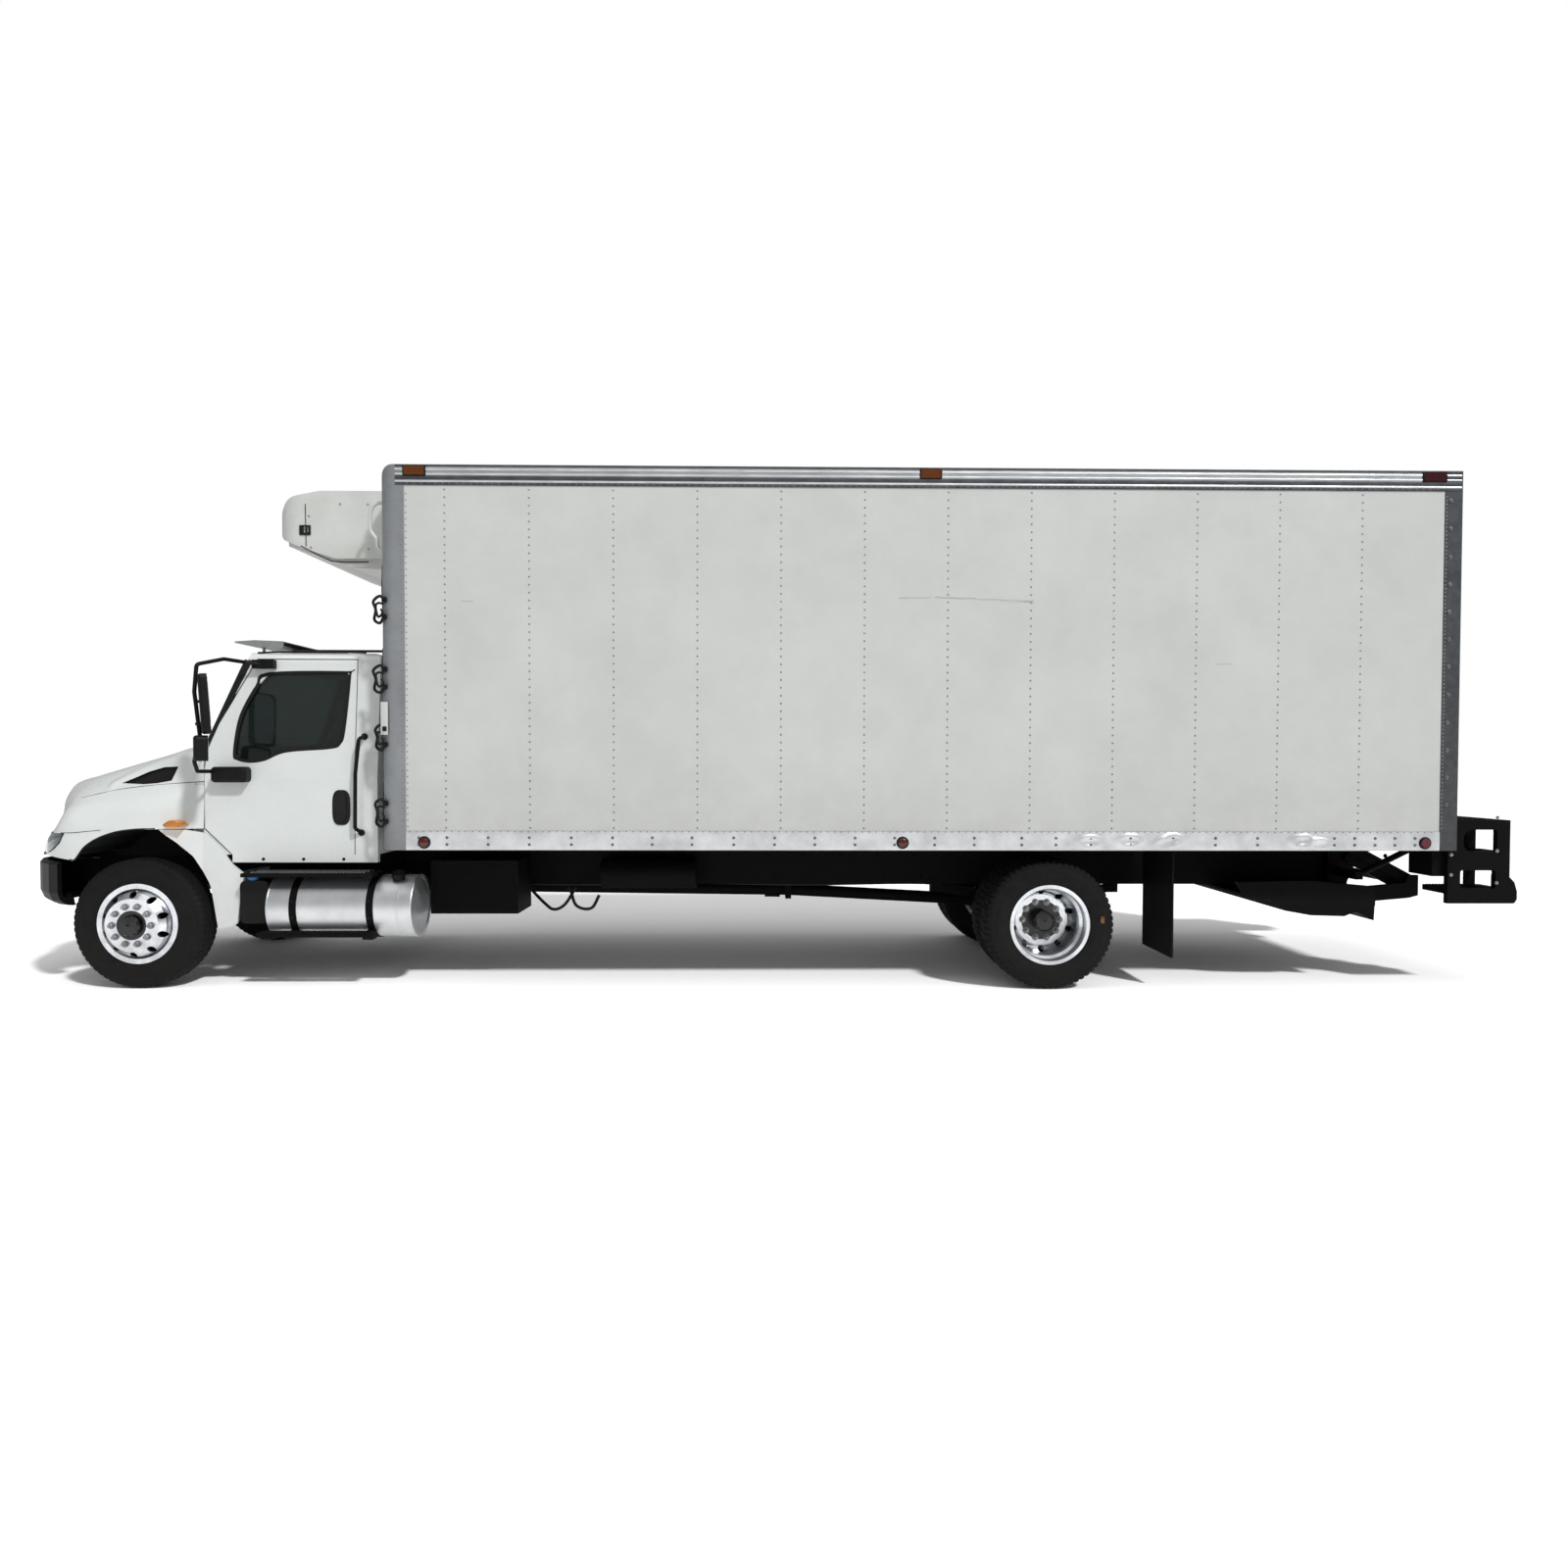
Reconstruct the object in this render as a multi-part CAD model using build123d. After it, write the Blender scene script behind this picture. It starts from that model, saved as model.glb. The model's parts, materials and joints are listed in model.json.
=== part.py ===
"""Refrigerated straight truck with a conventional cab, an insulated box and a lift gate.

Millimetres. +X is forward, +Y is the driver's left, +Z is up. The origin is on the road, midway
between the bumper face and the rear of the step frame, on the truck's centre plane.
"""

from build123d import *
import os
from math import cos, hypot, pi, sin

os.makedirs("parts", exist_ok=True)

# ---------------------------------------------------------------- overall layout
BUMPER_TO_BOX = 2825.0      # bumper face to the front wall of the box
BOX_LENGTH = 7925.0
STEP_LENGTH = 530.0         # rear step frame behind the box
AXLE_TO_BOX = 1850.0        # front axle to the front wall of the box
WHEELBASE = 6780.0
RUN_GAP = 8.0               # gap round a panel that opens

FRONT_X = (BUMPER_TO_BOX + BOX_LENGTH + STEP_LENGTH) / 2
BOX_FRONT_X = FRONT_X - BUMPER_TO_BOX
BOX_REAR_X = BOX_FRONT_X - BOX_LENGTH
REAR_X = -FRONT_X
FRONT_AXLE_X = BOX_FRONT_X + AXLE_TO_BOX
REAR_AXLE_X = FRONT_AXLE_X - WHEELBASE

# ---------------------------------------------------------------- wheels and axles
TYRE_RADIUS = 485.0
TYRE_WIDTH = 268.0
TYRE_FACETS = 60
RIM_LIP_RADIUS = 298.5
BEAD_RADIUS = RIM_LIP_RADIUS - 14
RIM_HALF_WIDTH = 117.0      # wheel centre plane to the outside of the lip
DISC_OFFSET = 168.0         # wheel centre plane to the mating face of the disc
DISC_THICKNESS = 22.0
HAND_HOLE_COUNT = 10
HAND_HOLE_RADIUS = 24.0
HAND_HOLE_CIRCLE = 222.0
FRONT_TRACK_HALF = 1022.0   # wheel centre planes
DUAL_FACE_HALF = 927.0      # face where twin discs meet
KINGPIN_HALF = 862.0
SPINDLE_RADIUS = 32.0
SPINDLE_GAP = 8.0
AXLE_TUBE_RADIUS = 66.0
DRUM_RADIUS = 205.0

# ---------------------------------------------------------------- chassis frame
RAIL_HALF = 432.0           # outside of the rails
RAIL_BOTTOM = 697.0
RAIL_HEIGHT = 270.0
RAIL_FLANGE = 80.0
RAIL_WALL = 9.0
RAIL_FRONT_GAP = 250.0      # bumper face to the rail ends
RAIL_TOP = RAIL_BOTTOM + RAIL_HEIGHT

# ---------------------------------------------------------------- box
BOX_HALF = 1295.5
BOX_BOTTOM = 1048.0
BOX_TOP = 3841.0
BOX_FLOOR_TOP = 1270.0
BOX_WALL = 80.0
BOX_RAIL_PROUD = 5.0        # top and bottom rails stand proud of the side sheet
BOTTOM_RAIL_HEIGHT = 142.0
TOP_RAIL_HEIGHT = 151.0
CORNER_DEPTH = 191.0        # front corner posts along the truck
CORNER_RADIUS = 110.0
FLOOR_DECK = 60.0
FLOOR_BEAM_PITCH = 406.4
PORTAL_DEPTH = 130.0
PORTAL_POST = 122.0
CARGO_SILL_TOP = BOX_FLOOR_TOP + 12.0
ROLL_DOOR_RECESS = 24.0     # face of the roll-up door ahead of the portal's rear face
ROLL_DOOR_THICKNESS = 42.0
ROLL_DOOR_PANELS = 7
ROLL_DOOR_GAP = 3.0         # door edge to the portal posts and header
PANEL_GROOVE = 7.0
TRACK_DEPTH = 26.0

# ---------------------------------------------------------------- cab
CAB_HALF = 1040.0
CAB_ROOF_HALF = 950.0
CAB_BELT = 1560.0
CAB_FLOOR = 992.0
CAB_TOP = 2518.0
ROOF_CROWN = 1.5             # rounded edges start this far above the flat of the roof
CAB_REAR_X = BOX_FRONT_X + 110.0
CAB_WALL = 62.0
FIREWALL_X = FRONT_AXLE_X - 345.0
COWL_Z = 1700.0
SCREEN_BASE_Z = 1802.0
SCREEN_SIDE_X = FRONT_AXLE_X - 429.0     # foot of the windshield at its side
SCREEN_SIDE_HALF = 960.0
SCREEN_BOW = 165.0
SCREEN_RAKE = 0.474                       # rearward travel for each unit of height
GLASS_THICKNESS = 6.0
GLASS_INSET = 12.0
DOOR_FRONT_X = FRONT_AXLE_X - 453.0
DOOR_REAR_X = FRONT_AXLE_X - 1565.0
DOOR_TOP = 2461.0
SILL_DEPTH = 59.0
CHEEK_HALF = 1006.0        # cab side ahead of the doors, inside the fenders

# ---------------------------------------------------------------- hood and bumper
HOOD_WALL = 24.0
HOOD_PIVOT_X = FRONT_X - 90.0
HOOD_PIVOT_Z = 952.0
HOOD_LOW = 976.0
HOOD_PIVOT_HALF = 330.0
LIP_Z = 1193.0
BUMPER_BOTTOM = 609.0
BUMPER_TOP = 943.0
BUMPER_WALL = 46.0
BUMPER_LIP = 45.0           # width of the turned-in lower edge

# ---------------------------------------------------------------- tank and steps
TANK_RADIUS = 235.0
TANK_Z = 597.0
TANK_HALF = 940.0
TANK_FRONT_X = BOX_FRONT_X + 883.0
TANK_REAR_X = BOX_FRONT_X - 172.0
STRAP_WIDTH = 52.0
STRAP_THICKNESS = 6.0
STEP_HALF = 1200.0

# ---------------------------------------------------------------- lift gate
GATE_PIVOT_X = BOX_REAR_X + 365.0
GATE_PIVOT_Z = 920.0
GATE_REACH = 470.0          # pivot to platform pin, rearward
GATE_DROP = 250.0           # pivot to platform pin, downward
GATE_LINK_RISE = 80.0      # parallel arm pins above the lift arm pins
GATE_PIN_RADIUS = 16.0
GATE_PIN_GAP = 1.0
GATE_ARM_HALF_DEPTH = 40.0
ARM_THICKNESS = 30.0
LIFT_ARM_HALF = 512.0
PARALLEL_ARM_HALF = 550.0
SHACKLE_HALF = 592.0
PLATFORM_HALF = 1000.0
STRUT_HALF = 800.0
CROSS_TUBE_SHARE = 0.62     # place of the cross tube along the lift arms
STEP_DEPTH = 470.0          # step towers behind the box, without their bumpers
STEP_LOW = 643.0


# ================================================================ helpers
def block(x0, x1, y0, y1, z0, z1):
    """Rectangular solid between two opposite corners."""
    centre = Pos((x0 + x1) / 2, (y0 + y1) / 2, (z0 + z1) / 2)
    return centre * Box(abs(x1 - x0), abs(y1 - y0), abs(z1 - z0))


def outline(points, radius=0.0):
    """Closed flat face through points, with each corner rounded to radius."""
    if isinstance(radius, (int, float)) and radius == 0.0:
        return make_face(Polyline(*points, close=True))
    return make_face(FilletPolyline(*points, radius=radius, close=True))


def along_y(points, y0, y1, radius=0.0):
    """Outline of (x, z) points carried from y0 to y1."""
    face = Pos(0, y0, 0) * (Plane.XZ * outline(points, radius))
    return extrude(face, amount=y1 - y0, dir=(0, 1, 0))


def along_x(points, x0, x1, radius=0.0):
    """Outline of (y, z) points carried from x0 to x1."""
    face = Pos(x0, 0, 0) * (Plane.YZ * outline(points, radius))
    return extrude(face, amount=x1 - x0, dir=(1, 0, 0))


def along_z(points, z0, z1, radius=0.0):
    """Outline of (x, y) points carried from z0 to z1."""
    return extrude(Pos(0, 0, z0) * outline(points, radius), amount=z1 - z0, dir=(0, 0, 1))


def rod(start, end, radius):
    """Round bar between two points."""
    run = Vector(*end) - Vector(*start)
    return Solid.make_cylinder(radius, run.length, Plane(origin=start, z_dir=run))


def tube_path(points, radius, bend):
    """Round bar along a path whose corners bend at one radius."""
    path = FilletPolyline(*points, radius=bend)
    start = Plane(origin=path @ 0, z_dir=path % 0)
    return sweep(start * Circle(radius), path=path)


def both_sides(shape):
    """The shape and its mirror image on the other side of the truck."""
    return [shape, mirror(shape, about=Plane.XZ)]


def symmetric(half_points):
    """Close an outline of (y, z) points given on the left, bottom to top, by its mirror image."""
    return half_points + [(-y, z) for y, z in reversed(half_points)]


def fuse(*pieces):
    """One solid from pieces that meet."""
    whole = pieces[0]
    for piece in pieces[1:]:
        whole = whole + piece
    return whole


def save(name, *pieces):
    """Write one sub-part, with each piece as a solid of its own."""
    solids = [solid for piece in pieces for solid in piece.solids()]
    export_step(Compound(solids), f"parts/{name}.step")


def spun(profile, centre_x, side, plane_half):
    """Solid turned about a wheel axis. Profile points are (radius, outward) from the wheel plane."""
    face = Plane.XY * make_face(Polyline(*profile, close=True))
    turned = revolve(face, axis=Axis.Y, revolution_arc=360)
    placed = Pos(centre_x, plane_half, TYRE_RADIUS) * turned
    return placed if side > 0 else mirror(placed, about=Plane.XZ)


# ================================================================ wheels
def tyre(centre_x, side, plane_half):
    """Plain tyre in flat facets, resting on one: bead, side wall, shoulder and crown."""
    half = TYRE_WIDTH / 2
    profile = [
        (BEAD_RADIUS, -RIM_HALF_WIDTH + 19),
        (BEAD_RADIUS + 105, -half),
        (TYRE_RADIUS - 34, -half + 5),
        (TYRE_RADIUS, -half + 44),
    ]
    profile = profile + [(r, -y) for r, y in reversed(profile)]
    pitch = 2 * pi / TYRE_FACETS
    rings = []
    for inscribed, outward in profile:
        radius = inscribed / cos(pitch / 2)
        ring = []
        for step in range(TYRE_FACETS):
            turn = pitch * (step + 0.5)
            place = (centre_x + radius * sin(turn), side * (plane_half + outward),
                     TYRE_RADIUS - radius * cos(turn))
            ring.append(Vector(*place))
        rings.append(ring)
    facets = []
    for ring, following in zip(rings, rings[1:] + rings[:1]):
        for step in range(TYRE_FACETS):
            ahead = (step + 1) % TYRE_FACETS
            corners = [ring[step], ring[ahead], following[ahead], following[step]]
            facets.append(Face(Wire.make_polygon(corners)))
    solid = Solid(Shell(facets))
    return solid if solid.volume > 0 else Solid(Shell([-facet for facet in facets]))


def disc_wheel(centre_x, side, plane_half, facing):
    """Disc wheel with its rim. Facing is +1 for a disc proud of the wheel plane, -1 for recessed."""
    lip = RIM_HALF_WIDTH
    bed = RIM_LIP_RADIUS - 15
    face = DISC_OFFSET + DISC_THICKNESS
    rim = [
        (bed, -lip + 14), (RIM_LIP_RADIUS, -lip + 12), (RIM_LIP_RADIUS, -lip),
        (bed - 12, -lip), (bed - 14, -30), (bed - 34, -10), (bed - 34, 40), (bed - 22, lip),
        (RIM_LIP_RADIUS, lip), (RIM_LIP_RADIUS, lip - 12), (bed, lip - 14),
        (bed - 4, 54), (bed - 20, 40), (bed - 20, -4), (bed - 2, -26),
    ]
    disc = [
        (78, DISC_OFFSET), (186, DISC_OFFSET), (225, 132), (bed - 30, 66), (bed - 30, 30),
        (bed - 24, 30), (bed - 24, 84), (236, 152), (196, face), (78, face),
    ]
    turn = [(r, facing * y) for r, y in rim], [(r, facing * y) for r, y in disc]
    wheel = fuse(*(spun(points, centre_x, 1, plane_half) for points in turn))
    for index in range(HAND_HOLE_COUNT):
        angle = 2 * pi * index / HAND_HOLE_COUNT
        x = centre_x + HAND_HOLE_CIRCLE * sin(angle)
        z = TYRE_RADIUS + HAND_HOLE_CIRCLE * cos(angle)
        y = plane_half + facing * 20
        wheel = wheel - rod((x, y, z), (x, y + facing * face, z), HAND_HOLE_RADIUS)
    return wheel if side > 0 else mirror(wheel, about=Plane.XZ)


def front_hub(side):
    """Hub, drum and cap that carry the front disc wheel and turn on the spindle."""
    wheel = FRONT_TRACK_HALF
    bore = SPINDLE_RADIUS + SPINDLE_GAP
    spin = [
        (bore, -60), (DRUM_RADIUS, -60), (DRUM_RADIUS, 40), (150, 60), (150, DISC_OFFSET),
        (78, DISC_OFFSET), (78, 214), (66, 232), (0, 236), (0, 216), (bore, 216),
    ]
    return spun(spin, FRONT_AXLE_X, side, wheel)


def rear_hub(side):
    """Hub, drum and axle flange that carry the twin discs and turn on the axle tube."""
    face = DUAL_FACE_HALF
    bore = AXLE_TUBE_RADIUS + SPINDLE_GAP
    spin = [
        (bore, -230), (DRUM_RADIUS, -230), (DRUM_RADIUS, -60),
        (150, -DISC_THICKNESS), (78, -DISC_THICKNESS), (78, DISC_THICKNESS + 100), (62, 136),
        (0, 140), (0, 110), (bore - 2, 110), (bore - 2, 0), (bore, -20),
    ]
    return spun(spin, REAR_AXLE_X, side, face)


def build_wheels():
    """Front wheels and rear twin wheels."""
    outer = DUAL_FACE_HALF + DISC_OFFSET
    inner = DUAL_FACE_HALF - DISC_OFFSET
    for side, name in ((1, "left"), (-1, "right")):
        save(f"tyre_front_{name}", tyre(FRONT_AXLE_X, side, FRONT_TRACK_HALF))
        front = fuse(disc_wheel(FRONT_AXLE_X, side, FRONT_TRACK_HALF, 1), front_hub(side))
        save(f"rim_front_{name}", front)
        save(f"tyres_rear_{name}", tyre(REAR_AXLE_X, side, outer), tyre(REAR_AXLE_X, side, inner))
        rear = fuse(
            disc_wheel(REAR_AXLE_X, side, outer, -1),
            disc_wheel(REAR_AXLE_X, side, inner, 1),
            rear_hub(side),
        )
        save(f"rims_rear_{name}", rear)


# ================================================================ steering
KINGPIN_RADIUS = 24.0
AXLE_EYE_RADIUS = 48.0
AXLE_EYE_HALF_HEIGHT = 48.0
STEER_ARM_REACH = 210.0     # kingpin to tie rod pin, rearward
STEER_ARM_Z = TYRE_RADIUS - 92.0
TIE_ROD_RADIUS = 19.0


def build_steering():
    """Axle beam with its eyes, knuckles with their spindles and arms, and the tie rod."""
    x, z = FRONT_AXLE_X, TYRE_RADIUS
    beam_half = KINGPIN_HALF - AXLE_EYE_RADIUS + 10
    left = [(520, z - 140), (700, z - 40), (beam_half, z - 34), (beam_half, z + 34), (690, z + 34),
            (510, z - 60)]
    right = [(-y, height) for y, height in reversed(left)]
    beam = along_x(left + right, x - 52, x + 52)
    eyes = both_sides(
        rod((x, KINGPIN_HALF, z - AXLE_EYE_HALF_HEIGHT), (x, KINGPIN_HALF, z + AXLE_EYE_HALF_HEIGHT),
            AXLE_EYE_RADIUS)
    )
    bores = both_sides(
        rod((x, KINGPIN_HALF, z - 60), (x, KINGPIN_HALF, z + 60), KINGPIN_RADIUS + GATE_PIN_GAP)
    )
    springs = both_sides(leaf_spring(x, SPRING_HALF, 1500, z - 60, 150, 55, SPRING_WIDTH))
    save("front_axle", fuse(beam, *eyes, *springs) - bores[0] - bores[1])

    reach = AXLE_EYE_HALF_HEIGHT + 6
    ear = 30.0
    web_half = KINGPIN_HALF + AXLE_EYE_RADIUS + 8
    kingpin = rod((x, KINGPIN_HALF, z - reach), (x, KINGPIN_HALF, z + reach), KINGPIN_RADIUS)
    ears = [
        along_z([(x - 40, KINGPIN_HALF - 36), (x + 40, KINGPIN_HALF - 36),
                 (x + 46, web_half), (x - 46, web_half)], z0, z0 + ear)
        for z0 in (z - reach - ear, z + reach)
    ]
    web = block(x - 46, x + 46, web_half, web_half + 30, z - reach - ear, z + reach + ear)
    spindle = rod((x, web_half, z), (x, FRONT_TRACK_HALF + 200, z), SPINDLE_RADIUS)
    pin_x = x - STEER_ARM_REACH
    arm = along_z([(x + 30, web_half + 1), (x + 30, KINGPIN_HALF - 30), (x - 30, KINGPIN_HALF - 30),
                   (pin_x, KINGPIN_HALF - 24), (pin_x, KINGPIN_HALF + 24), (x - 46, web_half + 1)],
                  STEER_ARM_Z, STEER_ARM_Z + 32)
    eye = rod((pin_x, KINGPIN_HALF, STEER_ARM_Z), (pin_x, KINGPIN_HALF, STEER_ARM_Z + 32), 26)
    knuckle = fuse(kingpin, *ears, web, spindle, arm, eye)
    for name, piece in zip(("left", "right"), both_sides(knuckle)):
        save(f"knuckle_{name}", piece)

    rod_z = STEER_ARM_Z - TIE_ROD_RADIUS - 6
    bar = rod((pin_x, -KINGPIN_HALF, rod_z), (pin_x, KINGPIN_HALF, rod_z), TIE_ROD_RADIUS)
    ends = both_sides(rod((pin_x, KINGPIN_HALF, rod_z - 26), (pin_x, KINGPIN_HALF, rod_z + 22), 24))
    save("tie_rod", fuse(bar, *ends))


# ================================================================ chassis
CROSSMEMBER_BEHIND = (130.0, 2480.0, 3600.0, 5000.0, 6250.0, 7300.0, 8250.0, 9600.0)
SPRING_HALF = 392.0
SPRING_WIDTH = 78.0
GEARBOX_LENGTH = 1300.0
SHAFT_RADIUS = 50.0
SHAFT_BEARING_BEHIND = 3000.0


def build_frame():
    """Two channel rails joined by crossmembers."""
    front = FRONT_X - RAIL_FRONT_GAP
    rear = GATE_PIVOT_X - 40
    top, bottom = RAIL_TOP, RAIL_BOTTOM
    rail = block(rear, front, RAIL_HALF - RAIL_FLANGE, RAIL_HALF, bottom, top) - block(
        rear - 1, front + 1, RAIL_HALF - RAIL_FLANGE - 1, RAIL_HALF - RAIL_WALL,
        bottom + RAIL_WALL, top - RAIL_WALL)
    members = []
    for behind in CROSSMEMBER_BEHIND:
        x = FRONT_X - RAIL_FRONT_GAP - behind
        members.append(block(x - 40, x + 40, -(RAIL_HALF - RAIL_WALL), RAIL_HALF - RAIL_WALL,
                             bottom + 30, bottom + 120))
    save("frame", fuse(*both_sides(rail), *members))


def leaf_spring(centre_x, y, length, seat_z, camber, thickness, width):
    """Curved leaf pack with an eye at each end and the hangers that hold it to the rail."""
    half = length / 2
    points = [(centre_x - half, seat_z + camber), (centre_x, seat_z), (centre_x + half, seat_z + camber)]
    arc = ThreePointArc(*points)
    upper = ThreePointArc(*[(px, pz + thickness) for px, pz in points])
    band = make_face([arc, upper, Line(arc @ 0, upper @ 0), Line(arc @ 1, upper @ 1)])
    leaves = extrude(Pos(0, y - width / 2, 0) * (Plane.XZ * band), amount=width, dir=(0, 1, 0))
    hangers = []
    for sign in (-1, 1):
        x = centre_x + sign * half
        low = seat_z + camber - 8
        hangers.append(block(x - 45, x + 45, y - width / 2, y + width / 2, low, RAIL_BOTTOM))
    return fuse(leaves, *hangers)


def build_axles():
    """Rear axle with its springs and driveshaft, and the engine."""
    rear_seat = TYRE_RADIUS + 82
    springs = both_sides(leaf_spring(REAR_AXLE_X, SPRING_HALF, 1450, rear_seat, 70, 60, SPRING_WIDTH))

    x, z = REAR_AXLE_X, TYRE_RADIUS
    tube_end = DUAL_FACE_HALF + 70
    tube = rod((x, -tube_end, z), (x, tube_end, z), AXLE_TUBE_RADIUS)
    bowl = Pos(x, 0, z) * Rot(0, 90, 0) * Cylinder(195, 190)
    nose = rod((x, 0, z), (x + 330, 0, z + 30), 110)
    seats = both_sides(block(x - 60, x + 60, SPRING_HALF - SPRING_WIDTH / 2,
                             SPRING_HALF + SPRING_WIDTH / 2, z + 30, rear_seat + 10))

    gear_rear = FIREWALL_X - GEARBOX_LENGTH
    bearing = (BOX_FRONT_X - SHAFT_BEARING_BEHIND, 0, 600)
    pinion = (x + 300, 0, z + 28)
    front_shaft = rod((gear_rear - 5, 0, 640), bearing, SHAFT_RADIUS)
    rear_shaft = rod(bearing, pinion, SHAFT_RADIUS)
    carrier = block(bearing[0] - 25, bearing[0] + 25, -90, 90, 530, RAIL_BOTTOM + 30)
    yoke = rod((bearing[0] + 70, 0, 602), (bearing[0] + 200, 0, 604), SHAFT_RADIUS + 18)
    save("rear_axle", fuse(tube, bowl, nose, *seats, *springs, front_shaft, rear_shaft, carrier, yoke))

    engine = block(FIREWALL_X + 25, FIREWALL_X + 780, -300, 300, 640, 1420)
    gearbox = block(gear_rear, FIREWALL_X + 25, -190, 190, 590, 930)
    save("engine_block", fuse(engine, gearbox))


# behind the face, half width, and the outward direction there as its forward and sideways shares
BUMPER_PLAN = (
    (0, 640, 1.00, 0.00),
    (28, 780, 0.96, 0.29),
    (95, 890, 0.82, 0.57),
    (190, 1000, 0.75, 0.66),
    (310, 1110, 0.70, 0.71),
    (400, 1150, 0.30, 0.95),
)
# height and how far the skin is drawn in there
BUMPER_LEVELS = ((943, 14), (925, 0), (715, 0), (655, 22), (622, 68), (609, 120))


def bumper_outline(inset, z):
    """Closed plan outline of the bumper at one height, drawn in by inset."""
    left = [
        Vector(FRONT_X - back - inset * ahead, half - inset * aside, z)
        for back, half, ahead, aside in BUMPER_PLAN
    ]
    right = [Vector(point.X, -point.Y, z) for point in reversed(left)]
    return Face(Wire.make_polygon(left + right))


def build_bumper():
    """Bumper: face, swept ends, lower edge that rolls under, and brackets to the rails."""
    skin = loft([bumper_outline(inset, z) for z, inset in BUMPER_LEVELS], ruled=True)
    hollow = loft([bumper_outline(inset + BUMPER_WALL, z) for z, inset in
                   ((BUMPER_TOP + 1, 0), (715, 0), (655, 22))], ruled=True)
    mouth = extrude(bumper_outline(120 + BUMPER_LIP, BUMPER_BOTTOM - 1), amount=100, dir=(0, 0, 1))
    skin = skin - hollow - mouth
    skin = max(skin.solids(), key=lambda solid: solid.volume)
    back = FRONT_X - BUMPER_WALL
    arms = both_sides(block(FRONT_X - RAIL_FRONT_GAP, back, RAIL_HALF - RAIL_FLANGE,
                            RAIL_HALF, RAIL_BOTTOM + 20, RAIL_TOP - 60))
    near, far = HOOD_PIVOT_HALF + 22, HOOD_PIVOT_HALF + 52
    hinge = both_sides(fuse(
        block(HOOD_PIVOT_X - 50, HOOD_PIVOT_X, near, far, RAIL_BOTTOM + 60, HOOD_PIVOT_Z + 12),
        rod((HOOD_PIVOT_X, near, HOOD_PIVOT_Z), (HOOD_PIVOT_X, far, HOOD_PIVOT_Z), 16),
        rod((HOOD_PIVOT_X, HOOD_PIVOT_HALF - 14, HOOD_PIVOT_Z), (HOOD_PIVOT_X, near, HOOD_PIVOT_Z), 9),
    ))
    shelf = block(FRONT_X - RAIL_FRONT_GAP, back, -RAIL_HALF, RAIL_HALF,
                  RAIL_BOTTOM + 60, RAIL_BOTTOM + 90)
    save("front_bumper", fuse(skin, *arms, shelf, *hinge))


# ================================================================ cab
def cab_volume(inset):
    """Cab outside moved inward by inset: side outline, cross-section and bowed, raked front."""
    top = CAB_TOP - inset
    bottom = CAB_FLOOR + inset
    rear = CAB_REAR_X + inset
    nose = SCREEN_SIDE_X + SCREEN_BOW + 80 - inset
    side = along_y(
        [(rear, bottom), (FIREWALL_X - inset, bottom), (FIREWALL_X - inset, COWL_Z + inset),
         (nose, COWL_Z + 60 + inset), (nose, top), (rear, top)],
        -CAB_HALF, CAB_HALF,
        radius=[0, 0, 0, 0, 0, max(70 - inset, 8)],
    )
    half = CAB_HALF - inset
    crown = top + ROOF_CROWN
    section = symmetric([(half, bottom), (half, CAB_BELT), (CAB_ROOF_HALF - inset, crown)])
    corner = max(95 - inset, 12)
    front_view = along_x(section, rear - 10, nose + 10,
                         radius=[0, 60, corner, corner, 60, 0])
    base_x = SCREEN_SIDE_X - inset * hypot(1, SCREEN_RAKE)
    low = CAB_FLOOR
    lead = (SCREEN_BASE_Z - low) * SCREEN_RAKE
    arc_start = (base_x + lead, -SCREEN_SIDE_HALF)
    arc_mid = (base_x + lead + SCREEN_BOW, 0)
    arc_end = (base_x + lead, SCREEN_SIDE_HALF)
    back = rear - 1200
    corner_x = base_x + lead - 90
    bow = ThreePointArc(arc_start, arc_mid, arc_end)
    rest = Polyline(arc_end, (corner_x, CAB_HALF + 20), (back, CAB_HALF + 20),
                    (back, -CAB_HALF - 20), (corner_x, -CAB_HALF - 20), arc_start)
    plan = Pos(0, 0, low) * make_face([bow, rest])
    rise = CAB_TOP - low
    raked = Solid.extrude(plan.faces()[0], Vector(-SCREEN_RAKE * rise, 0, rise))
    post_x = DOOR_FRONT_X + RUN_GAP
    cheeks = both_sides(block(post_x, post_x + 900, CHEEK_HALF - inset, CAB_HALF + 60, 0, CAB_TOP))
    return (side & front_view & raked) - cheeks[0] - cheeks[1]


def door_outline(grow):
    """Side outline of a cab door, moved outward by grow."""
    top = DOOR_TOP + grow
    front = DOOR_FRONT_X + grow
    rear = DOOR_REAR_X - grow
    bottom = CAB_FLOOR - grow
    pillar_foot = (front, 1806 + grow)
    pillar_top_x = front - (top - 1806 - grow) * 0.56
    return [
        (rear, bottom), (front - 202, bottom), (front, bottom + 199), pillar_foot,
        (pillar_top_x, top), (rear, top),
    ]


def window_outline():
    """Side outline of the door window opening."""
    a = FRONT_AXLE_X
    return [
        (a - 700, 1708), (a - 668, 1745), (a - 684, 1926), (a - 722, 2073), (a - 818, 2256),
        (a - 905, 2352), (a - 1490, 2366), (a - 1512, 2340), (a - 1478, 1928), (a - 1448, 1828),
        (a - 1380, 1795), (a - 1120, 1780), (a - 1010, 1758), (a - 900, 1706), (a - 792, 1690),
    ]


WINDOW_RADII = [20, 20, 150, 200, 120, 50, 12, 12, 120, 40, 60, 150, 120, 120, 120]


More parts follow.
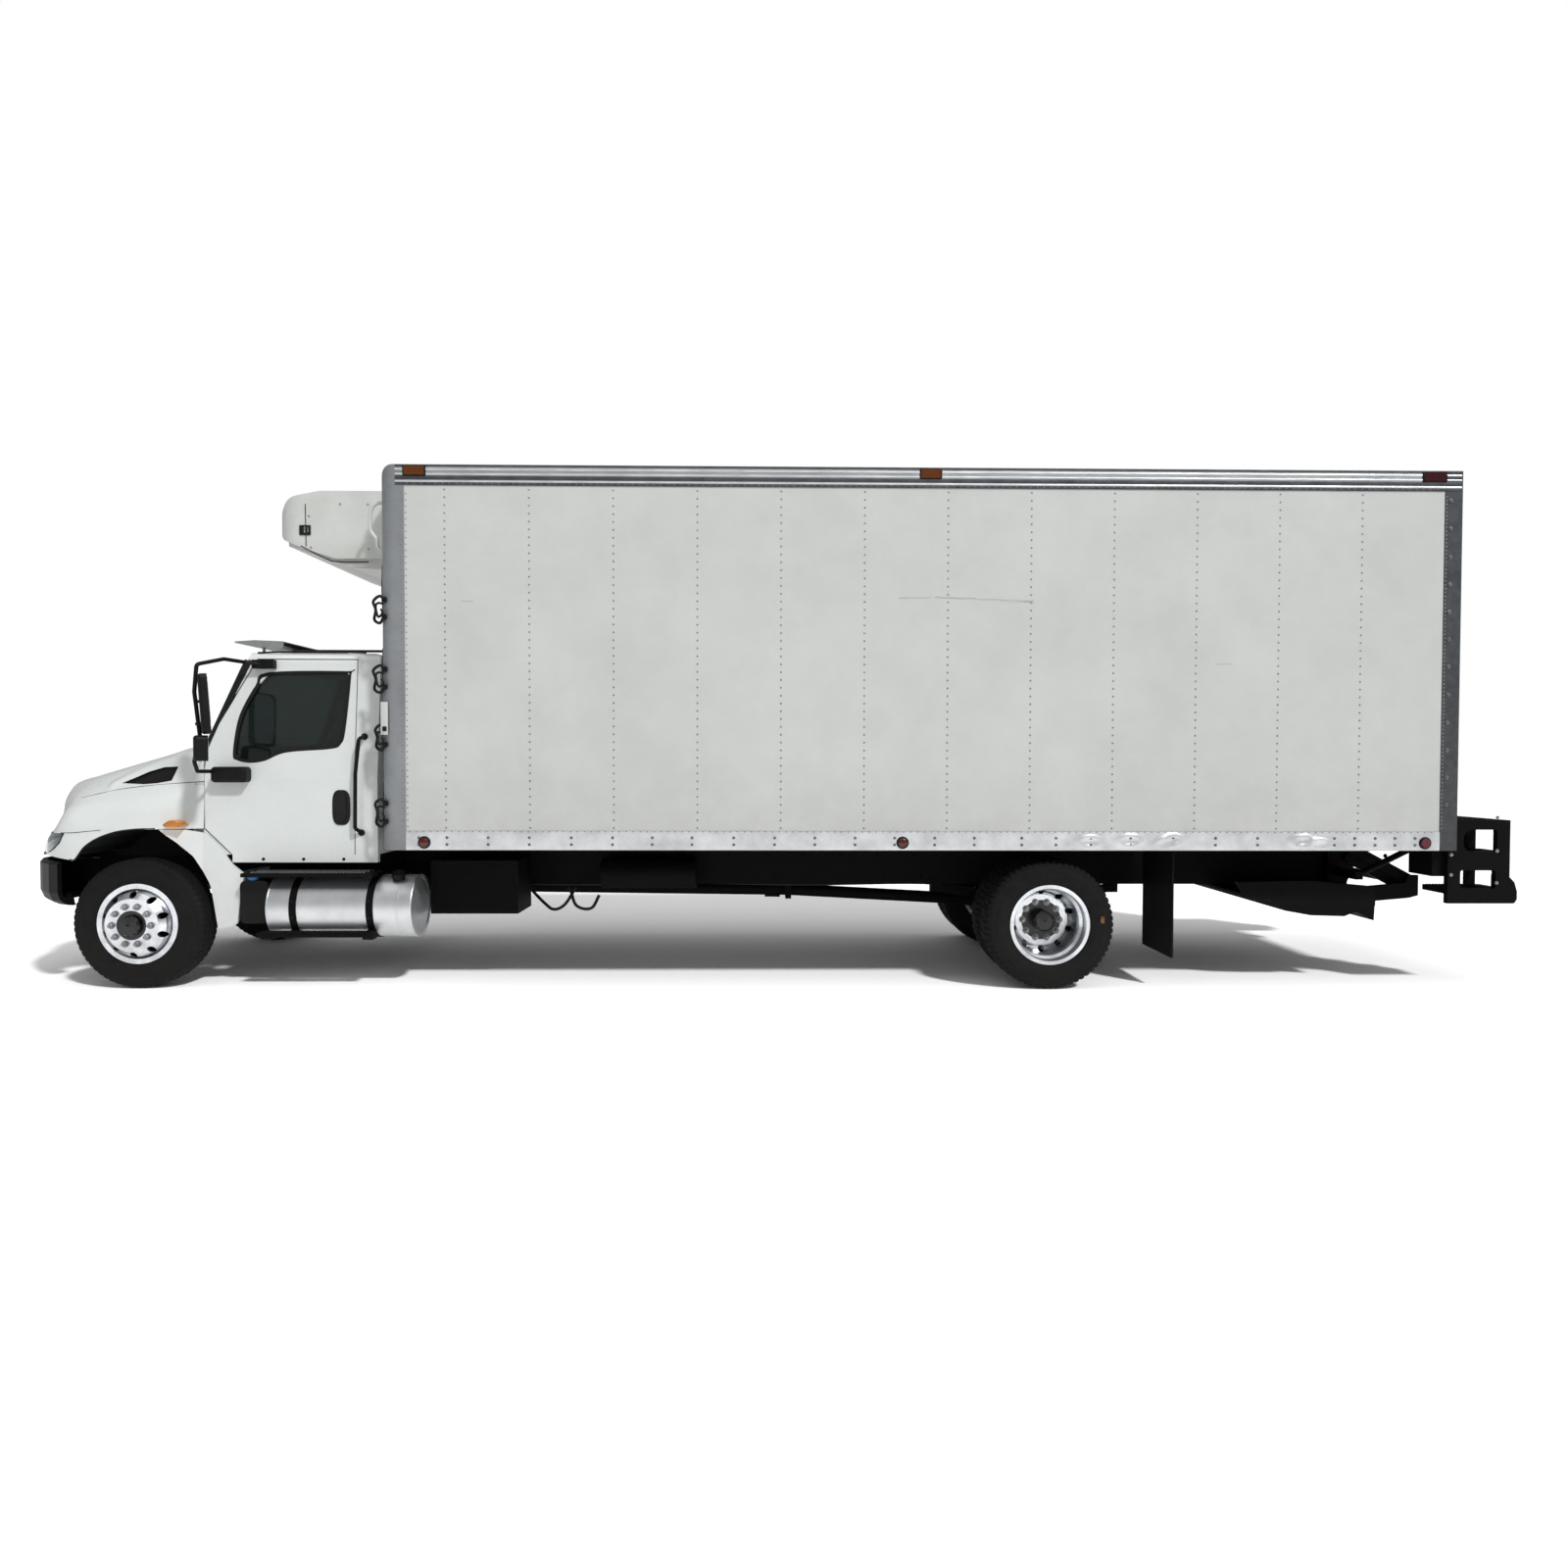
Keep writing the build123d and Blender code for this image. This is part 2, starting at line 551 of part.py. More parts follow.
def build_cab():
    """Cab shell with its openings, both doors, and all glass."""
    outer = cab_volume(0)
    hollow = cab_volume(CAB_WALL)
    shell = outer - hollow
    doorway = along_y(door_outline(RUN_GAP), -BOX_HALF, BOX_HALF)
    screen = along_x(symmetric([(938, 1835), (930, 1900), (838, 2430)]), SCREEN_SIDE_X - 600,
                     SCREEN_SIDE_X + 400, radius=40)
    rear_light = along_x(symmetric([(560, 1780), (560, 2330)]), CAB_REAR_X - 10,
                         CAB_REAR_X + CAB_WALL + 10, radius=60)
    sills = both_sides(block(CAB_REAR_X, DOOR_FRONT_X - 202, CAB_HALF - 46, CAB_HALF,
                             CAB_FLOOR - SILL_DEPTH, CAB_FLOOR))
    side_band = block(CAB_REAR_X - 1, DOOR_FRONT_X + RUN_GAP, -CAB_HALF, CAB_HALF, CAB_FLOOR - 1, CAB_TOP)
    side_cut = doorway & (outer - block(CAB_REAR_X - 10, FIREWALL_X + 10, -(CAB_HALF - 190),
                                        CAB_HALF - 190, CAB_FLOOR - 20, CAB_TOP + 10))
    floor_keep = block(CAB_REAR_X, DOOR_FRONT_X + RUN_GAP, -(CAB_HALF - CAB_WALL - 12),
                       CAB_HALF - CAB_WALL - 12, CAB_FLOOR, CAB_FLOOR + CAB_WALL)
    body = shell - (side_cut & side_band) - screen - rear_light
    mounts = both_sides(block(CAB_REAR_X + 100, FIREWALL_X - 100, RAIL_HALF - RAIL_FLANGE, RAIL_HALF,
                              RAIL_TOP, CAB_FLOOR))
    body = fuse(body, floor_keep, *sills, *mounts)
    save("cab_shell", body)

    pane = cab_volume(GLASS_INSET) - cab_volume(GLASS_INSET + GLASS_THICKNESS)
    save("cab_glass", pane & screen, pane & rear_light)

    door_blank = shell & along_y(door_outline(0), 0, BOX_HALF)
    door_blank = door_blank & block(CAB_REAR_X, FIREWALL_X, CAB_HALF - 190, CAB_HALF + 10,
                                    CAB_FLOOR - 10, CAB_TOP)
    low_inner = block(DOOR_REAR_X, DOOR_FRONT_X, CAB_HALF - 190, CAB_HALF - CAB_WALL,
                      CAB_FLOOR - 10, CAB_FLOOR + CAB_WALL + 1)
    window = along_y(window_outline(), CAB_HALF - 300, BOX_HALF, radius=WINDOW_RADII)
    door = door_blank - low_inner - window
    glass = (pane & along_y(window_outline(), CAB_HALF - 300, CAB_HALF + 10, radius=WINDOW_RADII))
    for name, panel, light in zip(("left", "right"), both_sides(door), both_sides(glass)):
        save(f"door_{name}", panel)
        save(f"door_glass_{name}", light)


def build_cab_inside():
    """Dashboard, steering wheel and seats, which show through the glass."""
    front = FIREWALL_X - CAB_WALL
    inner_half = CHEEK_HALF - CAB_WALL - 110
    dash = along_y([(front, 1250), (front, 1690), (front - 130, 1700), (front - 330, 1640),
                    (front - 370, 1540), (front - 345, 1400), (front - 300, 1250)],
                   -inner_half, inner_half)
    hub = Vector(front - 520, 520, 1640)
    lean = Plane(origin=hub, z_dir=Vector(-0.62, 0, 0.78))
    ring = Solid.make_torus(225, 17, lean)
    spokes = []
    for turn in (0.35, 2.8, 4.71):
        towards = lean.from_local_coords((cos(turn), sin(turn), 0)) - hub
        spokes.append(Solid.make_cylinder(13, 215, Plane(origin=hub, z_dir=towards)))
    boss = Solid.make_cylinder(52, 60, Plane(origin=hub, z_dir=-lean.z_dir))
    column = rod(tuple(hub), tuple(hub + lean.z_dir * -330), 30)
    wheel = fuse(ring, *spokes, boss, column, dash)
    seats = []
    for y in (520.0, -520.0):
        base = CAB_REAR_X + CAB_WALL + 130
        z = CAB_FLOOR + CAB_WALL
        pedestal = block(base + 80, base + 430, y - 180, y + 180, z, z + 260)
        cushion = block(base, base + 520, y - 250, y + 250, z + 260, z + 400)
        back = along_y([(base, z + 400), (base + 150, z + 400), (base + 60, z + 960),
                        (base - 60, z + 960)], y - 240, y + 240)
        rest = block(base - 50, base + 40, y - 130, y + 130, z + 960, z + 1140)
        seats.append(fuse(pedestal, cushion, back, rest))
    save("cab_interior", wheel)
    save("seats", *seats)


# ================================================================ hood
# station ahead of the axle, crown z, edge y, edge z, crease y, crease z, shoulder y, shoulder z, lip y, lip z
HOOD_SECTIONS = (
    (905, 1505, 450, 1488, 545, 1345, 590, 1212, 800, 1050),
    (865, 1537, 495, 1516, 620, 1385, 650, 1216, 850, 1062),
    (800, 1562, 515, 1545, 708, 1395, 760, 1228, 940, 1085),
    (700, 1590, 550, 1567, 810, 1420, 905, 1248, 1060, 1120),
    (560, 1628, 595, 1603, 890, 1450, 1080, 1310, 1150, 1180),
    (330, 1690, 660, 1662, 950, 1480, 1125, 1350, 1180, LIP_Z),
    (0, 1778, 740, 1748, 985, 1510, 1135, 1370, 1180, LIP_Z),
    (-200, 1828, 820, 1796, 1000, 1525, 1115, 1380, 1150, LIP_Z),
    (-445, 1838, 900, 1806, 1012, 1540, 1032, 1395, 1050, LIP_Z),
)


def hood_volume(inset):
    """Hood and fenders as a loft through their cross-sections, moved inward by inset."""
    faces = []
    for station, crown, y_e, z_e, y_c, z_c, y_s, z_s, y_l, z_l in HOOD_SECTIONS:
        x = FRONT_AXLE_X + station
        x = x - inset if station == HOOD_SECTIONS[0][0] else x
        x = x - 1 if inset and station == HOOD_SECTIONS[-1][0] else x
        left = [
            (y_l - inset, HOOD_LOW - 60 - inset), (y_l - inset, z_l),
            (y_s - inset, z_s - inset / 2), (y_c - inset, z_c - inset / 2),
            (y_e - inset, z_e - inset), (0, crown - inset),
        ]
        points = left + [(-y, z) for y, z in reversed(left[:-1])]
        faces.append(Face(Wire.make_polygon([Vector(x, y, z) for y, z in points])))
    return loft(faces, ruled=True)


def arch_cut():
    """Everything below the hood's lower edge: front lip, wheel arch and rear lip."""
    a = FRONT_AXLE_X
    points = [
        (a + 1100, 0), (a + 1100, HOOD_LOW), (a + 800, HOOD_LOW + 4), (a + 655, HOOD_LOW + 12),
        (a + 480, 966), (a + 434, 961), (a + 362, 1052), (a + 250, 1124), (a + 105, 1178),
        (a - 60, LIP_Z + 2), (a - 700, LIP_Z), (a - 700, 0),
    ]
    return along_y(points, -BOX_HALF, BOX_HALF,
                   radius=[0, 0, 0, 60, 20, 10, 90, 150, 200, 100, 0, 0])


def build_hood():
    """Hood with fenders, grille, lamps, vents and wheel-well liners, which tilt as one."""
    a = FRONT_AXLE_X
    solid = hood_volume(0)
    hollow = hood_volume(HOOD_WALL)
    keep_out = fuse(arch_cut(), cab_volume(-RUN_GAP))
    shell = solid - hollow - keep_out
    nose_x = FRONT_AXLE_X + HOOD_SECTIONS[0][0]
    mouth = symmetric([(505, 1045), (498, 1200), (478, 1330), (410, 1436)])
    opening = along_x(mouth, nose_x - 90, nose_x + 10, radius=25)
    arms = both_sides(fuse(
        block(HOOD_PIVOT_X - 12, HOOD_PIVOT_X + 12, HOOD_PIVOT_HALF - 12, HOOD_PIVOT_HALF + 12,
              HOOD_PIVOT_Z, HOOD_LOW + 64),
        rod((HOOD_PIVOT_X, HOOD_PIVOT_HALF - 12, HOOD_PIVOT_Z),
            (HOOD_PIVOT_X, HOOD_PIVOT_HALF + 12, HOOD_PIVOT_Z), 24),
    ))
    bores = both_sides(rod((HOOD_PIVOT_X, HOOD_PIVOT_HALF - 20, HOOD_PIVOT_Z),
                           (HOOD_PIVOT_X, HOOD_PIVOT_HALF + 20, HOOD_PIVOT_Z), 10))
    skin = shell
    lamps = both_sides(along_y(
        [(a + 930, 988), (a + 930, 1148), (a + 526, 1160), (a + 534, 1130), (a + 563, 1081), (a + 645, 1028),
         (a + 760, 994)], 640, BOX_HALF))
    vents = both_sides(along_y(
        [(a + 236, 1524), (a + 60, 1612), (a - 60, 1648), (a - 190, 1652), (a - 176, 1545), (a + 40, 1520)],
        700, BOX_HALF, radius=[12, 120, 60, 12, 12, 60]))
    hood = skin - opening - lamps[0] - lamps[1] - vents[0] - vents[1]
    save("hood_shell", fuse(hood, *arms) - bores[0] - bores[1])
    save("headlamps", *((skin & lamp) for lamp in lamps))
    recess = hood_volume(8) - hollow - keep_out
    liner = (Pos(0, 0, 12) * arch_cut()) - arch_cut()
    wells = both_sides(block(a - 434, a + 470, 560, BOX_HALF, 1000, BOX_TOP))
    liners = [(liner & well & hollow) - keep_out for well in wells]
    save("hood_vents", *((recess & vent) for vent in vents))
    save("wheel_well_liners", *liners)
    dome = along_y([(a - 205, LIP_Z + 18), (a - 290, LIP_Z + 76), (a - 380, LIP_Z + 18)],
                   1000, 1196, radius=[10, 55, 10])
    save("fender_lamps", *both_sides(dome - solid))

    frame = opening - along_x(symmetric([(475, 1065), (470, 1198), (452, 1318), (392, 1410)]),
                              nose_x - 100, nose_x + 20, radius=18)
    frame = frame & block(nose_x - HOOD_WALL - 6, nose_x, -BOX_HALF, BOX_HALF, 0, BOX_TOP)
    bars = [block(nose_x - HOOD_WALL, nose_x - 8, -640, 640, z, z + 20) for z in range(1090, 1420, 52)]
    posts = [block(nose_x - HOOD_WALL, nose_x - 12, y - 7, y + 7, 1040, 1425) for y in (-240, 0, 240)]
    inner = along_x(symmetric([(478, 1062), (473, 1198), (455, 1320), (394, 1413)]),
                    nose_x - 100, nose_x + 20, radius=18)
    save("grille", fuse(frame, *((piece & inner) for piece in bars + posts)))


def build_lamps():
    """Marker lamps on the box and turn lamps on the fenders."""
    # distance behind the box front, length along X
    amber = ((193, 147), (3937, 143))
    red = ((7633, 161),)
    # distance behind the box front
    round_amber = (323, 3814)
    round_red = (7687,)

    def top_lamp(behind, length):
        """Flat lamp on the top rail."""
        x = BOX_FRONT_X - behind
        return block(x - length, x, BOX_HALF, BOX_HALF + 12, BOX_TOP - 78, BOX_TOP - 14)

    def round_lamp(behind):
        """Round lamp on the bottom rail."""
        x = BOX_FRONT_X - behind
        return rod((x, BOX_HALF, 1105), (x, BOX_HALF + 14, 1105), 34)

    ambers = [top_lamp(*row) for row in amber] + [round_lamp(b) for b in round_amber]
    reds = [top_lamp(*row) for row in red] + [round_lamp(b) for b in round_red]
    save("marker_lamps_amber", *(piece for lamp in ambers for piece in both_sides(lamp)))
    save("marker_lamps_red", *(piece for lamp in reds for piece in both_sides(lamp)))


# ================================================================ box
def build_box():
    """Insulated box: floor, walls, roof, portal and sectional roll-up door."""
    rear, front = BOX_REAR_X, BOX_FRONT_X
    inner = BOX_HALF - BOX_WALL
    sheet = BOX_HALF - BOX_RAIL_PROUD
    rail_top = BOX_BOTTOM + BOTTOM_RAIL_HEIGHT
    rail_low = BOX_TOP - TOP_RAIL_HEIGHT
    wall_front = front - CORNER_DEPTH
    wall_rear = rear + PORTAL_DEPTH

    deck = block(wall_rear, wall_front, -inner, inner, BOX_FLOOR_TOP - FLOOR_DECK, BOX_FLOOR_TOP)
    rails = both_sides(block(wall_rear, wall_front, inner, BOX_HALF, BOX_BOTTOM, rail_top)
                       - block(wall_rear - 1, wall_front + 1, inner - 1, BOX_HALF - 12,
                               BOX_BOTTOM - 1, rail_top - 60))
    ledges = both_sides(block(wall_rear, wall_front, inner - 20, inner, rail_top - 60,
                                 BOX_FLOOR_TOP - FLOOR_DECK + 1))
    beams = []
    count = int((wall_front - wall_rear - 200) / FLOOR_BEAM_PITCH)
    for index in range(count + 1):
        x = wall_rear + 100 + index * FLOOR_BEAM_PITCH
        beams.append(block(x, x + 60, -(BOX_HALF - 12), BOX_HALF - 12, BOX_BOTTOM, rail_top - 60))
    plate = block(wall_rear, wall_front, -inner, inner, rail_top - 60, BOX_FLOOR_TOP - FLOOR_DECK)
    sills = both_sides(block(rear + 140, front - 60, RAIL_HALF - RAIL_FLANGE, RAIL_HALF,
                             RAIL_TOP, BOX_BOTTOM))
    save("box_floor", fuse(deck, plate, *rails, *ledges, *beams, *sills))

    wall = block(wall_rear, wall_front, inner, sheet, rail_top, BOX_TOP - BOX_WALL)
    save("box_sides", *both_sides(wall))

    slab = block(wall_rear, wall_front, -BOX_HALF, BOX_HALF, BOX_TOP - BOX_WALL, BOX_TOP)
    flanges = both_sides(block(wall_rear, wall_front, sheet, BOX_HALF, rail_low, BOX_TOP - BOX_WALL + 1))
    save("box_roof", fuse(slab, *flanges))

    nose = block(wall_front, front, -BOX_HALF, BOX_HALF, BOX_BOTTOM, BOX_TOP)
    edges = nose.edges().filter_by(Axis.Z).group_by(Axis.X)[-1]
    edges = edges + nose.edges().filter_by(Axis.Y).group_by(Axis.X)[-1].group_by(Axis.Z)[-1]
    nose = fillet(edges, CORNER_RADIUS)
    room = block(wall_front - 1, front - BOX_WALL, -inner, inner, BOX_FLOOR_TOP, BOX_TOP - BOX_WALL)
    save("box_front_wall", nose - room)

    opening_half = BOX_HALF - PORTAL_POST
    portal = block(rear, wall_rear, -BOX_HALF, BOX_HALF, BOX_BOTTOM, BOX_TOP) - block(
        rear - 1, wall_rear + 1, -opening_half, opening_half, CARGO_SILL_TOP, rail_low)
    face_x = rear + ROLL_DOOR_RECESS
    inside_x = face_x + ROLL_DOOR_THICKNESS
    track_x = inside_x + ROLL_DOOR_GAP
    tracks = both_sides(block(track_x, track_x + 6, opening_half - TRACK_DEPTH, opening_half,
                              CARGO_SILL_TOP, rail_low))
    save("rear_portal", fuse(portal, *tracks))

    leaf_half = opening_half - ROLL_DOOR_GAP
    top = rail_low - ROLL_DOOR_GAP
    door = block(face_x, inside_x, -leaf_half, leaf_half, CARGO_SILL_TOP, top)
    panel_height = (top - CARGO_SILL_TOP) / ROLL_DOOR_PANELS
    for index in range(1, ROLL_DOOR_PANELS):
        z = CARGO_SILL_TOP + index * panel_height
        groove = along_y([(face_x - 1, z - PANEL_GROOVE - 1), (face_x + PANEL_GROOVE, z),
                          (face_x - 1, z + PANEL_GROOVE + 1)], -BOX_HALF, BOX_HALF)
        door = door - groove
    latch_plate = block(face_x - 6, face_x, -150, 150, CARGO_SILL_TOP + 90, CARGO_SILL_TOP + 190)
    lever = block(face_x - 18, face_x - 6, -110, 60, CARGO_SILL_TOP + 128, CARGO_SILL_TOP + 156)
    pull = [block(face_x - 16, face_x, y - 60, y + 60, CARGO_SILL_TOP + 40, CARGO_SILL_TOP + 54)
            for y in (-500, 500)]
    save("roll_door", fuse(door, latch_plate, lever, *pull))


# ================================================================ refrigeration unit
REEFER_HALF = BOX_HALF - 365.5
REEFER_TOP = BOX_TOP - 101.0
REEFER_NOSE = 930.0
REEFER_LOW = REEFER_TOP - 510.0
COIL_DEPTH = 420.0          # evaporator, behind the front wall
COIL_HALF = REEFER_HALF - 290.0


def build_reefer():
    """Nose-mounted refrigeration unit and its evaporator inside the box."""
    x = BOX_FRONT_X
    n = REEFER_NOSE
    cover = [
        (x, REEFER_LOW), (x, REEFER_TOP), (x + n - 360, REEFER_TOP), (x + n - 110, REEFER_TOP - 50),
        (x + n, REEFER_TOP - 180), (x + n, REEFER_TOP - 290), (x + n - 60, REEFER_LOW + 150),
        (x + n - 250, REEFER_LOW + 70), (x + n - 470, REEFER_LOW),
    ]
    radii = [0, 0, 300, 160, 110, 60, 60, 80, 60]
    bow = n + 2
    plan = [(x, -REEFER_HALF), (x + bow, -REEFER_HALF), (x + bow, REEFER_HALF), (x, REEFER_HALF)]
    low, high = REEFER_LOW - 230, REEFER_TOP + 60
    shape = along_z(plan, low, high, radius=[0, 220, 220, 0])
    shell = along_y(cover, -REEFER_HALF, REEFER_HALF, radius=radii) & shape
    mouth_half = REEFER_HALF - 370
    mouth_low, mouth_top = REEFER_TOP - 310, REEFER_TOP - 100
    grille_cut = block(x + n - 60, x + n + 10, -mouth_half, mouth_half, mouth_low, mouth_top)
    slats = [block(x + n - 59, x + n - 32, 1 - mouth_half, mouth_half - 1, z, z + 10)
             for z in (mouth_low + rise for rise in range(12, 206, 24))]
    frame = block(x + n - 59.5, x + n - 45, 0.5 - mouth_half, mouth_half - 0.5, mouth_low + 1, mouth_top - 1)
    save("reefer_grille", fuse(frame, *slats))
    pan = [
        (x, REEFER_LOW - 80), (x, REEFER_LOW + 20), (x + n - 470, REEFER_LOW + 20),
        (x + n - 250, REEFER_LOW + 90), (x + n - 70, REEFER_LOW + 170),
        (x + n - 80, REEFER_LOW + 110), (x + 330, REEFER_LOW - 65),
    ]
    pan_half = REEFER_HALF - 30
    plan_in = [(x, -pan_half), (x + n - 40, -pan_half), (x + n - 40, pan_half), (x, pan_half)]
    under = along_y(pan, -pan_half, pan_half) & along_z(plan_in, low, high, radius=[0, 190, 190, 0])
    save("reefer_shell", fuse(shell, under) - grille_cut)
    wall_x = x - BOX_WALL
    evaporator = along_y([(wall_x, REEFER_LOW + 70), (wall_x - COIL_DEPTH, REEFER_LOW + 190),
                          (wall_x - COIL_DEPTH, REEFER_TOP - 40), (wall_x, REEFER_TOP - 40)],
                         -COIL_HALF, COIL_HALF)
    save("evaporator", evaporator)


# ================================================================ cab fittings
GRAB_STANDOFF = 62.0
MIRROR_HALF = CAB_HALF + 360.0
MIRROR_ANGLE = 29.4         # mirror heads turned back from square across the truck
MIRROR_WIDTH = 205.0


def build_cab_fittings():
    """Skirts, mirrors, grab handles and roof gear."""
    a = FRONT_AXLE_X
    skirt = along_y(
        [(a - 170, 1186), (a - 340, LIP_Z - 10), (a - 440, 1160), (a - 495, 1128), (a - 552, 1078),
         (a - 659, 924), (a - 751, 849), (a - 697, 470), (a - 556, 432), (a - 503, 766),
         (a - 388, 983), (a - 282, 1091)],
        CAB_HALF, BOX_HALF, radius=[0, 0, 20, 20, 30, 30, 40, 30, 20, 250, 120, 60])
    rear_in, rear_out = CAB_HALF + 2, CAB_HALF + 26
    front_in, front_out = CAB_HALF + 84, CAB_HALF + 110
    sweep = along_z(
        [(a - 100, front_out), (a - 215, front_out - 2), (a - 450, rear_out), (a - 760, rear_out),
         (a - 760, rear_in), (a - 452, rear_in), (a - 222, front_in - 4), (a - 100, front_in)],
        300, 1300)
    stay = block(a - 640, a - 600, RAIL_HALF, rear_out - 6, 760, 840)
    save("fender_skirts", *both_sides(fuse(skirt & sweep, stay)))

    back = CAB_REAR_X
    reach = CAB_HALF + GRAB_STANDOFF
    grab = tube_path([(back + 100, CAB_HALF, 1878), (back + 112, reach, 1862), (back + 140, reach, 1600),
                      (back + 145, reach, 1192), (back + 118, CAB_HALF, 1160)], 14, 30)
    grab = max((grab - cab_volume(0)).solids(), key=lambda solid: solid.volume)
    save("grab_handles", *both_sides(grab))

    plate = along_y([(a - 804, 2640), (a - 780, 2654), (a - 560, 2662), (a - 405, 2652),
                     (a - 400, 2640), (a - 600, 2612), (a - 780, 2600)], -480, 480)
    legs = both_sides(block(a - 590, a - 570, 360, 372, CAB_TOP - 2, 2625))
    base = block(a - 1150, a - 790, -330, 330, CAB_TOP, 2598)
    bars = both_sides(block(BOX_FRONT_X, a - 795, 300, 330, 2584, 2602))
    save("roof_deflector", fuse(plate, *legs, base, *bars))

    for side, name in ((1, "left"), (-1, "right")):
        save(f"mirror_{name}", mirror_assembly(side))


def mirror_head(x, z_low, z_top, depth, lean):
    """Mirror head on the outer tube: slim, rounded, turned towards the driver and leaning."""
    head = Box(depth, MIRROR_WIDTH, z_top - z_low)
    head = fillet(head.edges().filter_by(Axis.X), 34)
    head = fillet(head.faces().sort_by(Axis.X)[-1].edges(), min(22, depth / 3))
    return Pos(x, MIRROR_HALF, (z_low + z_top) / 2) * Rot(0, lean, 0) * Rot(0, 0, MIRROR_ANGLE) * head


def mirror_assembly(side):
    """Door mirror: tube frame, main head, convex head and the pod on the door."""
    a = FRONT_AXLE_X
    half = CAB_HALF
    out = MIRROR_HALF
    tube = tube_path([(a - 900, half - 60, 2415), (a - 770, half + 20, 2432), (a - 700, half + 180, 2440),
                      (a - 600, out, 2385), (a - 582, out, 2190), (a - 618, out, 1880),
                      (a - 576, out, 1690), (a - 548, out - 90, 1620), (a - 562, half + 80, 1618),
                      (a - 600, half + 20, 1610)], 14, 30)
    head = mirror_head(a - 650, 1890, 2314, 58, 4)
    convex = mirror_head(a - 622, 1694, 1878, 92, 0)
    stays = [rod((a - 590, out, z), (a - 650, out, z), 11) for z in (1960, 2120, 2270)]
    pod = block(a - 800, a - 540, half - 2, half + 95, 1535, 1652)
    pod = fillet(pod.edges().filter_by(Axis.Y), 30)
    pod = fillet(pod.faces().sort_by(Axis.Y)[-1].edges(), 25)
    bracket = block(a - 962, a - 800, half - 75, half - 20, 2390, 2455)
    whole = fuse(tube, head, convex, *stays, pod, bracket) - cab_volume(0)
    whole = max(whole.solids(), key=lambda solid: solid.volume)
    return whole if side > 0 else mirror(whole, about=Plane.XZ)


# ================================================================ under-frame fittings
def build_tank_and_steps():
    """Fuel tank, steps, battery box, exhaust box and air tanks."""
    tank = rod((TANK_REAR_X, TANK_HALF, TANK_Z), (TANK_FRONT_X, TANK_HALF, TANK_Z), TANK_RADIUS)
    save("fuel_tank", tank)

    step_front = BOX_FRONT_X + 1059
    step_rear = BOX_FRONT_X + 92
    strap_radius = TANK_RADIUS + STRAP_THICKNESS
    strap_top = TANK_Z + strap_radius
    upper = block(step_rear, step_front, STEP_HALF - 250, STEP_HALF, strap_top, strap_top + 28)
    lower = block(step_rear, step_front - 110, STEP_HALF - 85, STEP_HALF, 392, 428)
    straps = []
    for x in (TANK_FRONT_X - 190, TANK_REAR_X + 300):
        x0, x1 = x - STRAP_WIDTH / 2, x + STRAP_WIDTH / 2
        ring = rod((x0, TANK_HALF, TANK_Z), (x1, TANK_HALF, TANK_Z), strap_radius)
        hanger = block(x0, x1, RAIL_HALF, TANK_HALF - TANK_RADIUS + 60, 700, 880)
        riser = block(x0, x1, TANK_HALF - 60, TANK_HALF + 60, strap_top - 12, strap_top + 1)
        foot = block(x0, x1, TANK_HALF + 60, STEP_HALF - 60, 392, 440)
        straps.append(fuse(ring, hanger, riser, foot))
    left = fuse(upper, lower, *straps) - tank
    drop = block(step_rear + 60, step_rear + 100, RAIL_HALF + 20, STEP_HALF - 60, 392, 428)
    right = fuse(
        block(step_rear, step_front, STEP_HALF - 205, STEP_HALF, strap_top, strap_top + 28), lower, drop,
        *(block(x, x + 40, STEP_HALF - 60, STEP_HALF - 20, 392, strap_top) for x in
          (step_rear + 60, step_front - 200)),
        *(block(x, x + 40, RAIL_HALF, STEP_HALF - 20, strap_top - 12, strap_top) for x in
          (step_rear + 60, step_front - 200)),
    )
    save("side_steps", left, mirror(right, about=Plane.XZ))

    fluid = block(BOX_FRONT_X + 900, BOX_FRONT_X + 1110, 640, 1105, 482, 802)
    fluid = fillet(fluid.edges().filter_by(Axis.Y), 40)
    bracket = block(BOX_FRONT_X + 960, BOX_FRONT_X + 1050, RAIL_HALF, 641, 720, 780)
    save("fluid_tank", fuse(fluid, bracket))
    exhaust = block(BOX_FRONT_X + 200, BOX_FRONT_X + 1000, -(STEP_HALF - 215), -(RAIL_HALF + 20), 440, 820)
    hangers = [block(BOX_FRONT_X + s, BOX_FRONT_X + s + 60, -(RAIL_HALF + 21), -RAIL_HALF, 720, 840)
               for s in (250, 700)]
    exhaust = fuse(fillet(exhaust.edges().filter_by(Axis.X), 60), *hangers)
    battery = block(BOX_FRONT_X - 900, BOX_FRONT_X - 230, RAIL_HALF, 870, 520, 930)
    tanks = [rod((BOX_FRONT_X - 1500, y, 800), (BOX_FRONT_X - 2250, y, 800), 120)
             for y in (RAIL_HALF + 125, -(RAIL_HALF + 125))]
    save("frame_boxes", exhaust, battery, *tanks)
    flap = block(REAR_AXLE_X - 945, REAR_AXLE_X - 933, 550, 1160, 225, BOX_BOTTOM)
    save("mudflaps", *both_sides(flap))


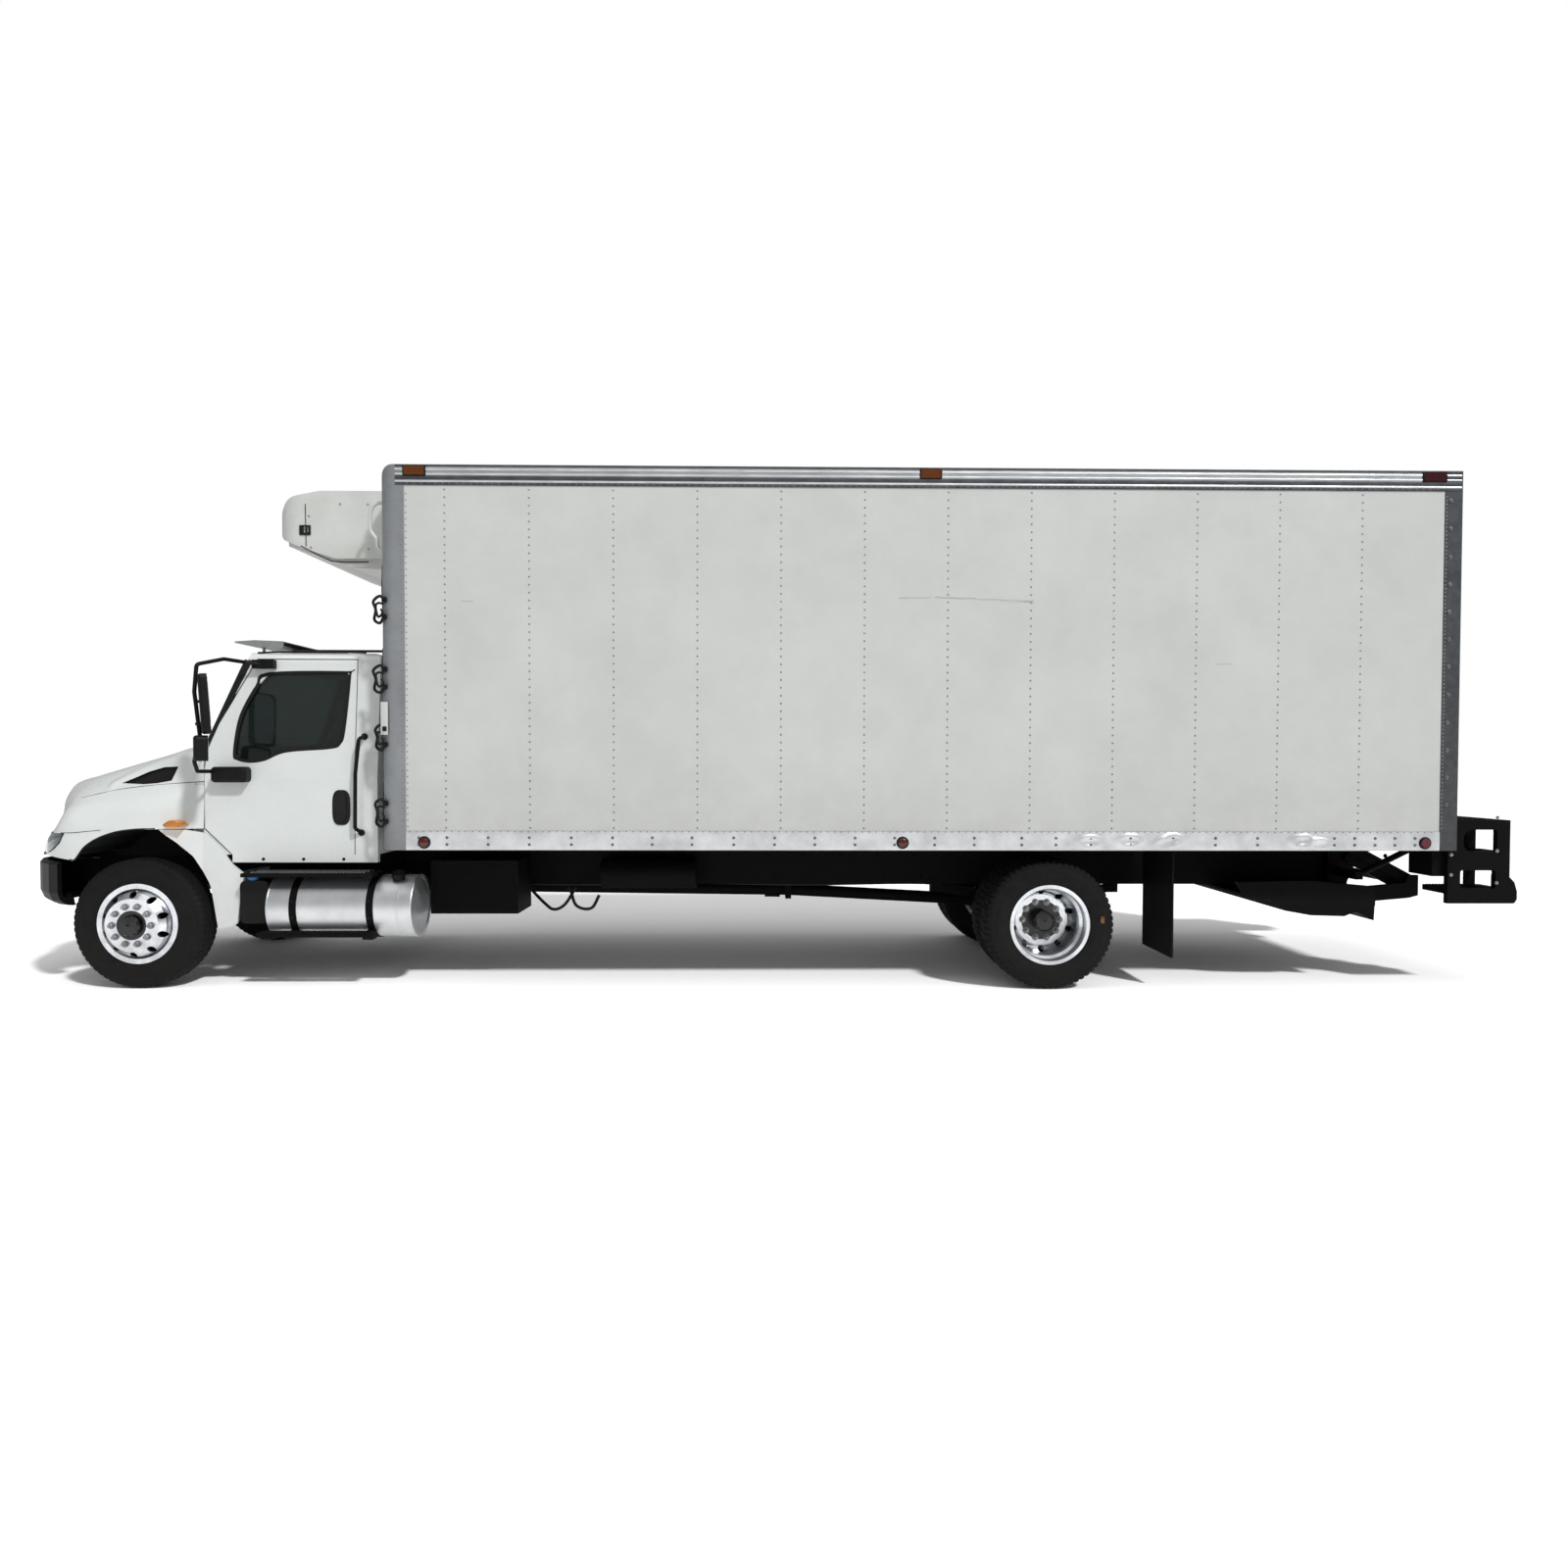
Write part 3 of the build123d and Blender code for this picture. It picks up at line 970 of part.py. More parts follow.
# ================================================================ lift gate
def gate_link(dz, y):
    """Flat gate arm with a bored eye over the frame pin and another over the platform pin."""
    px, pz = GATE_PIVOT_X, GATE_PIVOT_Z + dz
    ex, ez = px - GATE_REACH, pz - GATE_DROP
    run = hypot(GATE_REACH, GATE_DROP)
    nx, nz = GATE_DROP / run * GATE_ARM_HALF_DEPTH, -GATE_REACH / run * GATE_ARM_HALF_DEPTH
    span = along_y([(px + nx, pz + nz), (px - nx, pz - nz), (ex - nx, ez - nz), (ex + nx, ez + nz)],
                   y, y + ARM_THICKNESS)
    arm = span
    for cx, cz in ((px, pz), (ex, ez)):
        arm = arm + rod((cx, y, cz), (cx, y + ARM_THICKNESS, cz), GATE_ARM_HALF_DEPTH)
    for cx, cz in ((px, pz), (ex, ez)):
        arm = arm - rod((cx, y - 1, cz), (cx, y + ARM_THICKNESS + 1, cz), GATE_PIN_RADIUS + GATE_PIN_GAP)
    return arm


def gate_platform():
    """Folded platform slung under the frame, with the shackles that hang it on the arms."""
    px, pz = GATE_PIVOT_X, GATE_PIVOT_Z
    ex, ez = px - GATE_REACH, pz - GATE_DROP
    under = RAIL_BOTTOM - 13
    front = BOX_REAR_X + 1425
    pack = along_y(
        [(front, under), (front, 668), (front - 190, 644), (front - 300, 560), (front - 500, 524),
         (front - 760, 517), (front - 850, 552), (front - 990, 485), (front - 1000, under)],
        -PLATFORM_HALF, PLATFORM_HALF)
    ends = both_sides(along_y(
        [(front + 70, 780), (front, 668), (front - 190, 644), (front - 1000, 600), (front - 1000, 744),
         (front - 500, 790)], PLATFORM_HALF - 60, PLATFORM_HALF))
    inside = SHACKLE_HALF
    plate = along_y(
        [(front - 960, 560), (front - 960, under), (ex + 60, ez + 60), (ex + 42, ez + GATE_LINK_RISE + 42),
         (ex - 42, ez + GATE_LINK_RISE + 42), (ex - 42, ez - 42), (ex + 30, ez - 62)],
        inside, inside + ARM_THICKNESS)
    pins = fuse(
        rod((ex, LIFT_ARM_HALF - 2, ez), (ex, inside + 5, ez), GATE_PIN_RADIUS),
        plate,
        rod((ex, PARALLEL_ARM_HALF - 2, ez + GATE_LINK_RISE), (ex, inside + 5, ez + GATE_LINK_RISE),
            GATE_PIN_RADIUS),
    )
    return fuse(pack, *ends, *both_sides(pins))


def gate_mount():
    """Plates on the rails with the frame pins, and struts up to the rear sill."""
    px, pz = GATE_PIVOT_X, GATE_PIVOT_Z
    reach = LIFT_ARM_HALF - 12
    plate = along_y([(px - 60, pz + 60), (px + 160, pz + 60), (px + 160, RAIL_BOTTOM),
                     (px + 10, RAIL_BOTTOM), (px - 60, pz - 60)], RAIL_HALF, reach)
    head = block(px - 30, px + 30, RAIL_HALF, reach, pz + 60, pz + GATE_LINK_RISE + 30)
    pins = []
    for arm_half, z in ((LIFT_ARM_HALF, pz), (PARALLEL_ARM_HALF, pz + GATE_LINK_RISE)):
        tip = arm_half + ARM_THICKNESS + 2
        pins.append(rod((px, reach - 5, z), (px, tip, z), GATE_PIN_RADIUS))
    outrigger = block(px + 60, px + 120, reach - 5, STRUT_HALF + 30, 780, 840)
    strut = rod((px + 90, STRUT_HALF, 810), (BOX_REAR_X + 30, STRUT_HALF, BOX_BOTTOM - 26), 24)
    foot = block(BOX_REAR_X + 2, BOX_REAR_X + 58, STRUT_HALF - 30, STRUT_HALF + 30,
                 BOX_BOTTOM - 50, BOX_BOTTOM)
    return fuse(plate, head, *pins, outrigger, strut, foot)


def step_tower():
    """Step frame at one rear corner: side frame with two openings, treads and a rubber bumper."""
    front, rear = BOX_REAR_X, BOX_REAR_X - STEP_DEPTH
    low, top = STEP_LOW, BOX_FLOOR_TOP
    side = block(rear, front, STEP_HALF - 46, STEP_HALF, low, top)
    upper_low, upper_top = BOX_BOTTOM - 14, top - 72
    upper = [(rear + 98, upper_low), (front - 148, upper_low), (front - 118, upper_low + 44),
             (front - 118, upper_top), (rear + 98, upper_top)]
    lower_low, lower_top = low + 110, BOX_BOTTOM - 156
    lower = [(rear + 106, lower_low), (front - 96, lower_low), (front - 96, lower_top),
             (rear + 106, lower_top)]
    side = side - along_y(upper, STEP_HALF - 60, STEP_HALF + 10, radius=[12, 12, 12, 70, 12])
    side = side - along_y(lower, STEP_HALF - 60, STEP_HALF + 10, radius=14)
    treads = [block(rear, front - 20, STEP_HALF - 330, STEP_HALF - 40, z, z + 42)
              for z in (low + 66, BOX_BOTTOM - 60)]
    treads.append(block(rear, front, STEP_HALF - 330, STEP_HALF - 40, top - 42, top))
    inner = block(rear + 60, rear + 130, STEP_HALF - 330, STEP_HALF - 290, low + 66, top)
    bumper = along_y([(rear, low + 200), (rear - 40, low + 160), (REAR_X, low + 90), (REAR_X, low + 30),
                      (rear - 40, low), (rear, low)], STEP_HALF - 200, STEP_HALF - 2,
                     radius=[0, 20, 20, 20, 20, 0])
    hanger = block(front - 1, front + 90, STEP_HALF - 330, STEP_HALF - 46, low + 200, BOX_BOTTOM)
    return fuse(side, *treads, inner, bumper, hanger)


def build_gate():
    """Lift gate under the box tail, and the step towers behind the box."""
    lift = gate_link(0, LIFT_ARM_HALF)
    mid_x = GATE_PIVOT_X - GATE_REACH * CROSS_TUBE_SHARE
    mid_z = GATE_PIVOT_Z - GATE_DROP * CROSS_TUBE_SHARE
    cross = rod((mid_x, -LIFT_ARM_HALF - 1, mid_z), (mid_x, LIFT_ARM_HALF + 1, mid_z), 30)
    save("lift_arms", fuse(*both_sides(lift), cross))
    save("parallel_arms", *both_sides(gate_link(GATE_LINK_RISE, PARALLEL_ARM_HALF)))
    save("lift_platform", gate_platform())
    save("lift_gate_mount", *both_sides(gate_mount()))
    plate = block(BOX_REAR_X - STEP_DEPTH, BOX_REAR_X, -(STEP_HALF - 330), STEP_HALF - 330,
                  BOX_FLOOR_TOP - 22, BOX_FLOOR_TOP)
    save("rear_step_frame", fuse(plate, *both_sides(step_tower())))


def main():
    """Build every sub-part."""
    build_wheels()
    build_steering()
    build_frame()
    build_axles()
    build_bumper()
    build_cab()
    build_cab_inside()
    build_hood()
    build_lamps()
    build_box()
    build_reefer()
    build_cab_fittings()
    build_tank_and_steps()
    build_gate()


main()
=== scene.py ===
"""Refrigerated straight truck: pieces, finishes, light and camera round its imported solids."""

from __future__ import annotations

import json
import logging
import math
from dataclasses import dataclass, replace
from enum import Enum

import bmesh
import bpy
from mathutils import Matrix, Vector, noise

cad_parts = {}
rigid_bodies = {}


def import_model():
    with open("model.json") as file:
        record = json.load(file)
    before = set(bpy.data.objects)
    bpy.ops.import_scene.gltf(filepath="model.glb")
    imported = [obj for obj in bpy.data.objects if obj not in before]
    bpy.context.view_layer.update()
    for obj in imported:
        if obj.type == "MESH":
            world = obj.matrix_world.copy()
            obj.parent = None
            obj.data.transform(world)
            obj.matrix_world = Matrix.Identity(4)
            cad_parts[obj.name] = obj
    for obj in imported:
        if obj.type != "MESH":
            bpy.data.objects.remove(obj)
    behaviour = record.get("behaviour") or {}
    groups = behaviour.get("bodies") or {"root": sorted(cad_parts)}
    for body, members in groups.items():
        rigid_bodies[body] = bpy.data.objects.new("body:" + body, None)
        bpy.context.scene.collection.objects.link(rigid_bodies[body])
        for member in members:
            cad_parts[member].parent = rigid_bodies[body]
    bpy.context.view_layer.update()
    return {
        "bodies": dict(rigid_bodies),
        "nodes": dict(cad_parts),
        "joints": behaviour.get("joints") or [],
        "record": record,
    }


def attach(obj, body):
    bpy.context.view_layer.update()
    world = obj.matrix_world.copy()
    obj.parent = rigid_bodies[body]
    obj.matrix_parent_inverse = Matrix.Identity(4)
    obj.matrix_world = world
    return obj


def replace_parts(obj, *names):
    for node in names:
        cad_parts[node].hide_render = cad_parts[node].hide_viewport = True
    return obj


logging.basicConfig(level=logging.INFO, format="%(message)s")
log = logging.getLogger("truck")

MM = 0.001

# The truck's own lengths in millimetres: +X forward, +Y to the driver's left, +Z up.
BOX_FRONT_X = 2815.0
BOX_REAR_X = -5110.0
FRONT_AXLE_X = 4665.0
REAR_AXLE_X = -2115.0
BOX_HALF = 1295.5
BOX_BOTTOM = 1048.0
BOX_TOP = 3841.0
RAIL_PROUD = 5.0
BOTTOM_RAIL_TOP = BOX_BOTTOM + 142.0
TOP_RAIL_LOW = BOX_TOP - 151.0
CORNER_DEPTH = 191.0
PORTAL_DEPTH = 130.0
WHEEL_Z = 485.0
FRONT_PLANE = 1022.0
REAR_OUTER_PLANE = 1095.0
REAR_INNER_PLANE = 759.0
CAB_HALF = 1040.0
CAB_BELT = 1560.0
CAB_REAR_X = BOX_FRONT_X + 110.0
DOOR_FRONT_X = FRONT_AXLE_X - 453.0
RIVET_PITCH = 609.6
FIRST_RIVETS = 481.0
SHEET_FRONT_X = BOX_FRONT_X - CORNER_DEPTH
SHEET_REAR_X = BOX_REAR_X + PORTAL_DEPTH

AHEAD = Vector((1, 0, 0))
OUTWARD = Vector((0, 1, 0))
UP = Vector((0, 0, 1))
REARWARD = Vector((-1, 0, 0))


def cab_side(z: float) -> float:
    """Half width of the cab's side, which leans in above the belt line.

    Args:
        z: Height above the road.

    Returns:
        Distance from the centre plane.
    """
    lean, lean_height = 90.0, 959.5
    return CAB_HALF if z < CAB_BELT else CAB_HALF - lean * (z - CAB_BELT) / lean_height


class Axis(Enum):
    """Row axes that a shape is drawn across."""

    X = 0
    Y = 1
    Z = 2

    def place(self, along: float, first: float, second: float) -> Vector:
        """Point at `along` on this axis and (first, second) on the next two.

        Args:
            along: Place on this axis.
            first: Place on the axis after it.
            second: Place on the one after that.

        Returns:
            The point.
        """
        values = [0.0, 0.0, 0.0]
        values[self.value] = along
        values[(self.value + 1) % 3] = first
        values[(self.value + 2) % 3] = second
        return Vector(values)


class Side(Enum):
    """Sides of the truck."""

    LEFT = 1
    RIGHT = -1

    @property
    def word(self) -> str:
        """Name used in bodies and pieces.

        Returns:
            "left" or "right".
        """
        return self.name.lower()


# ---------------------------------------------------------------- materials
def linear(hex_colour: str) -> tuple[float, float, float, float]:
    """Turn an sRGB hex colour into linear RGBA.

    Args:
        hex_colour: Six hex digits, with or without a leading hash.

    Returns:
        Linear red, green, blue and an alpha of 1.
    """
    digits = hex_colour.lstrip("#")
    values = [int(digits[i : i + 2], 16) / 255 for i in (0, 2, 4)]
    scaled = [v / 12.92 if v <= 0.04045 else ((v + 0.055) / 1.055) ** 2.4 for v in values]
    return (*scaled, 1.0)


def add_node(tree: bpy.types.NodeTree, kind: str, links: dict | None = None, **settings) -> bpy.types.Node:
    """Add a node, set its properties, and fill its inputs.

    Args:
        tree: Node tree that takes the node.
        kind: Blender's node type.
        links: Input name or index to a value or to a socket that feeds it.
        settings: Node properties by name.

    Returns:
        The new node.
    """
    node = tree.nodes.new(kind)
    for key, value in settings.items():
        setattr(node, key, value)
    for key, value in (links or {}).items():
        if isinstance(value, bpy.types.NodeSocket):
            tree.links.new(value, node.inputs[key])
        else:
            node.inputs[key].default_value = value
    return node


def per_metre(size_mm: float) -> float:
    """Texture scale at which one feature of a noise has a real size.

    Args:
        size_mm: Size of the feature.

    Returns:
        The scale.
    """
    return 1000.0 / size_mm


def start_material(name: str) -> tuple[bpy.types.Material, bpy.types.NodeTree, bpy.types.NodeSocket]:
    """Make a material with no nodes but its object coordinates.

    Args:
        name: The material's name.

    Returns:
        The material, its nodes, and the socket of the coordinates.
    """
    material = bpy.data.materials.new(name)
    material.use_nodes = True
    material.node_tree.nodes.clear()
    where = add_node(material.node_tree, "ShaderNodeTexCoord").outputs["Object"]
    return material, material.node_tree, where


Feed = bpy.types.NodeSocket | tuple[float, float, float, float] | float


def calculate(tree: bpy.types.NodeTree, operation: str, *values: Feed) -> bpy.types.NodeSocket:
    """Add one step of arithmetic.

    Args:
        tree: Node tree that takes the step.
        operation: Blender's name of the step.
        values: Numbers or sockets that it works on.

    Returns:
        Socket with the result.
    """
    return add_node(tree, "ShaderNodeMath", dict(enumerate(values)), operation=operation).outputs[0]


def blended(tree: bpy.types.NodeTree, share: Feed, one: Feed, two: Feed) -> bpy.types.NodeSocket:
    """Mix two colours.

    Args:
        tree: Node tree that takes the mix.
        share: How much of the second colour shows.
        one: First colour, or a socket with it.
        two: Second colour, or a socket with it.

    Returns:
        Socket with the mixed colour.
    """
    return add_node(tree, "ShaderNodeMix", {0: share, 6: one, 7: two}, data_type="RGBA").outputs[2]


@dataclass(frozen=True)
class Zone:
    """Part of a solid with another colour, where it is nearer than each reach to its centre: a real coat on
    some solids, painted shade on others.

    Each limit is a mask of axes, a centre and a reach, in metres.
    """

    limits: tuple[tuple[tuple[float, float, float], tuple[float, float, float], float], ...]

    def factor(self, tree: bpy.types.NodeTree, where: bpy.types.NodeSocket) -> bpy.types.NodeSocket:
        """Add the nodes that give 1 inside the zone and 0 outside.

        Args:
            tree: The material's nodes.
            where: Object coordinates.

        Returns:
            Socket with the factor.
        """
        found = None
        for mask, centre, reach in self.limits:
            away = add_node(tree, "ShaderNodeVectorMath", {0: where, 1: centre}, operation="SUBTRACT")
            away = add_node(tree, "ShaderNodeVectorMath", {0: away.outputs[0], 1: mask}, operation="MULTIPLY")
            far = add_node(tree, "ShaderNodeVectorMath", {0: away.outputs[0]}, operation="LENGTH")
            near = calculate(tree, "LESS_THAN", far.outputs["Value"], reach)
            found = near if found is None else calculate(tree, "MULTIPLY", found, near)
        return found


@dataclass(frozen=True)
class Finish:
    """Surface of one real material: two mottled colours, grain, streaks and road film.

    The road film is dust that thickens towards the road, from film_top down to film_low.
    Inside its zones the solid has zone_colour and no metal sheen; on the wheels and the box's beams this is
    painted shade.
    """

    name: str
    slot: str
    colour: str
    second: str
    mottle_mm: float = 400.0
    grain_mm: float = 3.0
    grain_depth_mm: float = 0.1
    roughness: tuple[float, float] = (0.4, 0.55)
    metallic: float = 0.0
    specular: float = 0.5
    coat: float = 0.0
    streak: tuple[float, float, float] = (1.0, 1.0, 1.0)
    film: str = "#6E675C"
    film_amount: float = 0.3
    film_low: float = 300.0
    film_top: float = 1300.0
    wave_mm: float = 700.0
    wave_depth_mm: float = 0.0
    zones: tuple[Zone, ...] = ()
    zone_colour: str = "#070708"

    def build(self) -> bpy.types.Material:
        """Make the material, unless it was made before under this name.

        Returns:
            The material.
        """
        made = bpy.data.materials.get(self.name)
        if made:
            return made
        material, tree, where = start_material(self.name)
        stretched = add_node(tree, "ShaderNodeMapping", {"Vector": where, "Scale": self.streak}).outputs[0]
        mottle = add_node(tree, "ShaderNodeTexNoise", {
            "Vector": where, "Scale": per_metre(self.mottle_mm), "Detail": 5.0, "Roughness": 0.62})
        grain = add_node(tree, "ShaderNodeTexNoise", {
            "Vector": stretched, "Scale": per_metre(self.grain_mm), "Detail": 3.0, "Roughness": 0.6})
        patch = add_node(tree, "ShaderNodeMapRange", {
            "Value": mottle.outputs["Fac"], "From Min": 0.35, "From Max": 0.68})
        paint = blended(tree, patch.outputs[0], linear(self.colour), linear(self.second))
        height = add_node(tree, "ShaderNodeSeparateXYZ", {0: where}).outputs["Z"]
        low = add_node(tree, "ShaderNodeMapRange", {
            "Value": height, "From Min": self.film_top * MM, "From Max": self.film_low * MM})
        cloud = add_node(tree, "ShaderNodeTexNoise", {
            "Vector": where, "Scale": per_metre(180.0), "Detail": 8.0, "Roughness": 0.72})
        settle = calculate(tree, "MULTIPLY", low.outputs[0], cloud.outputs["Fac"])
        dusty = add_node(tree, "ShaderNodeMapRange", {
            "Value": settle, "From Min": 0.08, "From Max": 0.62, "To Max": self.film_amount})
        gloss = add_node(tree, "ShaderNodeMapRange", {
            "Value": grain.outputs["Fac"], "From Min": 0.3, "From Max": 0.7,
            "To Min": self.roughness[0], "To Max": self.roughness[1]})
        rough = add_node(tree, "ShaderNodeMix", {
            0: dusty.outputs[0], 2: gloss.outputs[0], 3: 0.85}, data_type="FLOAT")
        relief = add_node(tree, "ShaderNodeBump", {
            "Height": grain.outputs["Fac"], "Distance": self.grain_depth_mm * MM, "Strength": 1.0})
        if self.wave_depth_mm:
            swell = add_node(tree, "ShaderNodeTexNoise", {
                "Vector": where, "Scale": per_metre(self.wave_mm), "Detail": 2.0})
            relief = add_node(tree, "ShaderNodeBump", {
                "Height": swell.outputs["Fac"], "Distance": self.wave_depth_mm * MM,
                "Normal": relief.outputs[0]})
        colour = blended(tree, dusty.outputs[0], paint, linear(self.film))
        metal = self.metallic
        for zone in self.zones:
            inside = zone.factor(tree, where)
            colour = blended(tree, inside, colour, linear(self.zone_colour))
            if self.metallic:
                metal = add_node(tree, "ShaderNodeMix", {0: inside, 2: metal, 3: 0.0}).outputs[0]
        shader = add_node(tree, "ShaderNodeBsdfPrincipled", {
            "Base Color": colour, "Roughness": rough.outputs[0],
            "Metallic": metal, "Specular IOR Level": self.specular,
            "Coat Weight": self.coat, "Coat Roughness": 0.06, "Normal": relief.outputs[0]})
        add_node(tree, "ShaderNodeOutputMaterial", {"Surface": shader.outputs[0]})
        return material


@dataclass(frozen=True)
class Lens:
    """Clear or dyed moulded polycarbonate or sheet glass that light passes through."""

    name: str
    slot: str
    colour: str
    second: str
    rib_mm: float = 9.0
    rib_depth_mm: float = 0.6
    roughness: float = 0.12
    transmission: float = 0.85
    ior: float = 1.5

    def build(self) -> bpy.types.Material:
        """Make the material, unless it was made before under this name.

        Returns:
            The material.
        """
        made = bpy.data.materials.get(self.name)
        if made:
            return made
        material, tree, where = start_material(self.name)
        ribs = add_node(tree, "ShaderNodeTexWave", {
            "Vector": where, "Scale": per_metre(self.rib_mm) / 6.28, "Distortion": 0.0},
            bands_direction="X")
        specks = add_node(tree, "ShaderNodeTexNoise", {
            "Vector": where, "Scale": per_metre(60.0), "Detail": 6.0})
        tint = blended(tree, specks.outputs["Fac"], linear(self.colour), linear(self.second))
        relief = add_node(tree, "ShaderNodeBump", {
            "Height": ribs.outputs["Fac"], "Distance": self.rib_depth_mm * MM})
        shader = add_node(tree, "ShaderNodeBsdfPrincipled", {
            "Base Color": tint, "Roughness": self.roughness, "IOR": self.ior,
            "Transmission Weight": self.transmission, "Normal": relief.outputs[0]})
        add_node(tree, "ShaderNodeOutputMaterial", {"Surface": shader.outputs[0]})
        return material


# Baked polyester enamel on steel and moulded panels: smooth, glossy, with a faint orange peel.
CAB_ENAMEL = Finish("cab_enamel_sprayed", "white_paint", "#DADEDC", "#D2D6D4", mottle_mm=900,
                    grain_mm=7, grain_depth_mm=0.03, roughness=(0.22, 0.3), coat=0.6,
                    film_amount=0.22, film_low=450, film_top=1300)
# Gel-coated glass fibre of the cooling unit's cover: a softer gloss, slightly yellowed.
GELCOAT = Finish("gelcoat_moulded", "white_paint", "#CDCFCC", "#C2C4C0", mottle_mm=300, grain_mm=5,
                 grain_depth_mm=0.05, roughness=(0.3, 0.42), coat=0.25, film="#8B8578",
                 film_amount=0.35, film_low=3050, film_top=3420)
# Prepainted aluminium skin, rolled thin: satin white, drawn slack between its rivets.
PREPAINTED_SHEET = Finish("prepainted_aluminium_rolled", "box_sheet", "#C7C9C7", "#BFC1BF",
                          mottle_mm=520, grain_mm=26, grain_depth_mm=0.12, roughness=(0.38, 0.52),
                          streak=(0.16, 1.0, 1.0), film="#8F8B83", film_amount=0.3,
                          film_low=900, film_top=1900, wave_mm=380, wave_depth_mm=7.0)
# Extruded aluminium rails, mill finish: dull grey metal with lengthwise die lines.
MILL_ALUMINIUM = Finish("mill_aluminium_extruded", "box_alloy", "#B9BCBE", "#A2A5A8",
                        mottle_mm=260, grain_mm=4, grain_depth_mm=0.12, roughness=(0.32, 0.55),
                        metallic=0.85, streak=(0.06, 1.0, 1.0), film="#7C7A76", film_amount=0.35,
                        film_low=900, film_top=1500, wave_mm=240, wave_depth_mm=2.0)
# Anodised corner column: darker grey, vertical die lines.
CORNER_ALUMINIUM = Finish("anodised_aluminium_corner", "box_alloy", "#96999C", "#84878A",
                          mottle_mm=340, grain_mm=4, grain_depth_mm=0.1, roughness=(0.42, 0.58),
                          metallic=0.55, streak=(1.0, 1.0, 0.06), film="#6F6C67", film_amount=0.4,
                          film_low=900, film_top=1700)
# Hot-dip galvanised steel door frame, weathered to lead grey with spangle.
GALVANISED = Finish("galvanised_steel_weathered", "portal_steel", "#4E5154", "#3E4144",
                    mottle_mm=60, grain_mm=9, grain_depth_mm=0.15, roughness=(0.42, 0.66),
                    metallic=0.6, film="#4A4640", film_amount=0.45, film_low=900, film_top=2600)
# Forged aluminium disc wheels, machine polished, with brake dust in the corners.
POLISHED_FORGING = Finish("forged_aluminium_polished", "polished_alloy", "#E3E5E8", "#C9CCD0",
                          mottle_mm=90, grain_mm=2.4, grain_depth_mm=0.02, roughness=(0.13, 0.3),
                          metallic=1.0, film="#57534D", film_amount=0.35, film_low=60, film_top=700)
# Spun aluminium tank, brushed round its barrel.
BRUSHED_TANK = Finish("tank_aluminium_brushed", "tank_alloy", "#D6D8DA", "#C6C9CC",
                      mottle_mm=220, grain_mm=4, grain_depth_mm=0.025, roughness=(0.34, 0.46),
                      metallic=0.85, streak=(1.0, 0.08, 0.08), film="#8A857C", film_amount=0.25,
                      film_low=330, film_top=760)
# Vulcanised carbon-black rubber: matt, dusted grey-brown by the road.
TYRE_COMPOUND = Finish("tyre_rubber_vulcanised", "tyre_rubber", "#0C0C0D", "#131313",
                       mottle_mm=80, grain_mm=2.5, grain_depth_mm=0.2, roughness=(0.72, 0.88),
                       specular=0.18, film="#2C2925", film_amount=0.3, film_low=-100, film_top=1100)
# Moulded rubber sheet: black with a satin bloom.
FLAP_COMPOUND = Finish("flap_rubber_moulded", "flap_rubber", "#0A0A0B", "#101011", mottle_mm=120,
                       grain_mm=3, grain_depth_mm=0.25, roughness=(0.6, 0.82), specular=0.12,
                       film="#26231F", film_amount=0.3, film_low=100, film_top=1100)
# Chassis enamel over forged and rolled steel: satin black under road film, darkened to near black as painted
# shade under the truck.
SHADED_CHASSIS_BLACK = Finish("chassis_enamel_brushed_on", "black_steel", "#060607", "#0B0B0C",
                       mottle_mm=150, grain_mm=6, grain_depth_mm=0.25, roughness=(0.5, 0.75), specular=0.08,
                       film="#151310", film_amount=0.3, film_low=150, film_top=1250)
# Sand-cast iron: rough dark grey with dried road dirt.
ENGINE_IRON = Finish("engine_iron_sand_cast", "engine_iron", "#3A3C3E", "#2B2C2E", mottle_mm=70,
                     grain_mm=3, grain_depth_mm=0.5, roughness=(0.6, 0.85), film="#3D362D",
                     film_amount=0.5, film_low=400, film_top=1500)
# Glass-filled polypropylene: fine moulded leather grain, greyed a little by the sun.
MOULDED_BLACK = Finish("polypropylene_moulded", "black_plastic", "#0B0B0C", "#111112",
                       mottle_mm=220, grain_mm=2.2, grain_depth_mm=0.15, roughness=(0.42, 0.6), specular=0.16,
                       film="#2E2B27", film_amount=0.18, film_low=300, film_top=1300)
# Moulded ABS sheet: even mid grey with a soft sheen.
MOULDED_GREY = Finish("abs_moulded_grey", "grey_plastic", "#8C8F90", "#7D8081", mottle_mm=300,
                      grain_mm=2.5, grain_depth_mm=0.1, roughness=(0.42, 0.6), film="#5A554D",
                      film_amount=0.2, film_low=1400, film_top=2700)
# Grained trim vinyl: dark grey with a leather-like grain.
CAB_VINYL = Finish("cab_trim_grained", "cab_trim", "#3D3F41", "#303234", mottle_mm=200,
                   grain_mm=2.5, grain_depth_mm=0.3, roughness=(0.6, 0.78), film="#55504A",
                   film_amount=0.15, film_low=900, film_top=1400)
# Zinc-plated steel: small bright glints through a dusty film.
ZINC_FASTENER = Finish("fastener_steel_zinc_plated", "polished_alloy", "#A8AAAD", "#8B8D90",
                       mottle_mm=25, grain_mm=2, grain_depth_mm=0.05, roughness=(0.28, 0.45),
                       metallic=0.9, film="#4F4941", film_amount=0.4, film_low=100, film_top=1100)
# Aluminium rivets, grey against the white sheet: the dotted columns on the sheet.
RIVET_ALUMINIUM = Finish("rivet_aluminium_prepainted", "box_sheet", "#8F9190", "#767877",
                         mottle_mm=30, grain_mm=3, grain_depth_mm=0.05, roughness=(0.35, 0.5),
                         metallic=0.25, film="#6F6C66", film_amount=0.5, film_low=900, film_top=3900)
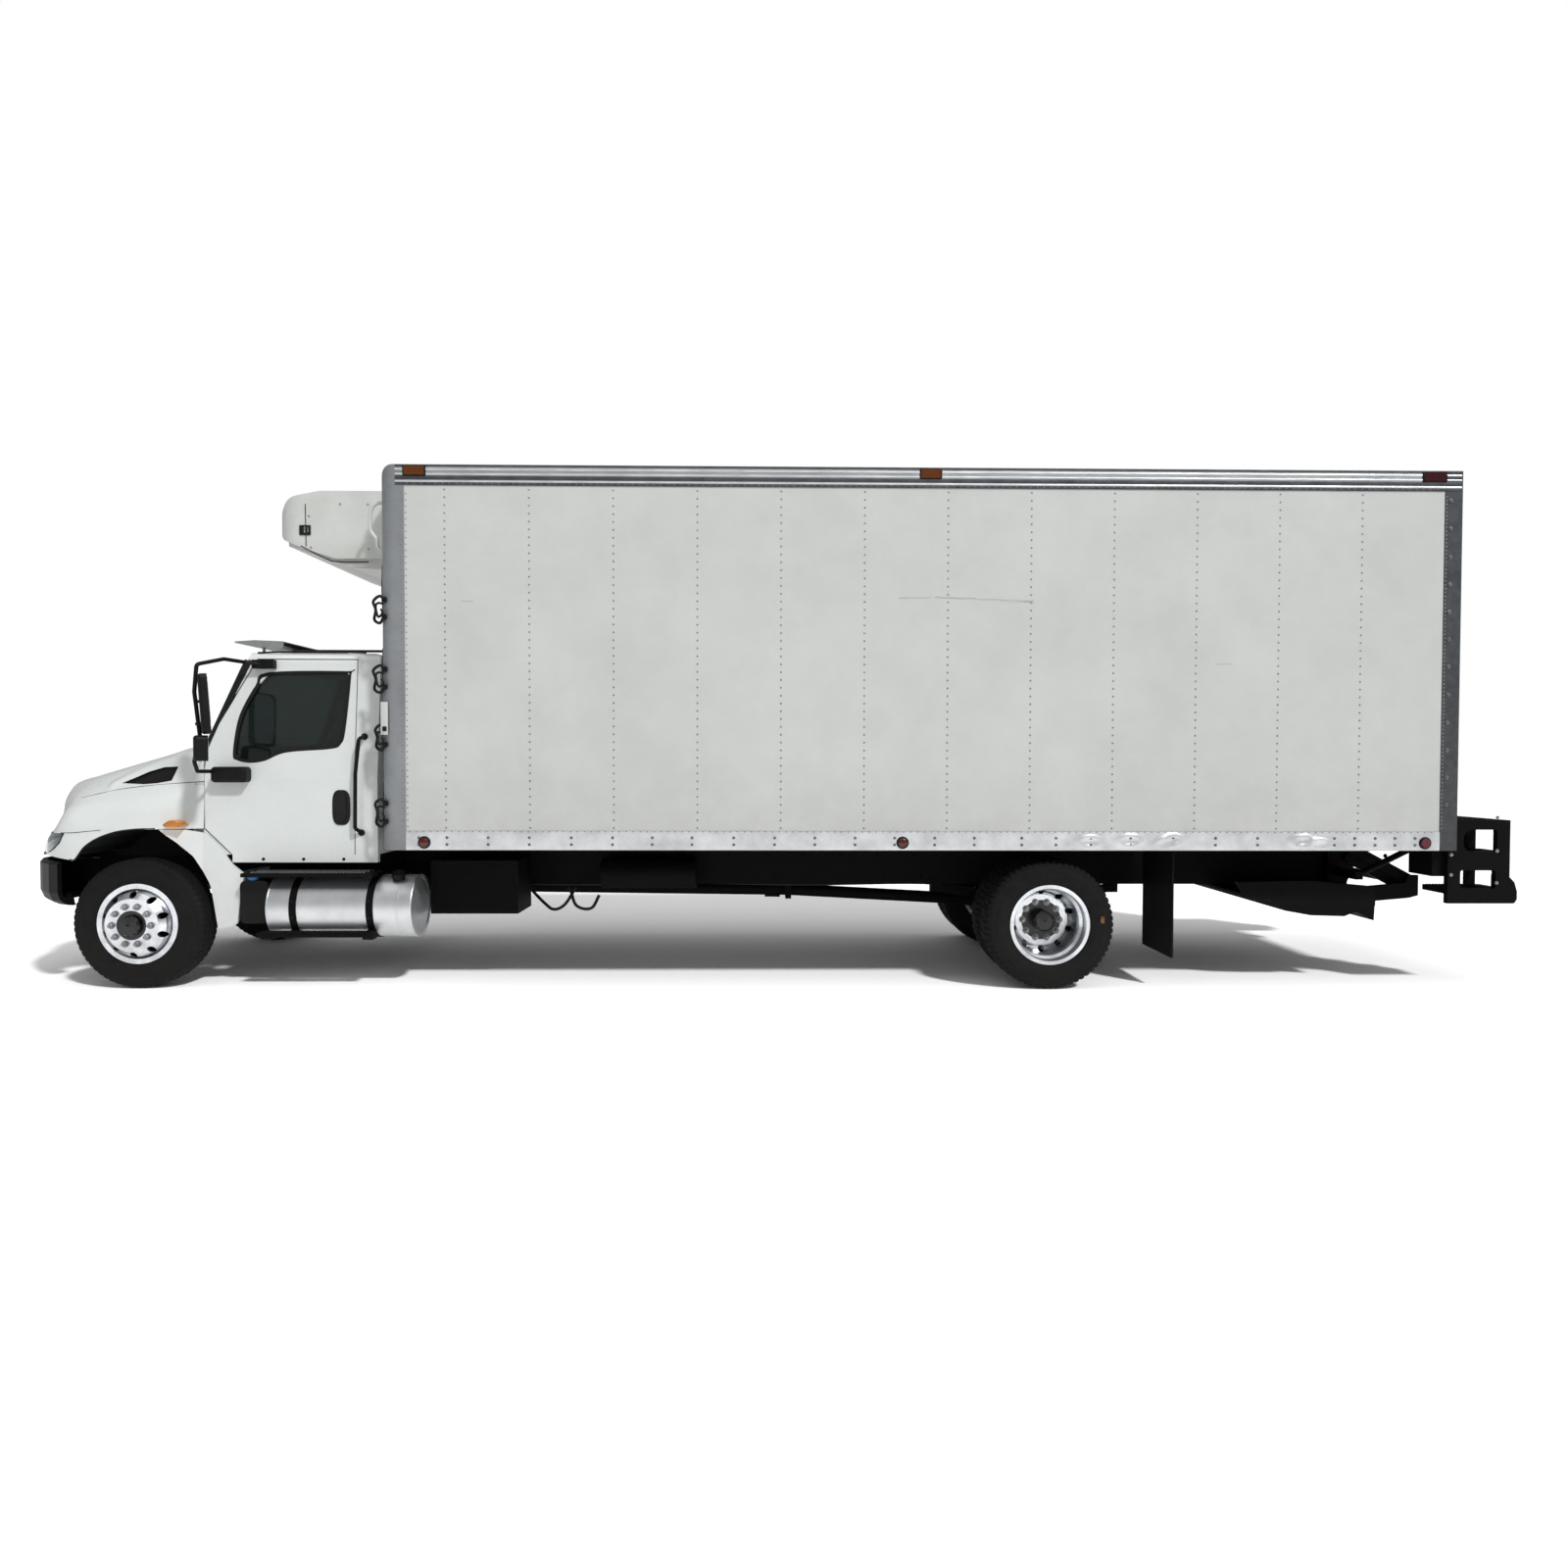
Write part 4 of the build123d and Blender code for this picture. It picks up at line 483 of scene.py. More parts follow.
# Extruded rubber seals and hoses: matt black, faintly chalky.
EPDM_RUBBER = Finish("seal_rubber_extruded", "flap_rubber", "#0D0D0E", "#161617", mottle_mm=160, grain_mm=2,
                     grain_depth_mm=0.1, roughness=(0.5, 0.7), specular=0.25, film="#3F3A33",
                     film_amount=0.25, film_low=200, film_top=1300)
# Bright worn aluminium of the outer rails: sharp streaked glints.
RAIL_METAL = Finish("rail_aluminium_worn", "box_alloy", "#DCDEDF", "#BFC2C4", mottle_mm=190, grain_mm=5,
                    grain_depth_mm=0.14, roughness=(0.28, 0.5), metallic=0.7, streak=(0.05, 1.0, 1.0),
                    film="#7C7A76", film_amount=0.22, film_low=900, film_top=1300,
                    wave_mm=160, wave_depth_mm=2.2)
# Aluminium beads in even dull dark grey: the dark bands along the top rail.
DARK_BEAD_ALLOY = Finish("bead_aluminium_oxidised", "box_alloy", "#4C4F52", "#36393B", mottle_mm=120,
                         grain_mm=4, grain_depth_mm=0.15, roughness=(0.45, 0.65), metallic=0.5,
                         streak=(0.06, 1.0, 1.0))
# Dulled bolt steel: mid grey heads that stand out on the bright rail.
BOLT_GREY = Finish("bolt_steel_dulled", "portal_steel", "#7D8083", "#5C5F62", mottle_mm=30, grain_mm=2,
                   grain_depth_mm=0.08, roughness=(0.35, 0.55), metallic=0.7, film="#4A4640",
                   film_amount=0.4, film_low=900, film_top=3800)
# Bare scraped sheet: a thin grey line on the white.
SCRAPE_GREY = Finish("sheet_scraped_bare", "box_alloy", "#A2A5A6", "#B4B6B7", mottle_mm=40, grain_mm=3,
                     grain_depth_mm=0.2, roughness=(0.45, 0.65), metallic=0.3)
# Vacuum-metallised reflector: mirror bright with faint flutes.
REFLECTOR = Finish("reflector_metallised", "polished_alloy", "#E6E8EA", "#D4D7DA", mottle_mm=60, grain_mm=6,
                   grain_depth_mm=0.25, roughness=(0.06, 0.14), metallic=1.0, streak=(1.0, 1.0, 0.1))
# Unpainted moulding seen from inside: dark fibreglass, painted near black as the shade inside the hood and
# its wheel arches.
LINING_IN_SHADE = Finish("hood_lining_unpainted", "black_plastic", "#0E0E0F", "#171717", mottle_mm=160, grain_mm=4,
                grain_depth_mm=0.4, roughness=(0.7, 0.9), specular=0.15, film="#2C2925",
                film_low=900, film_top=1700)
# Moulded lamp body: blue-grey to black, faintly metallic behind its lens.
LAMP_BODY = Finish("lamp_body_moulded", "black_plastic", "#3A4147", "#16181A", mottle_mm=42, grain_mm=4,
                   grain_depth_mm=0.2, roughness=(0.2, 0.4), metallic=0.4)
# Silvered float glass: shows what stands behind the truck.
MIRROR_SILVER = Finish("glass_silvered", "clear_glass", "#DDE2E4", "#D3D9DC", mottle_mm=300, grain_mm=30,
                       grain_depth_mm=0.01, roughness=(0.02, 0.05), metallic=1.0)
# Dyed polypropylene: the blue of a fluid tank's cap.
CAP_BLUE = Finish("cap_moulded_blue", "clear_glass", "#1F6FB4", "#195F9E", mottle_mm=60, grain_mm=2,
                  grain_depth_mm=0.1, roughness=(0.4, 0.55), film="#4B463F", film_low=300, film_top=900)
# Woven seat cloth, dark blue-grey, with a visible weave.
SEAT_CLOTH = Finish("seat_cloth_woven", "cab_trim", "#2A2D33", "#22252A", mottle_mm=90, grain_mm=1.6,
                    grain_depth_mm=0.5, roughness=(0.8, 0.95), specular=0.2)
# Dyed polycarbonate with fine ribs: an orange-brown that deepens with thickness.
AMBER_LENS = Lens("polycarbonate_amber_moulded", "amber_lens", "#E07A16", "#C8620E")
# The same moulding darkened by age: a dull red-brown on the box's side.
SIDE_LENS = Lens("polycarbonate_red_amber_aged", "amber_lens", "#A03C1C", "#7E2A16")
# Fresh orange polycarbonate: the bright spot on each fender.
FENDER_LENS = Lens("polycarbonate_orange_moulded", "amber_lens", "#F29A22", "#E08414")
# Red polycarbonate: deep red, nearly black where it is thick.
RED_LENS = Lens("polycarbonate_red_moulded", "red_lens", "#8E1220", "#6C0C18")
# Clear polycarbonate with wide, shallow flutes: the lamp's body shows through it.
CLEAR_LENS = Lens("polycarbonate_clear_moulded", "clear_glass", "#B4BCC0", "#9AA3A8", rib_mm=14,
                  rib_depth_mm=0.3, roughness=0.06)
# Tinted float glass: grey-green, so the cab shows dimly through it.
TINTED_GLASS = Lens("glass_float_tinted", "clear_glass", "#586461", "#505C59", rib_mm=900,
                    rib_depth_mm=0.0, roughness=0.02, transmission=0.95)

ALONG_X = (1.0, 0.0, 0.0)
ALONG_Y = (0.0, 1.0, 0.0)
ALONG_Z = (0.0, 0.0, 1.0)
RADIAL = (1.0, 0.0, 1.0)


def rim_finish(name: str, centre_x: float, side: int, inner_y: float) -> Finish:
    """Polished wheel with a black hub, and painted shade round the hub deep in the dish and on what lies
    behind its hand holes.

    Args:
        name: Name of the finish.
        centre_x: Axle's place.
        side: 1 on the left, -1 on the right.
        inner_y: Middle of the band of painted shade behind the disc.

    Returns:
        The wheel's finish.
    """
    centre = (centre_x * MM, 0.0, WHEEL_Z * MM)
    hub = Zone(((RADIAL, centre, 0.109),))
    # Painted shade: near black on what shows through the hand holes, and round the hub where the disc sits
    # deep in the dish.
    behind = Zone(((RADIAL, centre, 0.262), (ALONG_Y, (0.0, side * inner_y * MM, 0.0), 0.088)))
    body = Zone(((RADIAL, centre, 0.152), (ALONG_Y, (0.0, side * (inner_y + 125) * MM, 0.0), 0.068)))
    return replace(POLISHED_FORGING, name=name, zones=(hub, behind, body))


# Rails are bright outside; the beams and sills between them are near black, painted shade under the box.
RAIL_AND_SHADED_BEAMS = replace(MILL_ALUMINIUM, name="mill_aluminium_over_painted_beams",
                         zones=(Zone(((ALONG_Y, (0.0, 0.0, 0.0), 1.279),)),))
# The front wall's flat part is white prepainted sheet between its grey corners.
FRONT_WALL = replace(CORNER_ALUMINIUM, name="prepainted_front_wall_with_corners",
                     zones=(Zone(((ALONG_Y, (0.0, 0.0, 0.0), 1.16),)),), zone_colour="#C9CBCA")
# Enamelled cab shell, lined inside with dark grey trim.
CAB_LINED = replace(CAB_ENAMEL, name="cab_enamel_lined_inside", zone_colour="#37393B",
                    zones=(Zone(((ALONG_Y, (0.0, 0.0, 0.0), 0.925), (ALONG_Z, (0.0, 0.0, 1.74), 0.715),
                                 (ALONG_X, (3.6, 0.0, 0.0), 0.62))),))
DOOR_LINED = replace(CAB_ENAMEL, name="door_enamel_lined_inside", zone_colour="#37393B",
                     zones=(Zone(((ALONG_Y, (0.0, 0.0, 0.0), 0.99), (ALONG_Z, (0.0, 0.0, 1.34), 0.42))),
                            Zone(((ALONG_Y, (0.0, 0.0, 0.0), 0.918), (ALONG_Z, (0.0, 0.0, 1.9), 0.8)))))

# The deflector's base and stays are black below its grey plate.
DEFLECTOR = replace(MOULDED_GREY, name="abs_deflector_on_black_base", zone_colour="#0B0B0C",
                    zones=(Zone(((ALONG_X, (3.3, 0.0, 0.0), 0.575),)),))

NODE_FINISH = {
    "cab_shell": CAB_LINED, "door_left": DOOR_LINED, "door_right": DOOR_LINED,
    "hood_shell": CAB_ENAMEL, "fender_skirts": CAB_ENAMEL, "reefer_shell": GELCOAT,
    "box_sides": PREPAINTED_SHEET, "roll_door": PREPAINTED_SHEET, "box_roof": MILL_ALUMINIUM,
    "box_front_wall": FRONT_WALL, "box_floor": RAIL_AND_SHADED_BEAMS, "rear_portal": GALVANISED,
    "rim_front_left": rim_finish("forged_aluminium_front_left", FRONT_AXLE_X, 1, 992),
    "rim_front_right": rim_finish("forged_aluminium_front_right", FRONT_AXLE_X, -1, 992),
    "rims_rear_left": rim_finish("forged_aluminium_rear_left", REAR_AXLE_X, 1, 790),
    "rims_rear_right": rim_finish("forged_aluminium_rear_right", REAR_AXLE_X, -1, 790),
    "fuel_tank": BRUSHED_TANK, "engine_block": ENGINE_IRON,
    "front_bumper": MOULDED_BLACK, "mirror_left": MOULDED_BLACK, "mirror_right": MOULDED_BLACK,
    "grab_handles": MOULDED_BLACK, "wheel_well_liners": MOULDED_BLACK,
    "hood_vents": MOULDED_BLACK, "grille": MOULDED_BLACK, "reefer_grille": MOULDED_BLACK,
    "fluid_tank": MOULDED_BLACK, "cab_interior": CAB_VINYL, "cab_glass": TINTED_GLASS,
    "door_glass_left": TINTED_GLASS, "door_glass_right": TINTED_GLASS, "headlamps": CLEAR_LENS,
    "marker_lamps_amber": AMBER_LENS, "fender_lamps": FENDER_LENS, "marker_lamps_red": RED_LENS,
    "roof_deflector": DEFLECTOR, "evaporator": MOULDED_GREY, "mudflaps": FLAP_COMPOUND,
}


# ---------------------------------------------------------------- mesh code
def between(a: Vector, b: Vector, c: Vector, d: Vector, t: float) -> Vector:
    """Point of a smooth curve between b and c, with a and d as their neighbours.

    Args:
        a: Point before b.
        b: Where t is 0.
        c: Where t is 1.
        d: Point after c.
        t: Share of the way from b to c.

    Returns:
        The curve's point.
    """
    return 0.5 * (2 * b + (c - a) * t + (2 * a - 5 * b + 4 * c - d) * t * t
                  + (3 * b - a - 3 * c + d) * t ** 3)


def smooth_line(points: list, steps: int = 6) -> list[Vector]:
    """Run a smooth line through points.

    Args:
        points: Points in order.
        steps: Steps on each run; 1 keeps the runs straight.

    Returns:
        The line's points.
    """
    knots = [Vector(p) for p in points]
    padded = [knots[0] * 2 - knots[1]] + knots + [knots[-1] * 2 - knots[-2]]
    runs = zip(padded, padded[1:], padded[2:], padded[3:])
    return [between(*run, step / steps) for run in runs for step in range(steps)] + [knots[-1]]


def smooth_loop(points: list, steps: int = 6) -> list[Vector]:
    """Run a smooth closed line through points.

    Args:
        points: Points in order round the loop.
        steps: Steps on each run.

    Returns:
        The loop's points.
    """
    knots = [Vector(p) for p in points]
    runs = [[knots[(i + k) % len(knots)] for k in (-1, 0, 1, 2)] for i in range(len(knots))]
    return [between(*run, step / steps) for run in runs for step in range(steps)]


def oval(centre: tuple[float, float], half: tuple[float, float], power: tuple[float, float],
         steps: int = 40) -> list[tuple[float, float]]:
    """Outline between an ellipse and a rectangle.

    Args:
        centre: Its middle.
        half: Half its two sizes.
        power: 1 for an ellipse, and less for squarer corners.
        steps: Number of points.

    Returns:
        The outline's points.
    """
    points = []
    for step in range(steps):
        turn = math.tau * step / steps
        c, s = math.cos(turn), math.sin(turn)
        points.append((centre[0] + half[0] * math.copysign(abs(c) ** power[0], c),
                       centre[1] + half[1] * math.copysign(abs(s) ** power[1], s)))
    return points


class Sculpt:
    """Mesh of one piece, collected in millimetres in the truck's frame."""

    def __init__(self) -> None:
        """Start with an empty mesh."""
        self.mesh = bmesh.new()

    def skin(self, rings: list[list[Vector]], wrap: bool = True, loop: bool = False,
             caps: bool = True) -> None:
        """Cover rings of equal length with quads.

        Args:
            rings: Rings of points, in order.
            wrap: Whether each ring's last point joins its first.
            loop: Whether the last ring joins the first.
            caps: Whether flat faces close the two end rings.
        """
        made = [[self.mesh.verts.new(p) for p in ring] for ring in rings]
        count = len(made[0])
        turns = count if wrap else count - 1
        pairs = list(zip(made, made[1:])) + ([(made[-1], made[0])] if loop else [])
        for one, two in pairs:
            for i in range(turns):
                j = (i + 1) % count
                self.mesh.faces.new((one[i], one[j], two[j], two[i]))
        if caps and not loop and wrap:
            self.mesh.faces.new(list(reversed(made[0])))
            self.mesh.faces.new(made[-1])

    def lathe(self, profile: list[tuple[float, float]], centre: Vector, axis: Vector,
              steps: int = 32, closed: bool = False) -> None:
        """Turn a profile of (radius, along) points about an axis through centre.

        Args:
            profile: Radius and distance along the axis, in order.
            centre: Where the axis's zero is.
            axis: Direction of the axis.
            steps: Points round each ring.
            closed: Whether the profile is a closed loop, as for a tyre.
        """
        across = axis.orthogonal().normalized()
        other = axis.normalized().cross(across)
        rings = []
        for radius, along in profile:
            ring = []
            for step in range(steps):
                turn = math.tau * step / steps
                ring.append(centre + axis.normalized() * along
                            + (across * math.cos(turn) + other * math.sin(turn)) * max(radius, 0.01))
            rings.append(ring)
        self.skin(rings, loop=closed)

    def slab(self, low: tuple, high: tuple, bevel: float = 0.0, segments: int = 2) -> None:
        """Add a box between two corners with its edges rounded.

        Args:
            low: Lowest corner.
            high: Highest corner.
            bevel: Radius of the edges.
            segments: Faces across each rounded edge.
        """
        made = bmesh.ops.create_cube(self.mesh, size=1.0)["verts"]
        low_v, high_v = Vector(low), Vector(high)
        for vert in made:
            vert.co = Vector([low_v[i] if vert.co[i] < 0 else high_v[i] for i in range(3)])
        if bevel:
            edges = list({edge for vert in made for edge in vert.link_edges})
            bmesh.ops.bevel(self.mesh, geom=edges, offset=bevel, segments=segments, profile=0.5,
                            affect="EDGES", clamp_overlap=True)

    def prism(self, axis: Axis, outline: list[tuple[float, float]], low: float, high: float,
              bevel: float = 0.0) -> None:
        """Carry a flat outline along an axis.

        Args:
            axis: Axis that it runs along.
            outline: Points on the two axes that follow it.
            low: Where it starts.
            high: Where it ends.
            bevel: Width of the chamfer on its two end faces.
        """
        if bevel:
            middle = [sum(p[i] for p in outline) / len(outline) for i in (0, 1)]
            inner = []
            for first, second in outline:
                away = Vector((first - middle[0], second - middle[1]))
                drawn = away * (1 - bevel / max(away.length, bevel * 1.5))
                inner.append((middle[0] + drawn.x, middle[1] + drawn.y))
            levels = [(low, inner), (low + bevel, outline), (high - bevel, outline), (high, inner)]
        else:
            levels = [(low, outline), (high, outline)]
        self.skin([[axis.place(along, *p) for p in points] for along, points in levels])

    def hose(self, points: list[tuple], radius: float, sides: int = 12, smooth: int = 6) -> None:
        """Sweep a round section along a smooth line through points.

        Args:
            points: Points that the line goes through.
            radius: Radius of the section.
            sides: Points round the section.
            smooth: Steps on each run between points; 1 keeps straight runs.
        """
        line = smooth_line(points, smooth)
        normal = (line[1] - line[0]).orthogonal().normalized()
        rings = []
        for i, point in enumerate(line):
            run = (line[min(i + 1, len(line) - 1)] - line[max(i - 1, 0)]).normalized()
            normal = (normal - run * normal.dot(run)).normalized()
            other = run.cross(normal)
            rings.append([point + (normal * math.cos(math.tau * s / sides)
                                   + other * math.sin(math.tau * s / sides)) * radius
                          for s in range(sides)])
        self.skin(rings)

    def rivet(self, centre: tuple, normal: Vector, radius: float, height: float) -> None:
        """Add a domed rivet head whose base lies on a surface.

        Args:
            centre: Middle of its base.
            normal: Direction that it faces.
            radius: Radius of the head.
            height: Height of the head.
        """
        self.lathe([(radius, -0.5), (radius * 0.94, height * 0.35), (radius * 0.6, height * 0.85),
                    (0.0, height)], Vector(centre), normal, steps=8)

    def bolt(self, centre: tuple, normal: Vector, across: float, height: float) -> None:
        """Add a hexagon head on a washer.

        Args:
            centre: Middle of the washer's base.
            normal: Direction that it faces.
            across: Width over the flats.
            height: Height of washer and head.
        """
        place = Vector(centre)
        self.lathe([(across * 0.78, 0), (across * 0.78, height * 0.18)], place, normal, steps=16)
        self.lathe([(across * 0.577, height * 0.18), (across * 0.577, height * 0.9),
                    (across * 0.5, height)], place, normal, steps=6)

    def join(self, other: Sculpt) -> None:
        """Add another mesh to this one, and drop it.

        Args:
            other: The mesh to add.
        """
        data = bpy.data.meshes.new("joined")
        other.mesh.to_mesh(data)
        other.mesh.free()
        self.mesh.from_mesh(data)
        bpy.data.meshes.remove(data)

    def carved(self, tool: Sculpt, operation: str) -> Sculpt:
        """Cut this mesh with another.

        Args:
            tool: The cutting mesh.
            operation: "DIFFERENCE" or "INTERSECT".

        Returns:
            What is left of this mesh.
        """
        objects = []
        for sculpt, name in ((self, "blank"), (tool, "tool")):
            bmesh.ops.recalc_face_normals(sculpt.mesh, faces=sculpt.mesh.faces)
            data = bpy.data.meshes.new(name)
            sculpt.mesh.to_mesh(data)
            made = bpy.data.objects.new(name, data)
            bpy.context.scene.collection.objects.link(made)
            objects.append(made)
        blank, cutter = objects
        cut = blank.modifiers.new("cut", "BOOLEAN")
        cut.operation, cut.solver, cut.object = operation, "EXACT", cutter
        data = bpy.data.meshes.new_from_object(blank.evaluated_get(bpy.context.evaluated_depsgraph_get()))
        left = Sculpt()
        left.mesh.from_mesh(data)
        bpy.data.meshes.remove(data)
        for made in objects:
            old = made.data
            bpy.data.objects.remove(made)
            bpy.data.meshes.remove(old)
        self.mesh.free()
        return left

    def mirror(self) -> None:
        """Add the mirror image on the other side of the truck."""
        copied = bmesh.ops.duplicate(self.mesh, geom=list(self.mesh.verts) + list(self.mesh.edges)
                                     + list(self.mesh.faces))["geom"]
        for item in copied:
            if isinstance(item, bmesh.types.BMVert):
                item.co.y = -item.co.y

    def flip(self) -> None:
        """Move the mesh to the other side of the truck."""
        for vert in self.mesh.verts:
            vert.co.y = -vert.co.y

    def pair(self, name: str, finish: Finish | Lens, body: str = "chassis") -> None:
        """Turn the mesh and its mirror image into one piece.

        Args:
            name: The piece's name.
            finish: Its surface.
            body: Name of the body that carries it.
        """
        self.mirror()
        self.piece(name, finish, body)

    def piece(self, name: str, finish: Finish | Lens, body: str,
              smooth_deg: float = 38.0) -> bpy.types.Object:
        """Turn the mesh into a piece that rides on a body.

        Args:
            name: The piece's name.
            finish: Its surface.
            body: Name of the body that carries it.
            smooth_deg: Largest angle between faces that are shaded as one surface.

        Returns:
            The new object.
        """
        bmesh.ops.recalc_face_normals(self.mesh, faces=self.mesh.faces)
        bmesh.ops.scale(self.mesh, vec=(MM, MM, MM), verts=self.mesh.verts)
        data = bpy.data.meshes.new(name)
        self.mesh.to_mesh(data)
        self.mesh.free()
        data.shade_smooth()
        data.set_sharp_from_angle(angle=math.radians(smooth_deg))
        data.materials.append(finish.build())
        made = bpy.data.objects.new(name, data)
        bpy.context.scene.collection.objects.link(made)
        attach(made, body)
        log.info("%s: %d faces on %s", name, len(data.polygons), body)
        return made


# ---------------------------------------------------------------- wheels
class Tread(Enum):
    """Patterns cut in the crown of a tyre."""

    RIB = "rib"
    BLOCK = "block"


@dataclass
class Tyre:
    """One tyre with its grooves, sipes and side wall rings."""

    centre_x: float
    side: Side
    plane: float
    tread: Tread
    outer: float = 484.0
    half: float = 132.0
    bead: float = 286.0
    lugs: int = 62
    steps_per_lug: int = 4
    groove_width: float = 9.0
    groove_depth: float = 13.0
    grooves: tuple[float, ...] = (-63.0, -22.0, 22.0, 63.0)

    def wall(self) -> list[tuple[float, float]]:
        """Outer side wall from the bead to the shoulder.

        Returns:
            Its points, as (radius, outward).
        """
        h = self.half
        return [
            (self.bead, 97), (300, 103), (303, 112), (309, 119), (318, 123), (324, 121.5), (330, 124),
            (352, h - 3), (372, h), (392, h), (395, h + 1.6), (399, h + 1.6), (402, h - 0.5),
            (422, h - 3), (438, h - 7), (440, h - 5.5), (446, h - 6.5), (448, h - 10), (462, h - 16),
            (473, h - 25), (479, h - 33),
        ]

    def crown(self) -> list[tuple[float, float]]:
        """Crown from the outer shoulder to the inner one.

        Returns:
            Its points, as (radius, outward).
        """
        points = []
        edge = self.half - 38
        for groove in reversed(self.grooves):
            top = self.outer - 3.5 * (groove / edge) ** 2
            low = top - self.groove_depth
            w = self.groove_width / 2
            points += [(top, groove + w + 1), (low, groove + w - 1.5), (low, groove - w + 1.5),
                       (top, groove - w - 1)]
        return [(self.outer - 3.5, edge)] + points + [(self.outer - 3.5, -edge)]

    def depth(self, outward: float, radius: float, step: int) -> float:
        """How far a sipe or notch lowers the crown at one place round the tyre.

        Args:
            outward: Distance from the tyre's middle plane.
            radius: Distance from the axle.
            step: Number of the step round the tyre.

        Returns:
            Depth of the cut.
        """
        if radius < self.outer - 30:
            return 0.0
        in_lug = step % self.steps_per_lug
        lug = step // self.steps_per_lug
        at_edge = abs(outward) > 64
        if self.tread is Tread.BLOCK:
            cut = in_lug == (0 if at_edge or lug % 2 else 2)
            return (11.0 if at_edge else 8.0) if cut else 0.0
        return (6.0 if at_edge else 2.5) if in_lug == 0 else 0.0

    def build(self, sculpt: Sculpt) -> None:
        """Add this tyre's mesh to a piece.

        Args:
            sculpt: The piece.
        """
        wall = self.wall()
        profile = wall + self.crown() + [(r, -y) for r, y in reversed(wall)]
        total = self.lugs * self.steps_per_lug
        rings = []
        for step in range(total):
            turn = math.tau * step / total
            ring = []
            for radius, outward in profile:
                cut = self.depth(outward, radius, step)
                if 438 <= radius <= 448 and step % 2:
                    outward -= math.copysign(1.2, outward)
                place = radius - cut
                ring.append(Vector((self.centre_x + place * math.sin(turn),
                                    self.side.value * (self.plane + outward),
                                    WHEEL_Z + place * math.cos(turn))))
            rings.append(ring)
        sculpt.skin(rings, loop=True)


@dataclass
class Wheels:
    """Tyres, wheel nuts, caps and valves on every wheel."""

    stud_circle: float = 142.9
    studs: int = 10
    front_face: float = 190.0
    rear_face: float = 949.0
    nut_across: float = 33.0
    drum_y: float = 1120.0

    def nuts(self, sculpt: Sculpt, centre_x: float, side: Side, face: float) -> None:
        """Add a ring of flange nuts with their studs on a disc's face.

        Args:
            sculpt: Piece that takes them.
            centre_x: The axle's place.
            side: Side of the truck.
            face: Distance of the disc's face from the centre plane.
        """
        out = Vector((0, side.value, 0))
        for index in range(self.studs):
            turn = math.tau * (index + 0.5) / self.studs
            x = centre_x + self.stud_circle * math.sin(turn)
            z = WHEEL_Z + self.stud_circle * math.cos(turn)
            at = (x, side.value * face, z)
            sculpt.bolt(at, out, self.nut_across, 27)
            sculpt.lathe([(11, 20), (11, 40), (9, 42)], Vector(at), out, steps=10)

    def valves(self) -> None:
        """Valve stems, and the orange wear tag on the left rear tyre."""
        places = ((FRONT_AXLE_X, 1150, 226, "wheel_front"), (REAR_AXLE_X, 1010, 232, "wheels_rear"))
        for side in Side:
            for axle, y, radius, body in places:
                stem = Sculpt()
                x, z = axle + radius * 0.5, WHEEL_Z - radius * 0.866
                stem.hose([(x, side.value * (y + out), z + rise) for out, rise in ((0, 0), (34, 0), (68, 8))],
                          5, 10)
                stem.lathe([(6.5, 0), (6.5, 14), (5, 17)], Vector((x, side.value * (y + 62), z + 6)),
                           Vector((0, side.value, 0.1)), 12)
                stem.piece(f"{body}_valve_{side.word}", ZINC_FASTENER, f"{body}_{side.word}")
        tag = Sculpt()
        tag.slab((REAR_AXLE_X - 402, REAR_OUTER_PLANE + 128, 500),
                 (REAR_AXLE_X - 372, REAR_OUTER_PLANE + 137, 552), 3)
        tag.piece("tyre_tag", FENDER_LENS, "wheels_rear_left")

    def build(self) -> None:
        """Make the tyres and fasteners on each side."""
        self.valves()
        for side in Side:
            front_body, rear_body = f"wheel_front_{side.word}", f"wheels_rear_{side.word}"
            tyre = Sculpt()
            Tyre(FRONT_AXLE_X, side, FRONT_PLANE, Tread.RIB).build(tyre)
            piece = tyre.piece(f"tyre_ribbed_front_{side.word}", TYRE_COMPOUND, front_body, 28)
            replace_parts(piece, f"tyre_front_{side.word}")
            tyres = Sculpt()
            for plane in (REAR_OUTER_PLANE, REAR_INNER_PLANE):
                Tyre(REAR_AXLE_X, side, plane, Tread.BLOCK).build(tyres)
            piece = tyres.piece(f"tyres_block_rear_{side.word}", TYRE_COMPOUND, rear_body, 28)
            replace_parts(piece, f"tyres_rear_{side.word}")
            nuts = Sculpt()
            self.nuts(nuts, FRONT_AXLE_X, side, FRONT_PLANE + self.front_face)
            nuts.piece(f"wheel_nuts_front_{side.word}", ZINC_FASTENER, front_body)
            # Thin black disc where the brake drum sits: near black as painted shade behind the hand holes.
            drum = Sculpt()
            drum.lathe([(112, -8), (226, -8), (238, -2), (238, 12), (224, 14), (218, 2), (112, 0)],
                       Vector((FRONT_AXLE_X, side.value * self.drum_y, WHEEL_Z)), OUTWARD * side.value, 40,
                       closed=True)
            drum.piece(f"brake_drum_front_{side.word}", SHADED_CHASSIS_BLACK, front_body)
            nuts = Sculpt()
            self.nuts(nuts, REAR_AXLE_X, side, self.rear_face)
            nuts.piece(f"wheel_nuts_rear_{side.word}", ZINC_FASTENER, rear_body)


